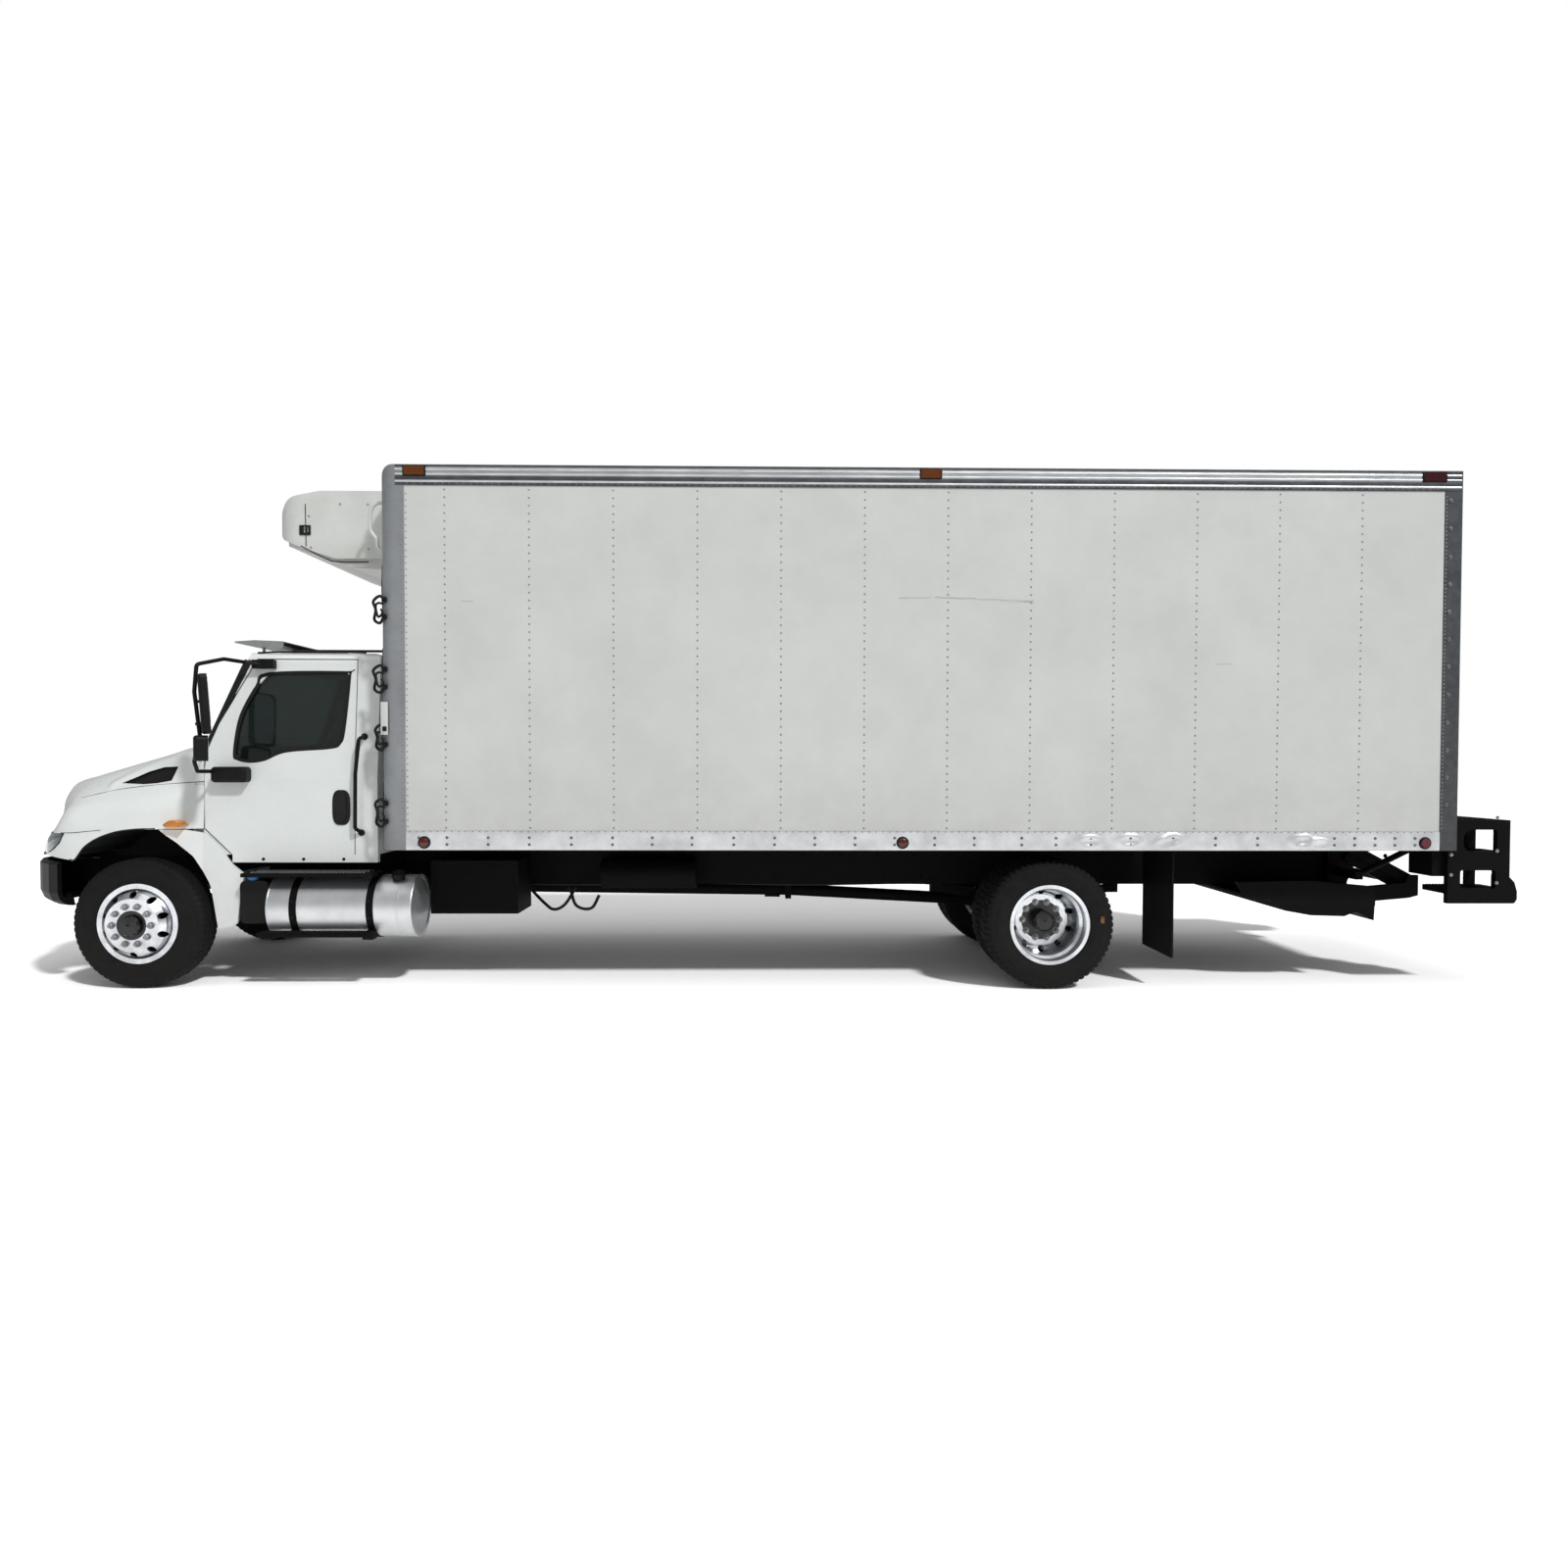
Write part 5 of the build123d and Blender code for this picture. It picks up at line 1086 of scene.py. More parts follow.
# ---------------------------------------------------------------- box
@dataclass
class BoxSkin:
    """Side sheets, slack between their rivet columns, and the rivets."""

    columns: int = 12
    rivet_radius: float = 7.5
    rivet_step: float = 57.0
    cell: float = 50.8
    swell: float = 2.6

    def column_x(self) -> list[float]:
        """Places of the rivet columns.

        Returns:
            Their X, from the front.
        """
        return [BOX_FRONT_X - FIRST_RIVETS - RIVET_PITCH * i for i in range(self.columns)]

    def sheet(self) -> None:
        """Side sheet as one slack surface, held down along each rivet column."""
        front, rear = SHEET_FRONT_X, SHEET_REAR_X
        columns = self.column_x()
        across = round((front - rear) / self.cell)
        up = round((TOP_RAIL_LOW - BOTTOM_RAIL_TOP) / self.cell)
        for side in Side:
            sculpt = Sculpt()
            rings = []
            for i in range(across + 1):
                x = front - (front - rear) * i / across
                near = min(abs(x - c) for c in columns + [front, rear])
                slack = min(near / 140, 1.0)
                column = []
                for k in range(up + 1):
                    z = BOTTOM_RAIL_TOP + (TOP_RAIL_LOW - BOTTOM_RAIL_TOP) * k / up
                    edge = min(min(k, up - k) / 2.0, 1.0)
                    swell = noise.noise(Vector((x / 420, side.value * 7.0, z / 520)))
                    fine = noise.noise(Vector((x / 150, side.value * 3.0, z / 210)))
                    out = 1.2 + edge * (slack * (1.0 + swell * self.swell) * 0.9 + fine * 0.5 * (0.3 + slack))
                    column.append(Vector((x, side.value * (BOX_HALF - RAIL_PROUD + max(out, 0.4)), z)))
                rings.append(column)
            sculpt.skin(rings, wrap=False, caps=False)
            sculpt.piece(f"box_side_sheet_{side.word}", PREPAINTED_SHEET, "chassis", 60)

    def rivets(self) -> None:
        """Rivet columns on the sheets."""
        sculpt = Sculpt()
        skin = BOX_HALF - RAIL_PROUD + 1.0
        low, high = BOTTOM_RAIL_TOP + 22, TOP_RAIL_LOW - 16
        count = int((high - low) / self.rivet_step)
        for x in self.column_x():
            for k in range(count + 1):
                sculpt.rivet((x, skin, low + k * self.rivet_step), OUTWARD, self.rivet_radius, 4.0)
        sculpt.pair("side_rivets", RIVET_ALUMINIUM)

    def build(self) -> None:
        """Make the sheets and rivets."""
        self.sheet()
        self.rivets()


# ---------------------------------------------------------------- hood
Outline = tuple[tuple[float, float], ...]
LIP_Z = 1193.0
# station ahead of the axle, crown z, edge y, edge z, crease y, crease z, shoulder y, shoulder z, lip y, lip z
HOOD_SECTIONS = (
    (905, 1505, 450, 1488, 545, 1345, 590, 1212, 800, 1050),
    (865, 1537, 495, 1516, 620, 1385, 650, 1216, 850, 1062),
    (800, 1562, 515, 1545, 708, 1395, 760, 1228, 940, 1085),
    (700, 1590, 550, 1567, 810, 1420, 905, 1248, 1060, 1120),
    (560, 1628, 595, 1603, 890, 1450, 1080, 1310, 1150, 1180),
    (330, 1690, 660, 1662, 950, 1480, 1125, 1350, 1180, LIP_Z),
    (0, 1778, 740, 1748, 985, 1510, 1135, 1370, 1180, LIP_Z),
    (-200, 1828, 820, 1796, 1000, 1525, 1115, 1380, 1150, LIP_Z),
    (-445, 1838, 900, 1806, 1012, 1540, 1032, 1395, 1050, LIP_Z),
)
# distance ahead of the axle, height of the hood's lower edge
HOOD_LOWER_EDGE = (
    (905, 976), (800, 980), (655, 986), (480, 966), (434, 961), (362, 1052), (250, 1124), (105, 1172),
    (-60, 1189), (-250, 1189), (-445, 1189),
)


def run_through(rows: tuple, at: float) -> list[float]:
    """Read a table between its rows, on smooth curves.

    Args:
        rows: Rows whose first column falls steadily.
        at: Value of the first column.

    Returns:
        The other columns' values there.
    """
    at = min(max(at, rows[-1][0]), rows[0][0])
    place = next(i for i in range(len(rows) - 1) if at >= rows[i + 1][0])
    high, low = rows[place], rows[place + 1]
    width = low[0] - high[0]
    t = (at - high[0]) / width
    found = []
    for column in range(1, len(high)):
        def slope(index: int) -> float:
            """Slope of the curve at a row.

            Args:
                index: The row's number.

            Returns:
                The slope.
            """
            one, two = rows[max(index - 1, 0)], rows[min(index + 1, len(rows) - 1)]
            return (two[column] - one[column]) / (two[0] - one[0])
        a, b = high[column], low[column]
        m, n = slope(place) * width, slope(place + 1) * width
        found.append((2 * t**3 - 3 * t**2 + 1) * a + (t**3 - 2 * t**2 + t) * m
                     + (3 * t**2 - 2 * t**3) * b + (t**3 - t**2) * n)
    return found


@dataclass
class Hood:
    """Moulded hood with its fenders: a smooth skin with lamp, grille and vent openings."""

    wall: float = 12.0
    turns: tuple[float, ...] = (60.0, 110.0, 62.0, 170.0)
    runs: tuple[int, ...] = (8, 4, 6, 12, 12)
    corner_steps: int = 7
    nose_x: float = FRONT_AXLE_X + 905.0
    # Lines and outlines on the side: distance ahead of the axle, height.
    brow: Outline = ((300, 1516), (190, 1590), (60, 1652), (-70, 1690), (-215, 1696))
    brow_height: float = 15.0
    brow_width: float = 34.0
    brow_half: float = 560.0
    crease_line: Outline = ((500, 1415), (374, 1444), (205, 1480), (-7, 1507), (-248, 1527), (-440, 1540))
    low_line: Outline = ((526, 1162), (480, 1163), (428, 1165), (349, 1173), (234, 1184))
    vent: Outline = (
        (236, 1524), (150, 1566), (60, 1612), (-60, 1646), (-190, 1652), (-176, 1545), (-70, 1526),
        (40, 1517))
    lamp: Outline = (
        (930, 988), (930, 1148), (526, 1160), (534, 1130), (563, 1081), (645, 1028), (760, 994))
    lamp_edge: Outline = (
        (898, 989), (898, 1148), (800, 1152), (660, 1156), (526, 1160), (534, 1130), (563, 1081), (645, 1028),
        (760, 994), (830, 990))
    # Left half of the grille's opening: distance from the centre plane, height.
    mouth: Outline = (
        (490, 1042), (505, 1056), (498, 1200), (478, 1330), (425, 1420), (408, 1434), (385, 1437))
    # Distance ahead of the axle, height and radius of each reflector.
    bowls: tuple[tuple[float, float, float], ...] = ((850, 1072, 52), (742, 1084, 46), (640, 1100, 34))
    pivot: tuple[float, float, float] = (5550.0, 330.0, 952.0)

    def ring(self, ahead: float, inset: float) -> list[Vector]:
        """Cross-section from the left lip over the crown to the right lip.

        Args:
            ahead: Distance ahead of the axle.
            inset: How far inside the skin it lies.

        Returns:
            Points of the section.
        """
        crown, y_e, z_e, y_c, z_c, y_s, z_s, y_l, z_l = run_through(HOOD_SECTIONS, ahead)
        low = min(run_through(HOOD_LOWER_EDGE, ahead)[0], z_l - 3)
        corners = [Vector(p) for p in (
            (y_l - inset, low), (y_l - inset, z_l), (y_s - inset, z_s - inset / 2),
            (y_c - inset, z_c - inset / 2), (y_e - inset, z_e - inset), (0, crown - inset))]
        path, start = [], corners[0]
        for i, turn in enumerate(self.turns, 1):
            back, on = corners[i - 1] - corners[i], corners[i + 1] - corners[i]
            reach = min(turn, 0.42 * back.length, 0.42 * on.length)
            enter, leave = corners[i] + back.normalized() * reach, corners[i] + on.normalized() * reach
            path += [start.lerp(enter, k / self.runs[i - 1]) for k in range(self.runs[i - 1])]
            for k in range(self.corner_steps):
                t = k / self.corner_steps
                path.append(enter * (1 - t) ** 2 + corners[i] * 2 * t * (1 - t) + leave * t * t)
            start = leave
        last = self.runs[-1]
        for k in range(last + 1):
            y = start.x * (1 - k / last)
            path.append(Vector((y, corners[5].y - (corners[5].y - start.y) * (y / start.x) ** 2)))
        x = FRONT_AXLE_X + ahead
        x -= inset * max(0.0, min(1.0, (ahead - 600) / 305)) ** 2
        left = [Vector((x, p.x, p.y)) for p in path]
        return left + [Vector((p.x, -p.y, p.z)) for p in reversed(left[:-1])]

    def grid(self, inset: float) -> list[list[Vector]]:
        """Rings from the rear edge to the nose, and on over its flat front.

        Args:
            inset: How far inside the skin they lie.

        Returns:
            The rings.
        """
        places = [-445 + 15 * i for i in range(67)] + [560 + 12 * i for i in range(20)]
        places += [800 + 7 * i for i in range(15)] + [905]
        rings = [self.ring(place, inset) for place in places]
        low = run_through(HOOD_LOWER_EDGE, 905)[0]
        for share in (0.985, 0.95, 0.85, 0.7, 0.5, 0.3, 0.12, 0.02):
            lift = 3.0 * (1 - share) ** 0.5 if share > 0.9 else 1.0
            rings.append([Vector((p.x + lift, p.y * share, low + (p.z - low) * share))
                          for p in rings[len(places) - 1]])
        return rings

    def raised(self, point: Vector) -> float:
        """How far the brow over the vent lifts the skin at a point.

        Args:
            point: Point of the skin.

        Returns:
            The lift.
        """
        if abs(point.y) < self.brow_half:
            return 0.0
        p = Vector((point.x - FRONT_AXLE_X, point.z))
        near = []
        for one, two in zip(self.brow, self.brow[1:]):
            a, b = Vector(one), Vector(two)
            t = max(0.0, min(1.0, (p - a).dot(b - a) / (b - a).length_squared))
            near.append((a.lerp(b, t) - p).length)
        return self.brow_height * math.exp(-(min(near) / self.brow_width) ** 2)

    def shell(self, near: float, far: float) -> Sculpt:
        """Closed skin of the hood, before its openings are cut.

        Args:
            near: Depth of its outer face.
            far: Depth of its inner face.

        Returns:
            The skin.
        """
        outer, inner = self.grid(near), self.grid(far)
        for ring in outer if near == 0 else ():
            for point in ring:
                lift = self.raised(point)
                point.z += lift * 0.75
                point.y += math.copysign(lift * 0.66, point.y)
        sculpt = Sculpt()
        verts = [[[sculpt.mesh.verts.new(p) for p in ring] for ring in rings] for rings in (outer, inner)]
        rows, count = len(outer), len(outer[0])
        for i in range(rows - 1):
            for j in range(count - 1):
                for skin, order in ((verts[0], (0, 1, 2, 3)), (verts[1], (3, 2, 1, 0))):
                    corners = (skin[i][j], skin[i + 1][j], skin[i + 1][j + 1], skin[i][j + 1])
                    sculpt.mesh.faces.new([corners[k] for k in order])
        a, b = verts
        for i in range(rows - 1):
            for j in (0, count - 1):
                sculpt.mesh.faces.new((a[i][j], a[i + 1][j], b[i + 1][j], b[i][j]))
        for i in (0, rows - 1):
            for j in range(count - 1):
                sculpt.mesh.faces.new((a[i][j], a[i][j + 1], b[i][j + 1], b[i][j]))
        bmesh.ops.recalc_face_normals(sculpt.mesh, faces=sculpt.mesh.faces)
        return sculpt

    def surface(self, ahead: float, z: float, proud: float = 0.0) -> tuple[float, float, float]:
        """Find a point of the skin's left side.

        Args:
            ahead: Distance ahead of the axle.
            z: Height above the road.
            proud: How far outside the skin it lies.

        Returns:
            The point.
        """
        side = self.ring(ahead, 0.0)
        for one, two in zip(side, side[1:]):
            if one.z <= z <= two.z:
                t = (z - one.z) / max(two.z - one.z, 1e-6)
                return (one.x, one.y + (two.y - one.y) * t + proud, z)
        return (side[0].x, side[0].y + proud, z)

    def cab_room(self, cutter: Sculpt) -> None:
        """Add what the cab takes up, with the gap round it.

        Args:
            cutter: Mesh that cuts the hood.
        """
        rings = []
        for z in (880, 1400, 1640, 1692, 1722, 1752, 1802, 1850, 1920):
            ring = []
            for k in range(41):
                y = -1014 + 2028 * k / 40
                x = min(4328 + max(0.0, z - 1692) * 2.68, screen_x(y, z) + 10)
                ring.append(Vector((x, y, z)))
            rings.append(ring + [Vector((3900, 1014, z)), Vector((3900, -1014, z))])
        cutter.skin(rings)

    def side_prisms(self, sculpt: Sculpt, outline: Outline, near: float) -> None:
        """Add a prism through both sides of the hood.

        Args:
            sculpt: Mesh that takes the prisms.
            outline: Distance ahead of the axle and height of each corner.
            near: Where the prisms start, measured from the centre plane.
        """
        for side in Side:
            low, high = sorted((side.value * near, side.value * 1290.0))
            sculpt.prism(Axis.Y, [(z, FRONT_AXLE_X + x) for x, z in outline], low, high)

    def build(self) -> None:
        """Make the hood, lamp lenses, lamp insides, seams and edges."""
        lamps, cutter, lining_cutter = Sculpt(), Sculpt(), Sculpt()
        for sculpt in (lamps, cutter, lining_cutter):
            self.side_prisms(sculpt, self.lamp, 640.0)
        for sculpt in (cutter, lining_cutter):
            self.side_prisms(sculpt, self.vent, 700.0)
            sculpt.prism(Axis.X, [*self.mouth, *((-y, z) for y, z in reversed(self.mouth))],
                         self.nose_x - 90, self.nose_x + 20)
            self.cab_room(sculpt)
        skin = self.shell(0.0, self.wall).carved(cutter, "DIFFERENCE")
        lining = self.shell(self.wall + 1, self.wall + 4).carved(lining_cutter, "DIFFERENCE")
        lining.piece("hood_lining", LINING_IN_SHADE, "hood", 40)
        x, half, z = self.pivot
        for y in (-half, half):
            skin.slab((x - 12, y - 12, z + 20), (x + 12, y + 12, z + 94), 2)
            skin.lathe([(10, -12), (24, -12), (24, 12), (10, 12)], Vector((x, y, z)), OUTWARD, closed=True)
        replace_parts(skin.piece("hood_moulding", CAB_ENAMEL, "hood", 40), "hood_shell")
        lenses = self.shell(0.0, self.wall).carved(lamps, "INTERSECT")
        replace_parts(lenses.piece("headlamp_lenses", CLEAR_LENS, "hood", 40), "headlamps")
        self.lamp_insides()
        self.lines()

    def lamp_insides(self) -> None:
        """Reflector bowls and the black housing behind each lens."""
        bowls, housing = Sculpt(), Sculpt()
        facing = Vector((0.62, 0.78, 0))
        for ahead, z, r in self.bowls:
            x, y, _ = self.surface(ahead, z)
            profile = [(6, -44), (r * 0.6, -36), (r * 0.9, -14), (r, 0), (r + 4, 0), (r * 0.96, -18),
                       (r * 0.64, -44), (6, -52)]
            bowls.lathe(profile, Vector((x - 30, y - 44, z)), facing, steps=28)
            bowls.lathe([(0, -4), (r * 0.3, -4), (r * 0.42, 6), (r * 0.3, 14), (0, 17)],
                        Vector((x - 34, y - 54, z)), facing, steps=20)
        rings = []
        for inset in (62, 66):
            side = [self.ring(ahead, inset) for ahead in range(500, 900, 10)]
            rings.append([[p for p in ring[:34] if 970 <= p.z <= 1215] for ring in side])
        count = min(len(ring) for part in rings for ring in part)
        outer, inner = ([ring[:count] for ring in part] for part in rings)
        housing.skin([one + list(reversed(two)) for one, two in zip(outer, inner)])
        bowls.pair("headlamp_reflectors", REFLECTOR, "hood")
        housing.pair("headlamp_housings", LAMP_BODY, "hood")

    def lines(self) -> None:
        """Dark seams where mouldings meet, and the rubber edges round lamps and arches."""
        dark = Sculpt()
        for line in (self.crease_line, self.low_line):
            dark.hose([self.surface(ahead, z, -0.6) for ahead, z in line], 2.6, 8, 8)
        ring = smooth_loop([self.surface(x, z, 0.5) for x, z in self.lamp_edge], 5)
        dark.hose(ring + ring[:1], 4.5, 8, 1)
        edge = [self.surface(ahead, run_through(HOOD_LOWER_EDGE, ahead)[0] + 4, -4)
                for ahead in (470, 434, 400, 362, 305, 250, 180, 105, 20, -60, -150)]
        dark.hose(edge, 6, 8, 5)
        dark.pair("hood_seams", EPDM_RUBBER, "hood")


def screen_x(y: float, z: float) -> float:
    """Where the bowed, raked windshield's outer face lies.

    Args:
        y: Distance from the centre plane.
        z: Height above the road.

    Returns:
        Its X.
    """
    half, bow = 960.0, 165.0
    radius = (half * half + bow * bow) / (2 * bow)
    if abs(y) <= half:
        out = math.sqrt(radius * radius - y * y) - (radius - bow)
    else:
        out = -90.0 * (abs(y) - half) / 100.0
    return 4236.0 + (1802.0 - z) * 0.474 + out


# ---------------------------------------------------------------- cab
@dataclass
class CabDress:
    """Seals, handles, wipers and small fittings of the cab."""

    # Door window's outline: distance ahead of the front axle, height.
    window: Outline = (
        (-700, 1708), (-668, 1745), (-684, 1926), (-722, 2073), (-818, 2256), (-905, 2352), (-1490, 2366),
        (-1512, 2340), (-1478, 1928), (-1448, 1828), (-1380, 1795), (-1120, 1780), (-1010, 1758),
        (-900, 1706), (-792, 1690))
    # Left half of the windshield's edge: distance from the centre plane, height.
    screen: Outline = (
        (0, 1834), (500, 1834), (880, 1836), (930, 1846), (934, 1870), (928, 1910), (884, 2180), (842, 2400),
        (826, 2428), (796, 2432), (500, 2432))
    drip_edge: tuple[tuple[float, float, float], ...] = (
        (3052, 905, 2522), (3300, 912, 2525), (3700, 910, 2524), (3872, 902, 2518))
    handle_x: tuple[float, float] = (3128.0, 3262.0)
    handle_z: tuple[float, float] = (1214.0, 1479.0)
    # Distance ahead of the front axle, lowest, highest, depth, and lean in degrees.
    mirror_heads: tuple[tuple[float, ...], ...] = ((-650, 1890, 2314, 58, 4), (-622, 1694, 1878, 92, 0))

    def door_loop(self, grow: float, proud: float) -> list[Vector]:
        """Points round the door window.

        Args:
            grow: How far they are moved outward in its plane.
            proud: How far they stand outside the cab's side.

        Returns:
            The points.
        """
        middle = Vector((-1090, 2030))
        points = []
        for x, z in self.window:
            away = Vector((x, z)) - middle
            moved = middle + away * (1 + grow / away.length)
            points.append((FRONT_AXLE_X + moved.x, cab_side(moved.y) + proud, moved.y))
        return smooth_loop(points, 5)

    def strip(self, sculpt: Sculpt, inner: list[Vector], outer: list[Vector], thick: float,
              out: Vector) -> None:
        """Cover the band between two loops with a flat seal.

        Args:
            sculpt: Piece that takes the seal.
            inner: Points of the inner loop.
            outer: Points of the outer loop.
            thick: The seal's thickness.
            out: Direction in which it stands proud.
        """
        sculpt.skin([[one, one + out * thick, one.lerp(two, 0.5) + out * (thick + 1.5), two + out * thick,
                      two] for one, two in zip(inner, outer)], loop=True)

    def seals(self) -> None:
        """Window rubbers of the doors and windshield, and the roof drip edge."""
        for side in Side:
            door = Sculpt()
            out = Vector((0, 1, 0.1)).normalized()
            self.strip(door, self.door_loop(-14, -6), self.door_loop(13, -6), 7.5, out)
            self.pull(door)
            if side is Side.RIGHT:
                door.flip()
            door.piece(f"door_seal_{side.word}", EPDM_RUBBER, f"door_{side.word}")
        half = [(screen_x(y, z), y, z) for y, z in self.screen]
        loop = half + [(x, -y, z) for x, y, z in reversed(half[1:])]
        inner = smooth_loop([(x - 8, y, z) for x, y, z in loop], 4)
        grown = [(y * 1.031, z + (z - 2130) * 0.085) for _, y, z in loop]
        outer = smooth_loop([(screen_x(y, z) - 8, y, z) for y, z in grown], 4)
        shield = Sculpt()
        self.strip(shield, inner, outer, 12, Vector((0.9, 0, 0.43)))
        for side in (-1, 1):
            shield.hose([(x, side * y, z) for x, y, z in self.drip_edge], 7, 8)
            for y, radius in ((954, 22), (984, 17)):
                shield.hose([(screen_x(y, z) - 4, side * min(y, cab_side(z) - 6), z)
                             for z in (1806, 1950, 2100, 2250, 2380, 2455)], radius, 12)
        shield.piece("windshield_gasket", EPDM_RUBBER, "chassis")

    def pull(self, sculpt: Sculpt) -> None:
        """Add the door pull: an oval cup with a paddle across it, and the lock.

        Args:
            sculpt: Piece that takes it.
        """
        x0, x1 = self.handle_x
        z0, z1 = self.handle_z
        x, z, wide, tall = (x0 + x1) / 2, (z0 + z1) / 2, (x1 - x0) / 2, (z1 - z0) / 2
        for share, low, high, bevel in (((1, 1), -4, 9, 5), ((0.66, 0.8), 2, 16, 4)):
            outline = oval((x, z), (wide * share[0], tall * share[1]), (0.62, 0.62))
            sculpt.prism(Axis.Y, [(b, a) for a, b in outline], CAB_HALF + low, CAB_HALF + high, bevel)
        sculpt.lathe([(11, 0), (11, 12), (8, 14)], Vector((x, CAB_HALF + 4, z0 + 26)), OUTWARD, 20)

    def wipers(self) -> None:
        """Two wiper arms and blades lying along the foot of the windshield."""
        sculpt = Sculpt()
        for y0, y1 in ((-120.0, 560.0), (-820.0, -150.0)):
            middle = (y0 + y1) / 2
            foot = (screen_x(y0, 1792) - 10, y0, 1790)
            tip = (screen_x(y1, 1905) + 26, y1, 1905)
            sculpt.hose([foot, (screen_x(middle, 1850) + 34, middle, 1848), tip], 7, 8)
            blade = [(y0 + along, 1880 + 0.03 * along) for along in (20, 240, 460, 700)]
            sculpt.hose([(screen_x(y, z) + 13, y, z) for y, z in blade], 6.5, 8)
            sculpt.lathe([(26, -6), (26, 14), (18, 22)], Vector(foot), Vector((0.45, 0, 0.9)), 18)
        sculpt.piece("wipers", MOULDED_BLACK, "chassis")

    def fasteners(self) -> None:
        """Grab handle feet, door hinges and the sill's bolts."""
        sculpt = Sculpt()
        for x, z in ((CAB_REAR_X + 104, 1880), (CAB_REAR_X + 120, 1158)):
            sculpt.lathe([(25, -3), (25, 8), (18, 15)], Vector((x, cab_side(z) - 1, z)), OUTWARD, 20)
            sculpt.bolt((x, cab_side(z) + 14, z), OUTWARD, 15, 8)
        for z in (1230, 1660):
            sculpt.slab((DOOR_FRONT_X - 2, CAB_HALF - 36, z - 42), (DOOR_FRONT_X + 6, CAB_HALF - 8, z + 42),
                        3)
        for x in (3180, 3480, 3780):
            sculpt.bolt((x, CAB_HALF - 1, 958), OUTWARD, 16, 8)
        sculpt.pair("cab_fasteners", MOULDED_BLACK)

    def mirrors(self) -> None:
        """Silvered glass in each mirror head."""
        for side in Side:
            sculpt = Sculpt()
            for ahead, low, top, depth, lean in self.mirror_heads:
                glass = Sculpt()
                outline = oval((0, 0), (87, (top - low) / 2 - 17), (0.4, 0.3))
                glass.prism(Axis.X, outline, -depth / 2 - 3, -depth / 2 + 5, 2)
                turned = (Matrix.Translation((FRONT_AXLE_X + ahead, CAB_HALF + 360, (low + top) / 2))
                          @ Matrix.Rotation(math.radians(lean), 4, "Y")
                          @ Matrix.Rotation(math.radians(29.4), 4, "Z"))
                bmesh.ops.transform(glass.mesh, matrix=turned, verts=glass.mesh.verts)
                sculpt.join(glass)
            if side is Side.RIGHT:
                sculpt.flip()
            sculpt.piece(f"mirror_glass_{side.word}", MIRROR_SILVER, f"door_{side.word}")

    def build(self) -> None:
        """Make the cab's fittings."""
        self.seals()
        self.wipers()
        self.fasteners()
        self.mirrors()


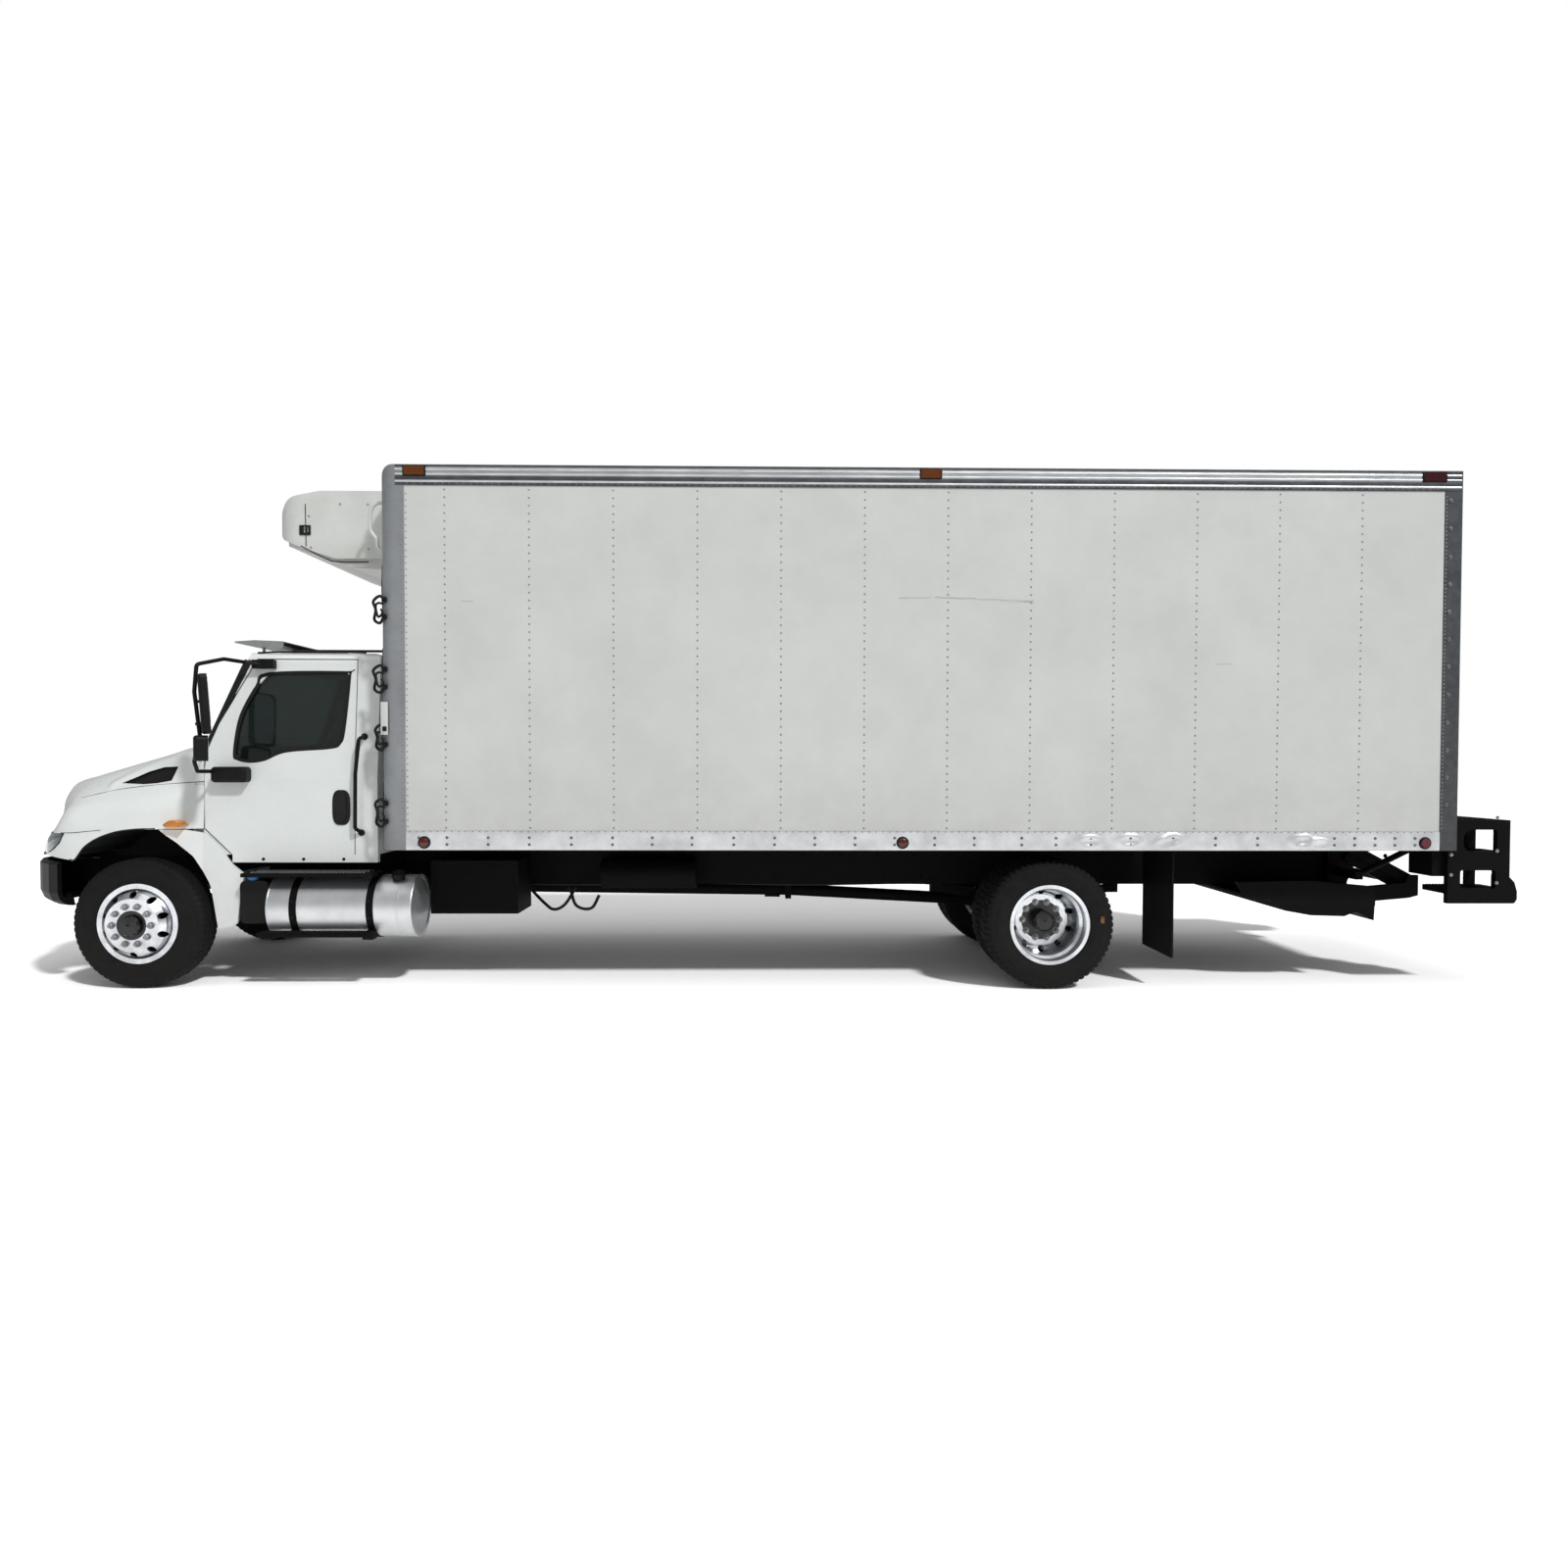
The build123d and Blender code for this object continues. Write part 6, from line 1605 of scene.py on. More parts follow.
# ---------------------------------------------------------------- box fittings
@dataclass
class BoxDress:
    """Rail skins, bolts, lamp housings, hoses and scuffs on the box."""

    rail_bolts: tuple[float, ...] = (
        2531, 2327, 2028, 1729, 1424, 1124, 834, 544, 239, -60, -355, -650, -940, -1235, -1527, -1877,
        -2130, -2387, -2681, -2995, -3311, -3624, -3911, -4195, -4347, -4499, -4647, -4797)
    rail_dents: tuple[tuple[float, float], ...] = (
        (-2379, 1112), (-2677, 1120), (-2945, 1098), (-2989, 1126), (-3965, 1118), (-4075, 1092))
    post_bolts: tuple[float, ...] = (3623, 3419, 3211, 3011, 2809, 2608, 2406, 2201, 1995, 1793, 1590, 1391)
    rail_rivet_pitch: float = 50.8
    # X, distance from the centre plane, height of the first over the rail, pitch, number, radius, height
    upright_rivets: tuple[tuple, ...] = (
        (2646, BOX_HALF, 30, 45.5, 54, 5.5, 3.6), (2612, BOX_HALF - RAIL_PROUD + 1, 30, 45.5, 54, 5.5, 3.6),
        (-4992, BOX_HALF, 26, 28, 88, 6, 4))
    # Distance of each long lamp's front end behind the box's front, and its length.
    lamps_top: tuple[tuple[float, float], ...] = ((193, 147), (3937, 143), (7633, 161))
    lamps_round: tuple[float, ...] = (323, 3814, 7687)
    lamp_z: float = 1105.0
    # Height, half its depth and how far it stands proud, of each rib on the top rail.
    bright_ribs: tuple[tuple[float, float, float], ...] = ((3720, 6, 4), (3772, 5, 4), (3806, 6, 4))
    dark_ribs: tuple[tuple[float, float, float], ...] = (
        (3745, 14, 4.5), (TOP_RAIL_LOW + 12, 11, 3), (3832, 7, 5))
    # Top, foot and reach forward of each pair of hose loops on the front corner.
    hose_loops: tuple[tuple[float, float, float], ...] = (
        (2896, 2702, 58), (2393, 2196, 62), (1961, 1776, 50), (1419, 1216, 54))
    # Start X, end X, start Z, end Z and half width of each scrape.
    scrapes: tuple[tuple[float, ...], ...] = (
        (-962, -1200, 2893, 2899, 2.6), (-1230, -1530, 2902, 2892, 3.4), (-1540, -1953, 2890, 2878, 2.2),
        (-1700, -1950, 2873, 2866, 1.6), (2210, 2130, 2860, 2858, 1.8), (-3300, -3420, 2420, 2424, 1.6))

    def rail(self) -> None:
        """Skin of the bottom rail: bright metal, rippled and dented between its bolts."""
        front, rear = SHEET_FRONT_X, SHEET_REAR_X
        count = round((front - rear) / 24)
        for side in Side:
            sculpt = Sculpt()
            rings = []
            for i in range(count + 1):
                x = front - (front - rear) * i / count
                column = []
                for k in range(13):
                    z = BOX_BOTTOM + 3 + (BOTTOM_RAIL_TOP - BOX_BOTTOM - 6) * k / 12
                    out = 1.6 + 1.0 * noise.noise(Vector((x / 130, side.value * 5.0, z / 90)))
                    if side is Side.LEFT:
                        for dent_x, dent_z in self.rail_dents:
                            far = math.hypot((x - dent_x) / 62, (z - dent_z) / 34)
                            out += 9.0 * math.exp(-((far - 1.15) / 0.42) ** 2)
                            out -= 2.2 * math.exp(-(far / 0.55) ** 2)
                    edge = min(k, 12 - k) / 1.5
                    column.append(Vector((x, side.value * (BOX_HALF + max(0.5, out * min(edge, 1.0))), z)))
                rings.append(column)
            sculpt.skin(rings, wrap=False, caps=False)
            sculpt.piece(f"bottom_rail_skin_{side.word}", RAIL_METAL, "chassis", 60)

    def bolts(self) -> None:
        """Rail bolts and the closely spaced rivets of the rails, corners and door frame."""
        bolts, rivets = Sculpt(), Sculpt()
        for x in self.rail_bolts:
            for z in (1140, 1090):
                bolts.lathe([(11, 0), (11, 3), (8, 6), (0, 8)], Vector((x, BOX_HALF + 1, z)), OUTWARD, 10)
        for z in self.post_bolts:
            bolts.lathe([(17, -1), (17, 3), (11, 4), (10, 10), (0, 12)], Vector((-5022, BOX_HALF, z)),
                        OUTWARD, 12)
        pitch = self.rail_rivet_pitch
        for k in range(int((SHEET_FRONT_X - SHEET_REAR_X) / pitch)):
            x = SHEET_FRONT_X - 25 - pitch * k
            for z in (BOTTOM_RAIL_TOP - 6, TOP_RAIL_LOW + 13):
                rivets.rivet((x, BOX_HALF + 0.5, z), OUTWARD, 5.2, 3.4)
        for x, y, first, step, count, radius, height in self.upright_rivets:
            for k in range(count):
                rivets.rivet((x, y, BOTTOM_RAIL_TOP + first + step * k), OUTWARD, radius, height)
        bolts.pair("box_bolts", BOLT_GREY)
        rivets.pair("rail_rivets", RIVET_ALUMINIUM)

    def top_rail(self) -> None:
        """Ribs along the top rail, and the dark beads above and below them."""
        for ribs, name, finish in ((self.bright_ribs, "top_rail_ribs", RAIL_METAL),
                                   (self.dark_ribs, "top_rail_beads", DARK_BEAD_ALLOY)):
            sculpt = Sculpt()
            for z, high, proud in ribs:
                half = [(-3, high), (proud * 0.6, high), (proud, high * 0.5)]
                outline = [(BOX_HALF + out, z - up) for out, up in half]
                outline += [(BOX_HALF + out, z + up) for out, up in reversed(half)]
                sculpt.prism(Axis.X, outline, BOX_REAR_X + 10, BOX_FRONT_X - 128)
            sculpt.pair(name, finish)

    def lamp_bases(self) -> None:
        """Bezels and gaskets behind the marker lamps, and the caps of the round ones."""
        sculpt = Sculpt()
        for behind, length in self.lamps_top:
            x = BOX_FRONT_X - behind
            sculpt.slab((x - length - 7, BOX_HALF - 2, BOX_TOP - 85), (x + 7, BOX_HALF + 5, BOX_TOP - 7), 3)
            for end in (x + 2, x - length - 2):
                sculpt.slab((end - 7, BOX_HALF - 2, BOX_TOP - 80), (end + 7, BOX_HALF + 11, BOX_TOP - 12), 3)
        places = [Vector((BOX_FRONT_X - behind, BOX_HALF, self.lamp_z)) for behind in self.lamps_round]
        for place in places:
            sculpt.lathe([(34.5, -1), (46, -1), (46, 4), (41, 10), (35, 12)], place, OUTWARD, 32, closed=True)
        sculpt.pair("marker_lamp_bases", MOULDED_BLACK)
        caps = Sculpt()
        for place in places[:-1]:
            caps.lathe([(35, 2), (35, 13), (31, 19), (20, 23), (0.5, 24.5)], place, OUTWARD, 32)
        caps.pair("side_lamp_caps", SIDE_LENS)

    def front_corner(self) -> None:
        """Hoses, conduit and a blank plate on the box's front corner."""
        hoses, clips, tube, plate = Sculpt(), Sculpt(), Sculpt(), Sculpt()
        face = BOX_FRONT_X
        for top, low, reach in self.hose_loops:
            y, middle = 1292, (top + low) / 2
            # how far ahead of the box's front, how far inboard, height
            outer = ((-40, 8, top - 30), (-2, 26, top), (reach, 62, top - 34), (reach * 0.7, 60, middle),
                     (reach * 0.9, 66, low + 28), (4, 40, low), (-34, 6, low + 34))
            inner = ((-36, -2, top - 60), (8, 20, top - 52), (reach * 0.6, 44, middle + 24),
                     (10, 24, low + 44), (-30, 0, low + 66), (-20, 2, middle))
            for route, radius in ((outer, 10.5), (inner, 8.5)):
                hoses.hose([(face + on, y - inboard, z) for on, inboard, z in route], radius, 10, 7)
            for z in (top - 30, low + 40):
                clips.slab((face - 58, y - 22, z - 18), (face - 26, y + 12, z + 18), 5)
        for z in (3140, 2530, 2050, 1540):
            hoses.hose([(face + 16, 1150, z), (face + 20, 1152, z - 180), (face + 15, 1150, z - 360)], 8, 8,
                       5)
        conduit = ((-4, 1140, 3600), (70, 1150, 3586), (104, 1152, 3520), (104, 1152, 3400), (60, 1150, 3330),
                   (52, 1148, 3270), (-4, 1146, 3240))
        tube.hose([(face + on, y, z) for on, y, z in conduit], 13, 12, 7)
        plate.slab((2749, BOX_HALF - 1, 1888), (2801, BOX_HALF + 4, 2126), 2.5)
        for z in (1902, 2112):
            plate.rivet((2775, BOX_HALF + 4, z), OUTWARD, 4, 2)
        hoses.piece("corner_hoses", EPDM_RUBBER, "chassis")
        clips.piece("corner_hose_clips", MOULDED_BLACK, "chassis")
        tube.piece("corner_conduit", GELCOAT, "chassis")
        plate.piece("blank_plate", PREPAINTED_SHEET, "chassis")

    def scuffs(self) -> None:
        """Long scrape across the side sheet, and short ones near it."""
        sculpt = Sculpt()
        skin = BOX_HALF - RAIL_PROUD + 2.6
        for x0, x1, z0, z1, thick in self.scrapes:
            points = []
            for k in range(7):
                stray = 4 * noise.noise(Vector((x0 + k, z0, 0.5)))
                points.append((x0 + (x1 - x0) * k / 6, skin, z0 + (z1 - z0) * k / 6 + stray))
            sculpt.hose(points, thick, 6, 3)
        sculpt.piece("side_scrapes", SCRAPE_GREY, "chassis")

    def tail(self) -> None:
        """Lock bar, hinges and pull strap of the roll-up door."""
        steel, rubber = Sculpt(), Sculpt()
        x = BOX_REAR_X + 22
        steel.slab((x - 14, -150, 1330), (x, 150, 1378), 4)
        steel.slab((x - 30, -24, 1318), (x - 12, 24, 1470), 5)
        for y in (-90, 0, 90):
            steel.bolt((x - 13, y, 1354), REARWARD, 17, 8)
        for z in (1500, 1860, 2220, 2580, 2940, 3300):
            for y in (-1040, -350, 350, 1040):
                steel.slab((x - 7, y - 32, z - 44), (x + 1, y + 32, z + 44), 3)
        rubber.hose([(x - 8, 260, 1300), (x - 14, 262, 1220), (x - 10, 258, 1150)], 9, 8)
        steel.piece("roll_door_hardware", ZINC_FASTENER, "chassis")
        rubber.piece("roll_door_strap", EPDM_RUBBER, "chassis")

    def build(self) -> None:
        """Make the box's fittings."""
        self.rail()
        self.bolts()
        self.top_rail()
        self.lamp_bases()
        self.front_corner()
        self.scuffs()
        self.tail()


@dataclass
class ReeferDress:
    """Seams, latch and screws on the cooling unit's cover."""

    half: float = 930.0

    def build(self) -> None:
        """Make the seams, the latches and the screws on both sides."""
        dark, pale = Sculpt(), Sculpt()
        y = self.half + 1.0
        dark.hose([(3492, y, 3640), (3491, y, 3470), (3489, y, 3322)], 3.2, 8, 6)
        dark.hose([(3530, y - 3, 3324), (3335, y, 3226), (3250, y, 3206), (3020, y, 3204)], 4.5, 8, 6)
        dark.slab((3452, y - 4, 3404), (3538, y + 9, 3480), 8, 3)
        pale.slab((3488, y + 6, 3420), (3500, y + 15, 3466), 3)
        pale.slab((3466, y + 6, 3424), (3474, y + 13, 3462), 2)
        for x, z in ((3465, 3548), (3452, 3312), (3020, 3640), (3020, 3300), (3230, 3640)):
            pale.lathe([(9, -1), (9, 3), (6, 5)], Vector((x, self.half, z)), OUTWARD, 12)
        dark.pair("reefer_seams", EPDM_RUBBER)
        pale.pair("reefer_screws", ZINC_FASTENER)


# ---------------------------------------------------------------- under the frame
@dataclass
class Underbody:
    """Tank fittings, step plates, brake chambers, hoses and frame hardware."""

    # Distance of the tank's axis from the centre plane, its height, and the tank's radius.
    tank: tuple[float, float, float] = (940.0, 597.0, 235.0)
    tank_x: tuple[float, float] = (2643.0, 3698.0)
    # Across and up, round a spring and over its axle; then X and Z round one splash guard.
    spring_bolt: Outline = ((-46, 300), (-48, 620), (0, 690), (48, 620), (46, 300))
    guard: Outline = (
        (4230, 1010), (4300, 1150), (4500, 1240), (4800, 1240), (5060, 1150), (5180, 1010), (5160, 940),
        (4250, 940))
    # Route and radius of each air line and cable, and the points round it.
    lines: tuple[tuple, ...] = (
        (((2300, 395, 700), (1500, 400, 690), (700, 396, 705), (-300, 400, 690), (-1300, 398, 700),
          (-1800, 420, 640)), 10, 8),
        (((2300, 370, 730), (1200, 372, 722), (0, 368, 728), (-1500, 372, 690)), 8, 8),
        (((1890, 470, 640), (1780, 560, 560), (1690, 640, 520), (1600, 650, 560), (1520, 600, 690)), 12, 10),
        (((1560, 650, 700), (1500, 700, 560), (1380, 720, 540), (1320, 690, 640)), 12, 10))

    def tank_fittings(self) -> None:
        """Rolled rims and dished ends of the tank, its caps and strap bolts."""
        y, z, r = self.tank
        rear, front = self.tank_x
        bright, black, blue = Sculpt(), Sculpt(), Sculpt()
        for x, way in ((rear, REARWARD), (front, AHEAD)):
            bright.lathe([(r - 16, -4), (r + 2, -4), (r + 4, 2), (r + 1, 8), (r - 10, 10), (r - 22, 6)],
                         Vector((x, y, z)), way, 64, closed=True)
            bright.lathe([(r - 24, -2), (r - 60, 6), (r * 0.5, 13), (30, 16), (0, 16.5)], Vector((x, y, z)),
                         way, 48)
        bright.lathe([(r + 0.5, -6), (r + 3, -3), (r + 3, 3), (r + 0.5, 6)], Vector((rear + 96, y, z)), AHEAD,
                     64, closed=True)
        cap_x = rear + 126
        black.lathe([(44, -10), (44, 26), (52, 28), (52, 52), (46, 58), (0, 60)],
                    Vector((cap_x, y + 96, z + r - 24)), Vector((0, 0.34, 0.94)), 28)
        for turn in range(6):
            angle = math.tau * turn / 6
            on, out = cap_x + 40 * math.cos(angle), y + 112 + 40 * math.sin(angle)
            black.slab((on - 5, out - 5, z + r + 26), (on + 5, out + 5, z + r + 36), 2)
        blue.lathe([(36, -6), (36, 22), (43, 24), (43, 46), (38, 51), (0, 52)],
                   Vector((3838, 1062, 796)), Vector((0, 0.25, 0.97)), 28)
        for x in (3508, 2943):
            for dz in (-60, 60):
                black.bolt((x, y + r + 2, z + dz), OUTWARD, 15, 8)
        black.hose([(3720, 760, 820), (3740, 800, 760), (3745, 860, 640), (3725, 900, 560)], 13, 10)
        black.hose([(3745, 1000, 830), (3780, 1040, 800), (3800, 1060, 700), (3790, 1040, 560)], 11, 10)
        bright.piece("tank_rims", BRUSHED_TANK, "chassis")
        black.piece("tank_caps", MOULDED_BLACK, "chassis")
        blue.piece("fluid_cap", CAP_BLUE, "chassis")

    def step_plates(self) -> None:
        """Raised perforations of the upper step and grips on the lower one."""
        holes, grips = Sculpt(), Sculpt()
        for i in range(34):
            for k in range(5):
                x = 2990 + 25 * i + (12 if k % 2 else 0)
                holes.lathe([(5.5, 0), (8.5, 0), (8, 4.5), (6, 5)], Vector((x, 975 + k * 44, 866)), UP, 8,
                            closed=True)
        for z in (843, 852, 861):
            grips.hose([(2912, 1201, z), (3300, 1201.5, z), (3868, 1201, z)], 2.2, 6, 3)
        for i in range(40):
            grips.slab((2925 + 21 * i, 1118, 427), (2933 + 21 * i, 1197, 434), 2, 1)
        for x in (2950, 3700):
            grips.slab((x - 40, 1100, 372), (x + 40, 1190, 394), 6)
        holes.piece("step_perforations", ZINC_FASTENER, "chassis")
        grips.piece("step_grips", MOULDED_BLACK, "chassis")

    def running_gear(self) -> None:
        """Brake chambers, spring clamps, hoses and bolts along the frame."""
        gear, air = Sculpt(), Sculpt()
        for y in (-420, 420):
            gear.lathe([(20, -90), (62, -84), (80, -66), (80, -8), (86, -4), (86, 8), (80, 12), (80, 74),
                        (60, 92), (0, 96)], Vector((REAR_AXLE_X + 230, y, 470)), Vector((1, 0, 0.15)), 28)
            for x in (REAR_AXLE_X - 75, REAR_AXLE_X + 75):
                gear.hose([(x, y * 1.2 + across, z) for across, z in self.spring_bolt], 11, 10)
        for k in range(26):
            x = 2400 - 300 * k
            for side in (-1, 1):
                gear.bolt((x, side * 431, 930), OUTWARD * side, 22, 12)
                gear.bolt((x - 60, side * 431, 760), OUTWARD * side, 22, 12)
        for route, radius, sides in self.lines:
            air.hose(list(route), radius, sides)
        gear.piece("frame_hardware", SHADED_CHASSIS_BLACK, "chassis")
        air.piece("frame_hoses", EPDM_RUBBER, "chassis")

    def splash_guards(self) -> None:
        """Rubber curtains beside the engine, inside the front wheel arches."""
        sculpt = Sculpt()
        for low, high in ((-554.0, -548.0), (548.0, 554.0)):
            sculpt.prism(Axis.Y, [(z, x) for x, z in self.guard], low, high)
        sculpt.piece("splash_guards", LINING_IN_SHADE, "hood")

    def tow_hooks(self) -> None:
        """Tow hooks under the bumper."""
        sculpt = Sculpt()
        for y in (-300, 300):
            sculpt.hose([(5540, y - 34, 600), (5606, y - 34, 596), (5624, y, 592), (5606, y + 34, 596),
                         (5540, y + 34, 600)], 11, 10)
        sculpt.piece("tow_hooks", SHADED_CHASSIS_BLACK, "chassis")

    def build(self) -> None:
        """Make the fittings under the frame."""
        self.tank_fittings()
        self.step_plates()
        self.running_gear()
        self.splash_guards()
        self.tow_hooks()


@dataclass
class GateDress:
    """Bolts and tread plates on the lift gate and step towers."""

    treads: tuple[float, ...] = (751.0, 1030.0, 1270.0)
    bolts: tuple[tuple[float, float], ...] = (
        (-5134, 1330), (-5134, 1180), (-5134, 1010), (-5134, 860), (-5480, 1290), (-5480, 1040), (-5480, 800))

    def build(self) -> None:
        """Make the pieces on both towers."""
        bolts, grips = Sculpt(), Sculpt()
        for x, z in self.bolts:
            bolts.lathe([(13, -1), (13, 3), (9, 4), (8, 12), (0, 13)], Vector((x, 1200, z)), OUTWARD, 10)
        for z in self.treads:
            for k in range(14):
                grips.slab((-5480 + 25 * k, 885, z - 1), (-5470 + 25 * k, 1150, z + 5), 2, 1)
        for k in range(3):
            bolts.bolt((-5588, 1040 + 55 * k, 700), REARWARD, 20, 9)
        bolts.pair("tower_bolts", ZINC_FASTENER)
        grips.pair("tower_grips", SHADED_CHASSIS_BLACK)


# ---------------------------------------------------------------- seats
@dataclass
class Seats:
    """Two sprung seats: stuffed cushions with welted seams on moulded bases."""

    places: tuple[float, float] = (520.0, -520.0)
    base_x: float = CAB_REAR_X + 192.0
    floor_z: float = 1054.0
    # In metres: depth of a seam, size of the cloth's mesh, and the furthest that pressure may move it.
    seam_depth: float = 0.007
    voxel: float = 0.009
    reach: float = 0.022
    last_frame: int = 12
    # Name, length, width, thickness, crown, ahead, up, and turn in radians of each pad.
    pads: tuple[tuple, ...] = (
        ("cushion", (500, 470, 120), 14, 262, 325, -0.05),
        ("back", (540, 450, 110), 12, 62, 680, math.radians(-96)),
        ("headrest", (150, 245, 78), 6, -5, 1050, math.radians(-94)))

    def pad(self, name: str, size: tuple[float, float, float], crown: float) -> bpy.types.Object:
        """Sew one stuffed pad about the origin, in metres.

        Args:
            name: The pad's name.
            size: Length, width and thickness in millimetres.
            crown: How far the pressure may lift its faces.

        Returns:
            The pad.
        """
        mesh = bmesh.new()
        bmesh.ops.create_cube(mesh, size=1.0)
        bmesh.ops.scale(mesh, vec=tuple(v * MM for v in size), verts=mesh.verts)
        edges = list(mesh.edges)
        bmesh.ops.bevel(mesh, geom=edges, offset=min(size) * 0.3 * MM, segments=4, profile=0.5,
                        affect="EDGES")
        bmesh.ops.subdivide_edges(mesh, edges=[e for e in mesh.edges if e.calc_length() > 0.05], cuts=9,
                                  use_grid_fill=True)
        half = [v * MM / 2 for v in size]
        for vert in mesh.verts:
            share = max(0.0, 1 - (vert.co.x / half[0]) ** 4) * max(0.0, 1 - (vert.co.y / half[1]) ** 4)
            seam = math.exp(-((abs(vert.co.y) - half[1] * 0.52) / 0.009) ** 2)
            if abs(vert.co.z) > half[2] * 0.6:
                vert.co.z += math.copysign(crown * MM * share - self.seam_depth * seam * share, vert.co.z)
        data = bpy.data.meshes.new(name)
        mesh.to_mesh(data)
        mesh.free()
        made = bpy.data.objects.new(name, data)
        bpy.context.scene.collection.objects.link(made)
        self.inflate(made)
        made.data.shade_smooth()
        return made

    def inflate(self, pad: bpy.types.Object) -> None:
        """Fill a pad under light pressure and keep its settled form, within reach of where it was.

        Args:
            pad: The pad.
        """
        remesh = pad.modifiers.new("remesh", "REMESH")
        remesh.mode = "VOXEL"
        remesh.voxel_size = self.voxel
        self.settle(pad)
        rest = [v.co.copy() for v in pad.data.vertices]
        cloth = pad.modifiers.new("cloth", "CLOTH")
        cloth.settings.use_pressure = True
        cloth.settings.uniform_pressure_force = 4.0
        cloth.settings.effector_weights.gravity = 0.0
        cloth.settings.quality = 4
        cloth.point_cache.frame_start = 1
        cloth.point_cache.frame_end = self.last_frame
        scene = bpy.context.scene
        for frame in range(1, self.last_frame + 1):
            scene.frame_set(frame)
            bpy.context.evaluated_depsgraph_get().update()
        self.settle(pad)
        scene.frame_set(1)
        for vert, start in zip(pad.data.vertices, rest):
            moved = vert.co - start
            if moved.length > self.reach:
                vert.co = start + moved.normalized() * self.reach

    def settle(self, pad: bpy.types.Object) -> None:
        """Apply a pad's modifiers.

        Args:
            pad: The pad.
        """
        graph = bpy.context.evaluated_depsgraph_get()
        data = bpy.data.meshes.new_from_object(pad.evaluated_get(graph))
        pad.modifiers.clear()
        pad.data = data

    def build(self) -> None:
        """Make the pads once and stand a copy of each on both bases."""
        b, z = self.base_x, self.floor_z
        sewn = {}
        for part, size, crown, on, up, turn in self.pads:
            stand = Matrix.Translation(Vector((b + on, 0, z + up)) * MM) @ Matrix.Rotation(turn, 4, "Y")
            sewn[part] = (self.pad(f"pad_{part}", size, crown), stand)
        base = Sculpt()
        for y in self.places:
            base.slab((b + 80, y - 180, z), (b + 430, y + 180, z + 240), 14)
            base.slab((b + 10, y - 215, z + 235), (b + 500, y + 215, z + 272), 12)
            base.slab((b - 28, y - 190, z + 420), (b + 12, y + 190, z + 900), 16)
            for dy in (-50, 50):
                base.hose([(b - 4, y + dy, z + 880), (b - 6, y + dy, z + 1010)], 7, 8, 2)
        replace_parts(base.piece("seat_bases", MOULDED_BLACK, "chassis"), "seats")
        for part, (source, stand) in sewn.items():
            twin = source.copy()
            twin.data = source.data.copy()
            bpy.context.scene.collection.objects.link(twin)
            for y, word, made in zip(self.places, ("left", "right"), (source, twin)):
                made.name = f"seat_{part}_{word}"
                made.data.transform(Matrix.Translation((0, y * MM, 0)) @ stand)
                made.data.materials.clear()
                made.data.materials.append(SEAT_CLOTH.build())
                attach(made, "chassis")


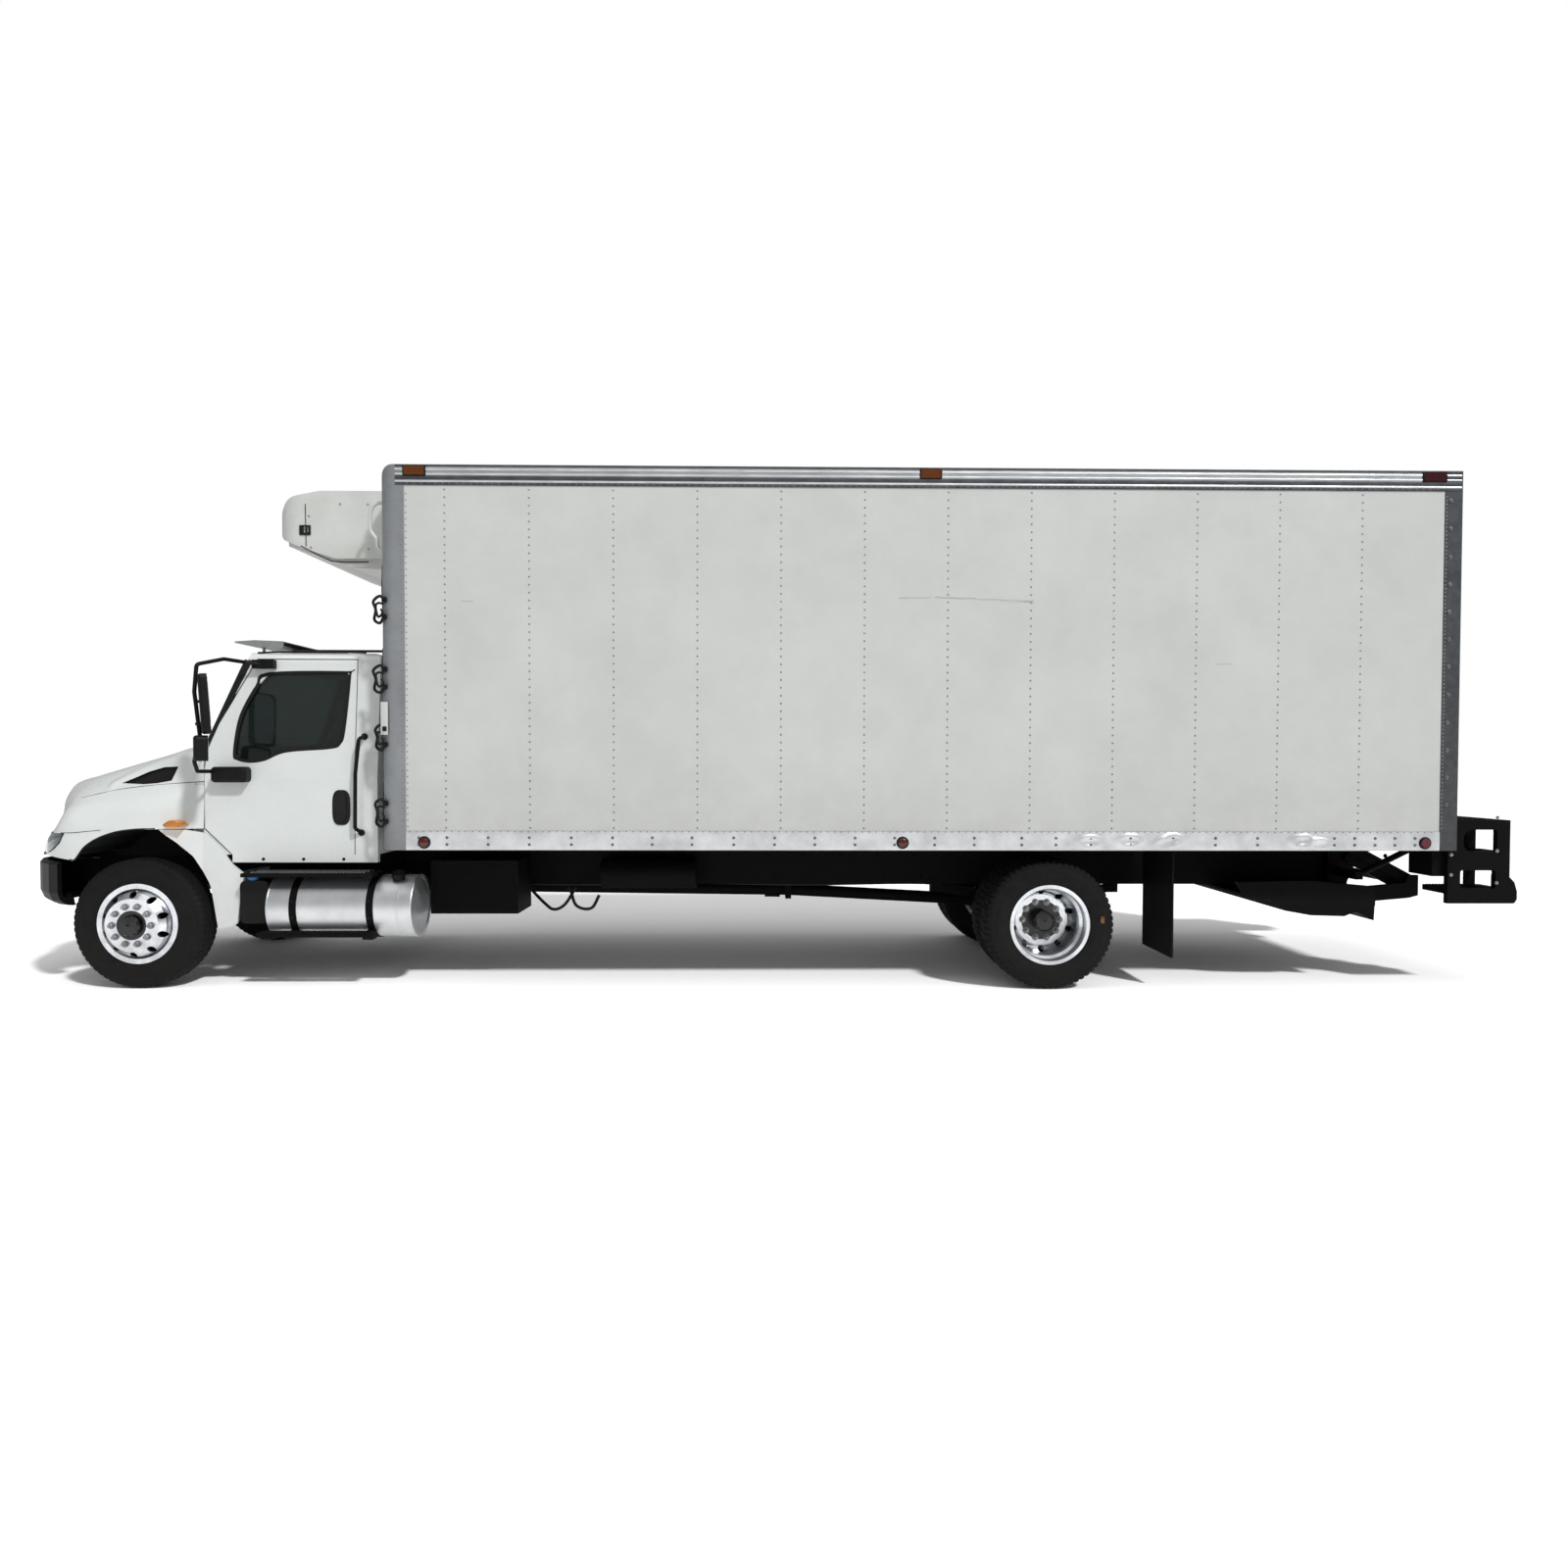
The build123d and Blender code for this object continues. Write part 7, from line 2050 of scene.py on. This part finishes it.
# ---------------------------------------------------------------- light and camera
@dataclass
class Studio:
    """Pale floor, soft light and the camera."""

    camera_at: tuple[float, float, float] = (-0.0069, 8.8369, 1.7174)
    yaw_deg: float = 179.082
    tilt_deg: float = 88.615
    roll_deg: float = 0.116
    lens_mm: float = 23.677
    floor_half: float = 60.0
    floor_gain: float = 1.36

    def floor(self) -> None:
        """Lay the floor: white where it is lit, and dark where the truck shades it."""
        material, tree, where = start_material("floor_paper")
        fibre = add_node(tree, "ShaderNodeTexNoise", {"Vector": where, "Scale": per_metre(900.0)})
        tone = blended(tree, fibre.outputs["Fac"], linear("#F4F4F4"), linear("#F7F7F7"))
        matt = add_node(tree, "ShaderNodeBsdfDiffuse", {"Color": tone})
        bright = add_node(tree, "ShaderNodeBsdfDiffuse", {"Color": (self.floor_gain,) * 3 + (1.0,)})
        rays = add_node(tree, "ShaderNodeLightPath").outputs
        seen = calculate(tree, "MAXIMUM", rays["Is Camera Ray"], rays["Is Glossy Ray"])
        seen = calculate(tree, "MAXIMUM", seen, rays["Is Transmission Ray"])
        mixed = add_node(tree, "ShaderNodeMixShader", {0: seen, 1: matt.outputs[0], 2: bright.outputs[0]})
        add_node(tree, "ShaderNodeOutputMaterial", {"Surface": mixed.outputs[0]})
        mesh = bmesh.new()
        h = self.floor_half
        mesh.faces.new([mesh.verts.new(p) for p in ((-h, -h, 0), (h, -h, 0), (h, h, 0), (-h, h, 0))])
        data = bpy.data.meshes.new("floor")
        mesh.to_mesh(data)
        mesh.free()
        data.materials.append(material)
        made = bpy.data.objects.new("floor", data)
        bpy.context.scene.collection.objects.link(made)

    def world(self) -> None:
        """Even light from all round; what the camera sees behind the truck is white."""
        world = bpy.data.worlds.new("studio")
        world.use_nodes = True
        tree = world.node_tree
        tree.nodes.clear()
        rays = add_node(tree, "ShaderNodeLightPath").outputs
        seen = calculate(tree, "MAXIMUM", rays["Is Camera Ray"], rays["Is Transmission Ray"])
        strength = add_node(tree, "ShaderNodeMapRange", {"Value": seen, "To Min": 0.36, "To Max": 1.0})
        back = add_node(tree, "ShaderNodeBackground", {
            "Color": linear("#FFFFFF"), "Strength": strength.outputs[0]})
        add_node(tree, "ShaderNodeOutputWorld", {"Surface": back.outputs[0]})
        bpy.context.scene.world = world

    def lamp(self, name: str, kind: str, energy: float, at: Vector, to: Vector, size: float) -> None:
        """Hang one lamp.

        Args:
            name: The lamp's name.
            kind: Blender's lamp type.
            energy: Watts, or strength for a sun.
            at: Where it hangs.
            to: Where it points.
            size: Side of the lamp in metres, or a sun's angle in degrees.
        """
        data = bpy.data.lights.new(name, kind)
        data.energy = energy
        if kind == "SUN":
            data.angle = math.radians(size)
        else:
            data.shape = "RECTANGLE"
            data.size = size
            data.size_y = size * 0.6
        lamp = bpy.data.objects.new(name, data)
        lamp.location = at
        lamp.rotation_euler = (to - at).to_track_quat("-Z", "Y").to_euler()
        bpy.context.scene.collection.objects.link(lamp)

    def camera(self) -> None:
        """Stand the camera on the driver's side."""
        data = bpy.data.cameras.new("camera")
        data.lens = self.lens_mm
        data.sensor_width = 36.0
        data.clip_end = 200.0
        camera = bpy.data.objects.new("camera", data)
        turn = (Matrix.Rotation(math.radians(self.yaw_deg), 4, "Z")
                @ Matrix.Rotation(math.radians(self.tilt_deg), 4, "X")
                @ Matrix.Rotation(math.radians(self.roll_deg), 4, "Z"))
        camera.matrix_world = Matrix.Translation(Vector(self.camera_at)) @ turn
        bpy.context.scene.collection.objects.link(camera)
        bpy.context.scene.camera = camera

    def build(self) -> None:
        """Set the studio up."""
        self.floor()
        self.world()
        self.lamp("key", "SUN", 2.15, Vector((-5.2, 6.4, 8.0)), Vector((0, 0, 0)), 5)
        self.lamp("overhead", "AREA", 330, Vector((0, 2, 9.5)), Vector((0, 0, 1)), 14)
        self.camera()
        bpy.context.scene.view_settings.view_transform = "Standard"


def dress_nodes(nodes: dict[str, bpy.types.Object]) -> None:
    """Give each carried-over solid its finish.

    Args:
        nodes: Objects by the names of their solids.
    """
    for name, node in nodes.items():
        finish = NODE_FINISH.get(name, SHADED_CHASSIS_BLACK)
        node.data.materials.clear()
        node.data.materials.append(finish.build())


def main() -> None:
    """Build every sub-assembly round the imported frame."""
    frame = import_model()
    dress_nodes(frame["nodes"])
    Wheels().build()
    BoxSkin().build()
    BoxDress().build()
    ReeferDress().build()
    Hood().build()
    CabDress().build()
    Underbody().build()
    GateDress().build()
    Seats().build()
    Studio().build()


if __name__ == "__main__":
    main()
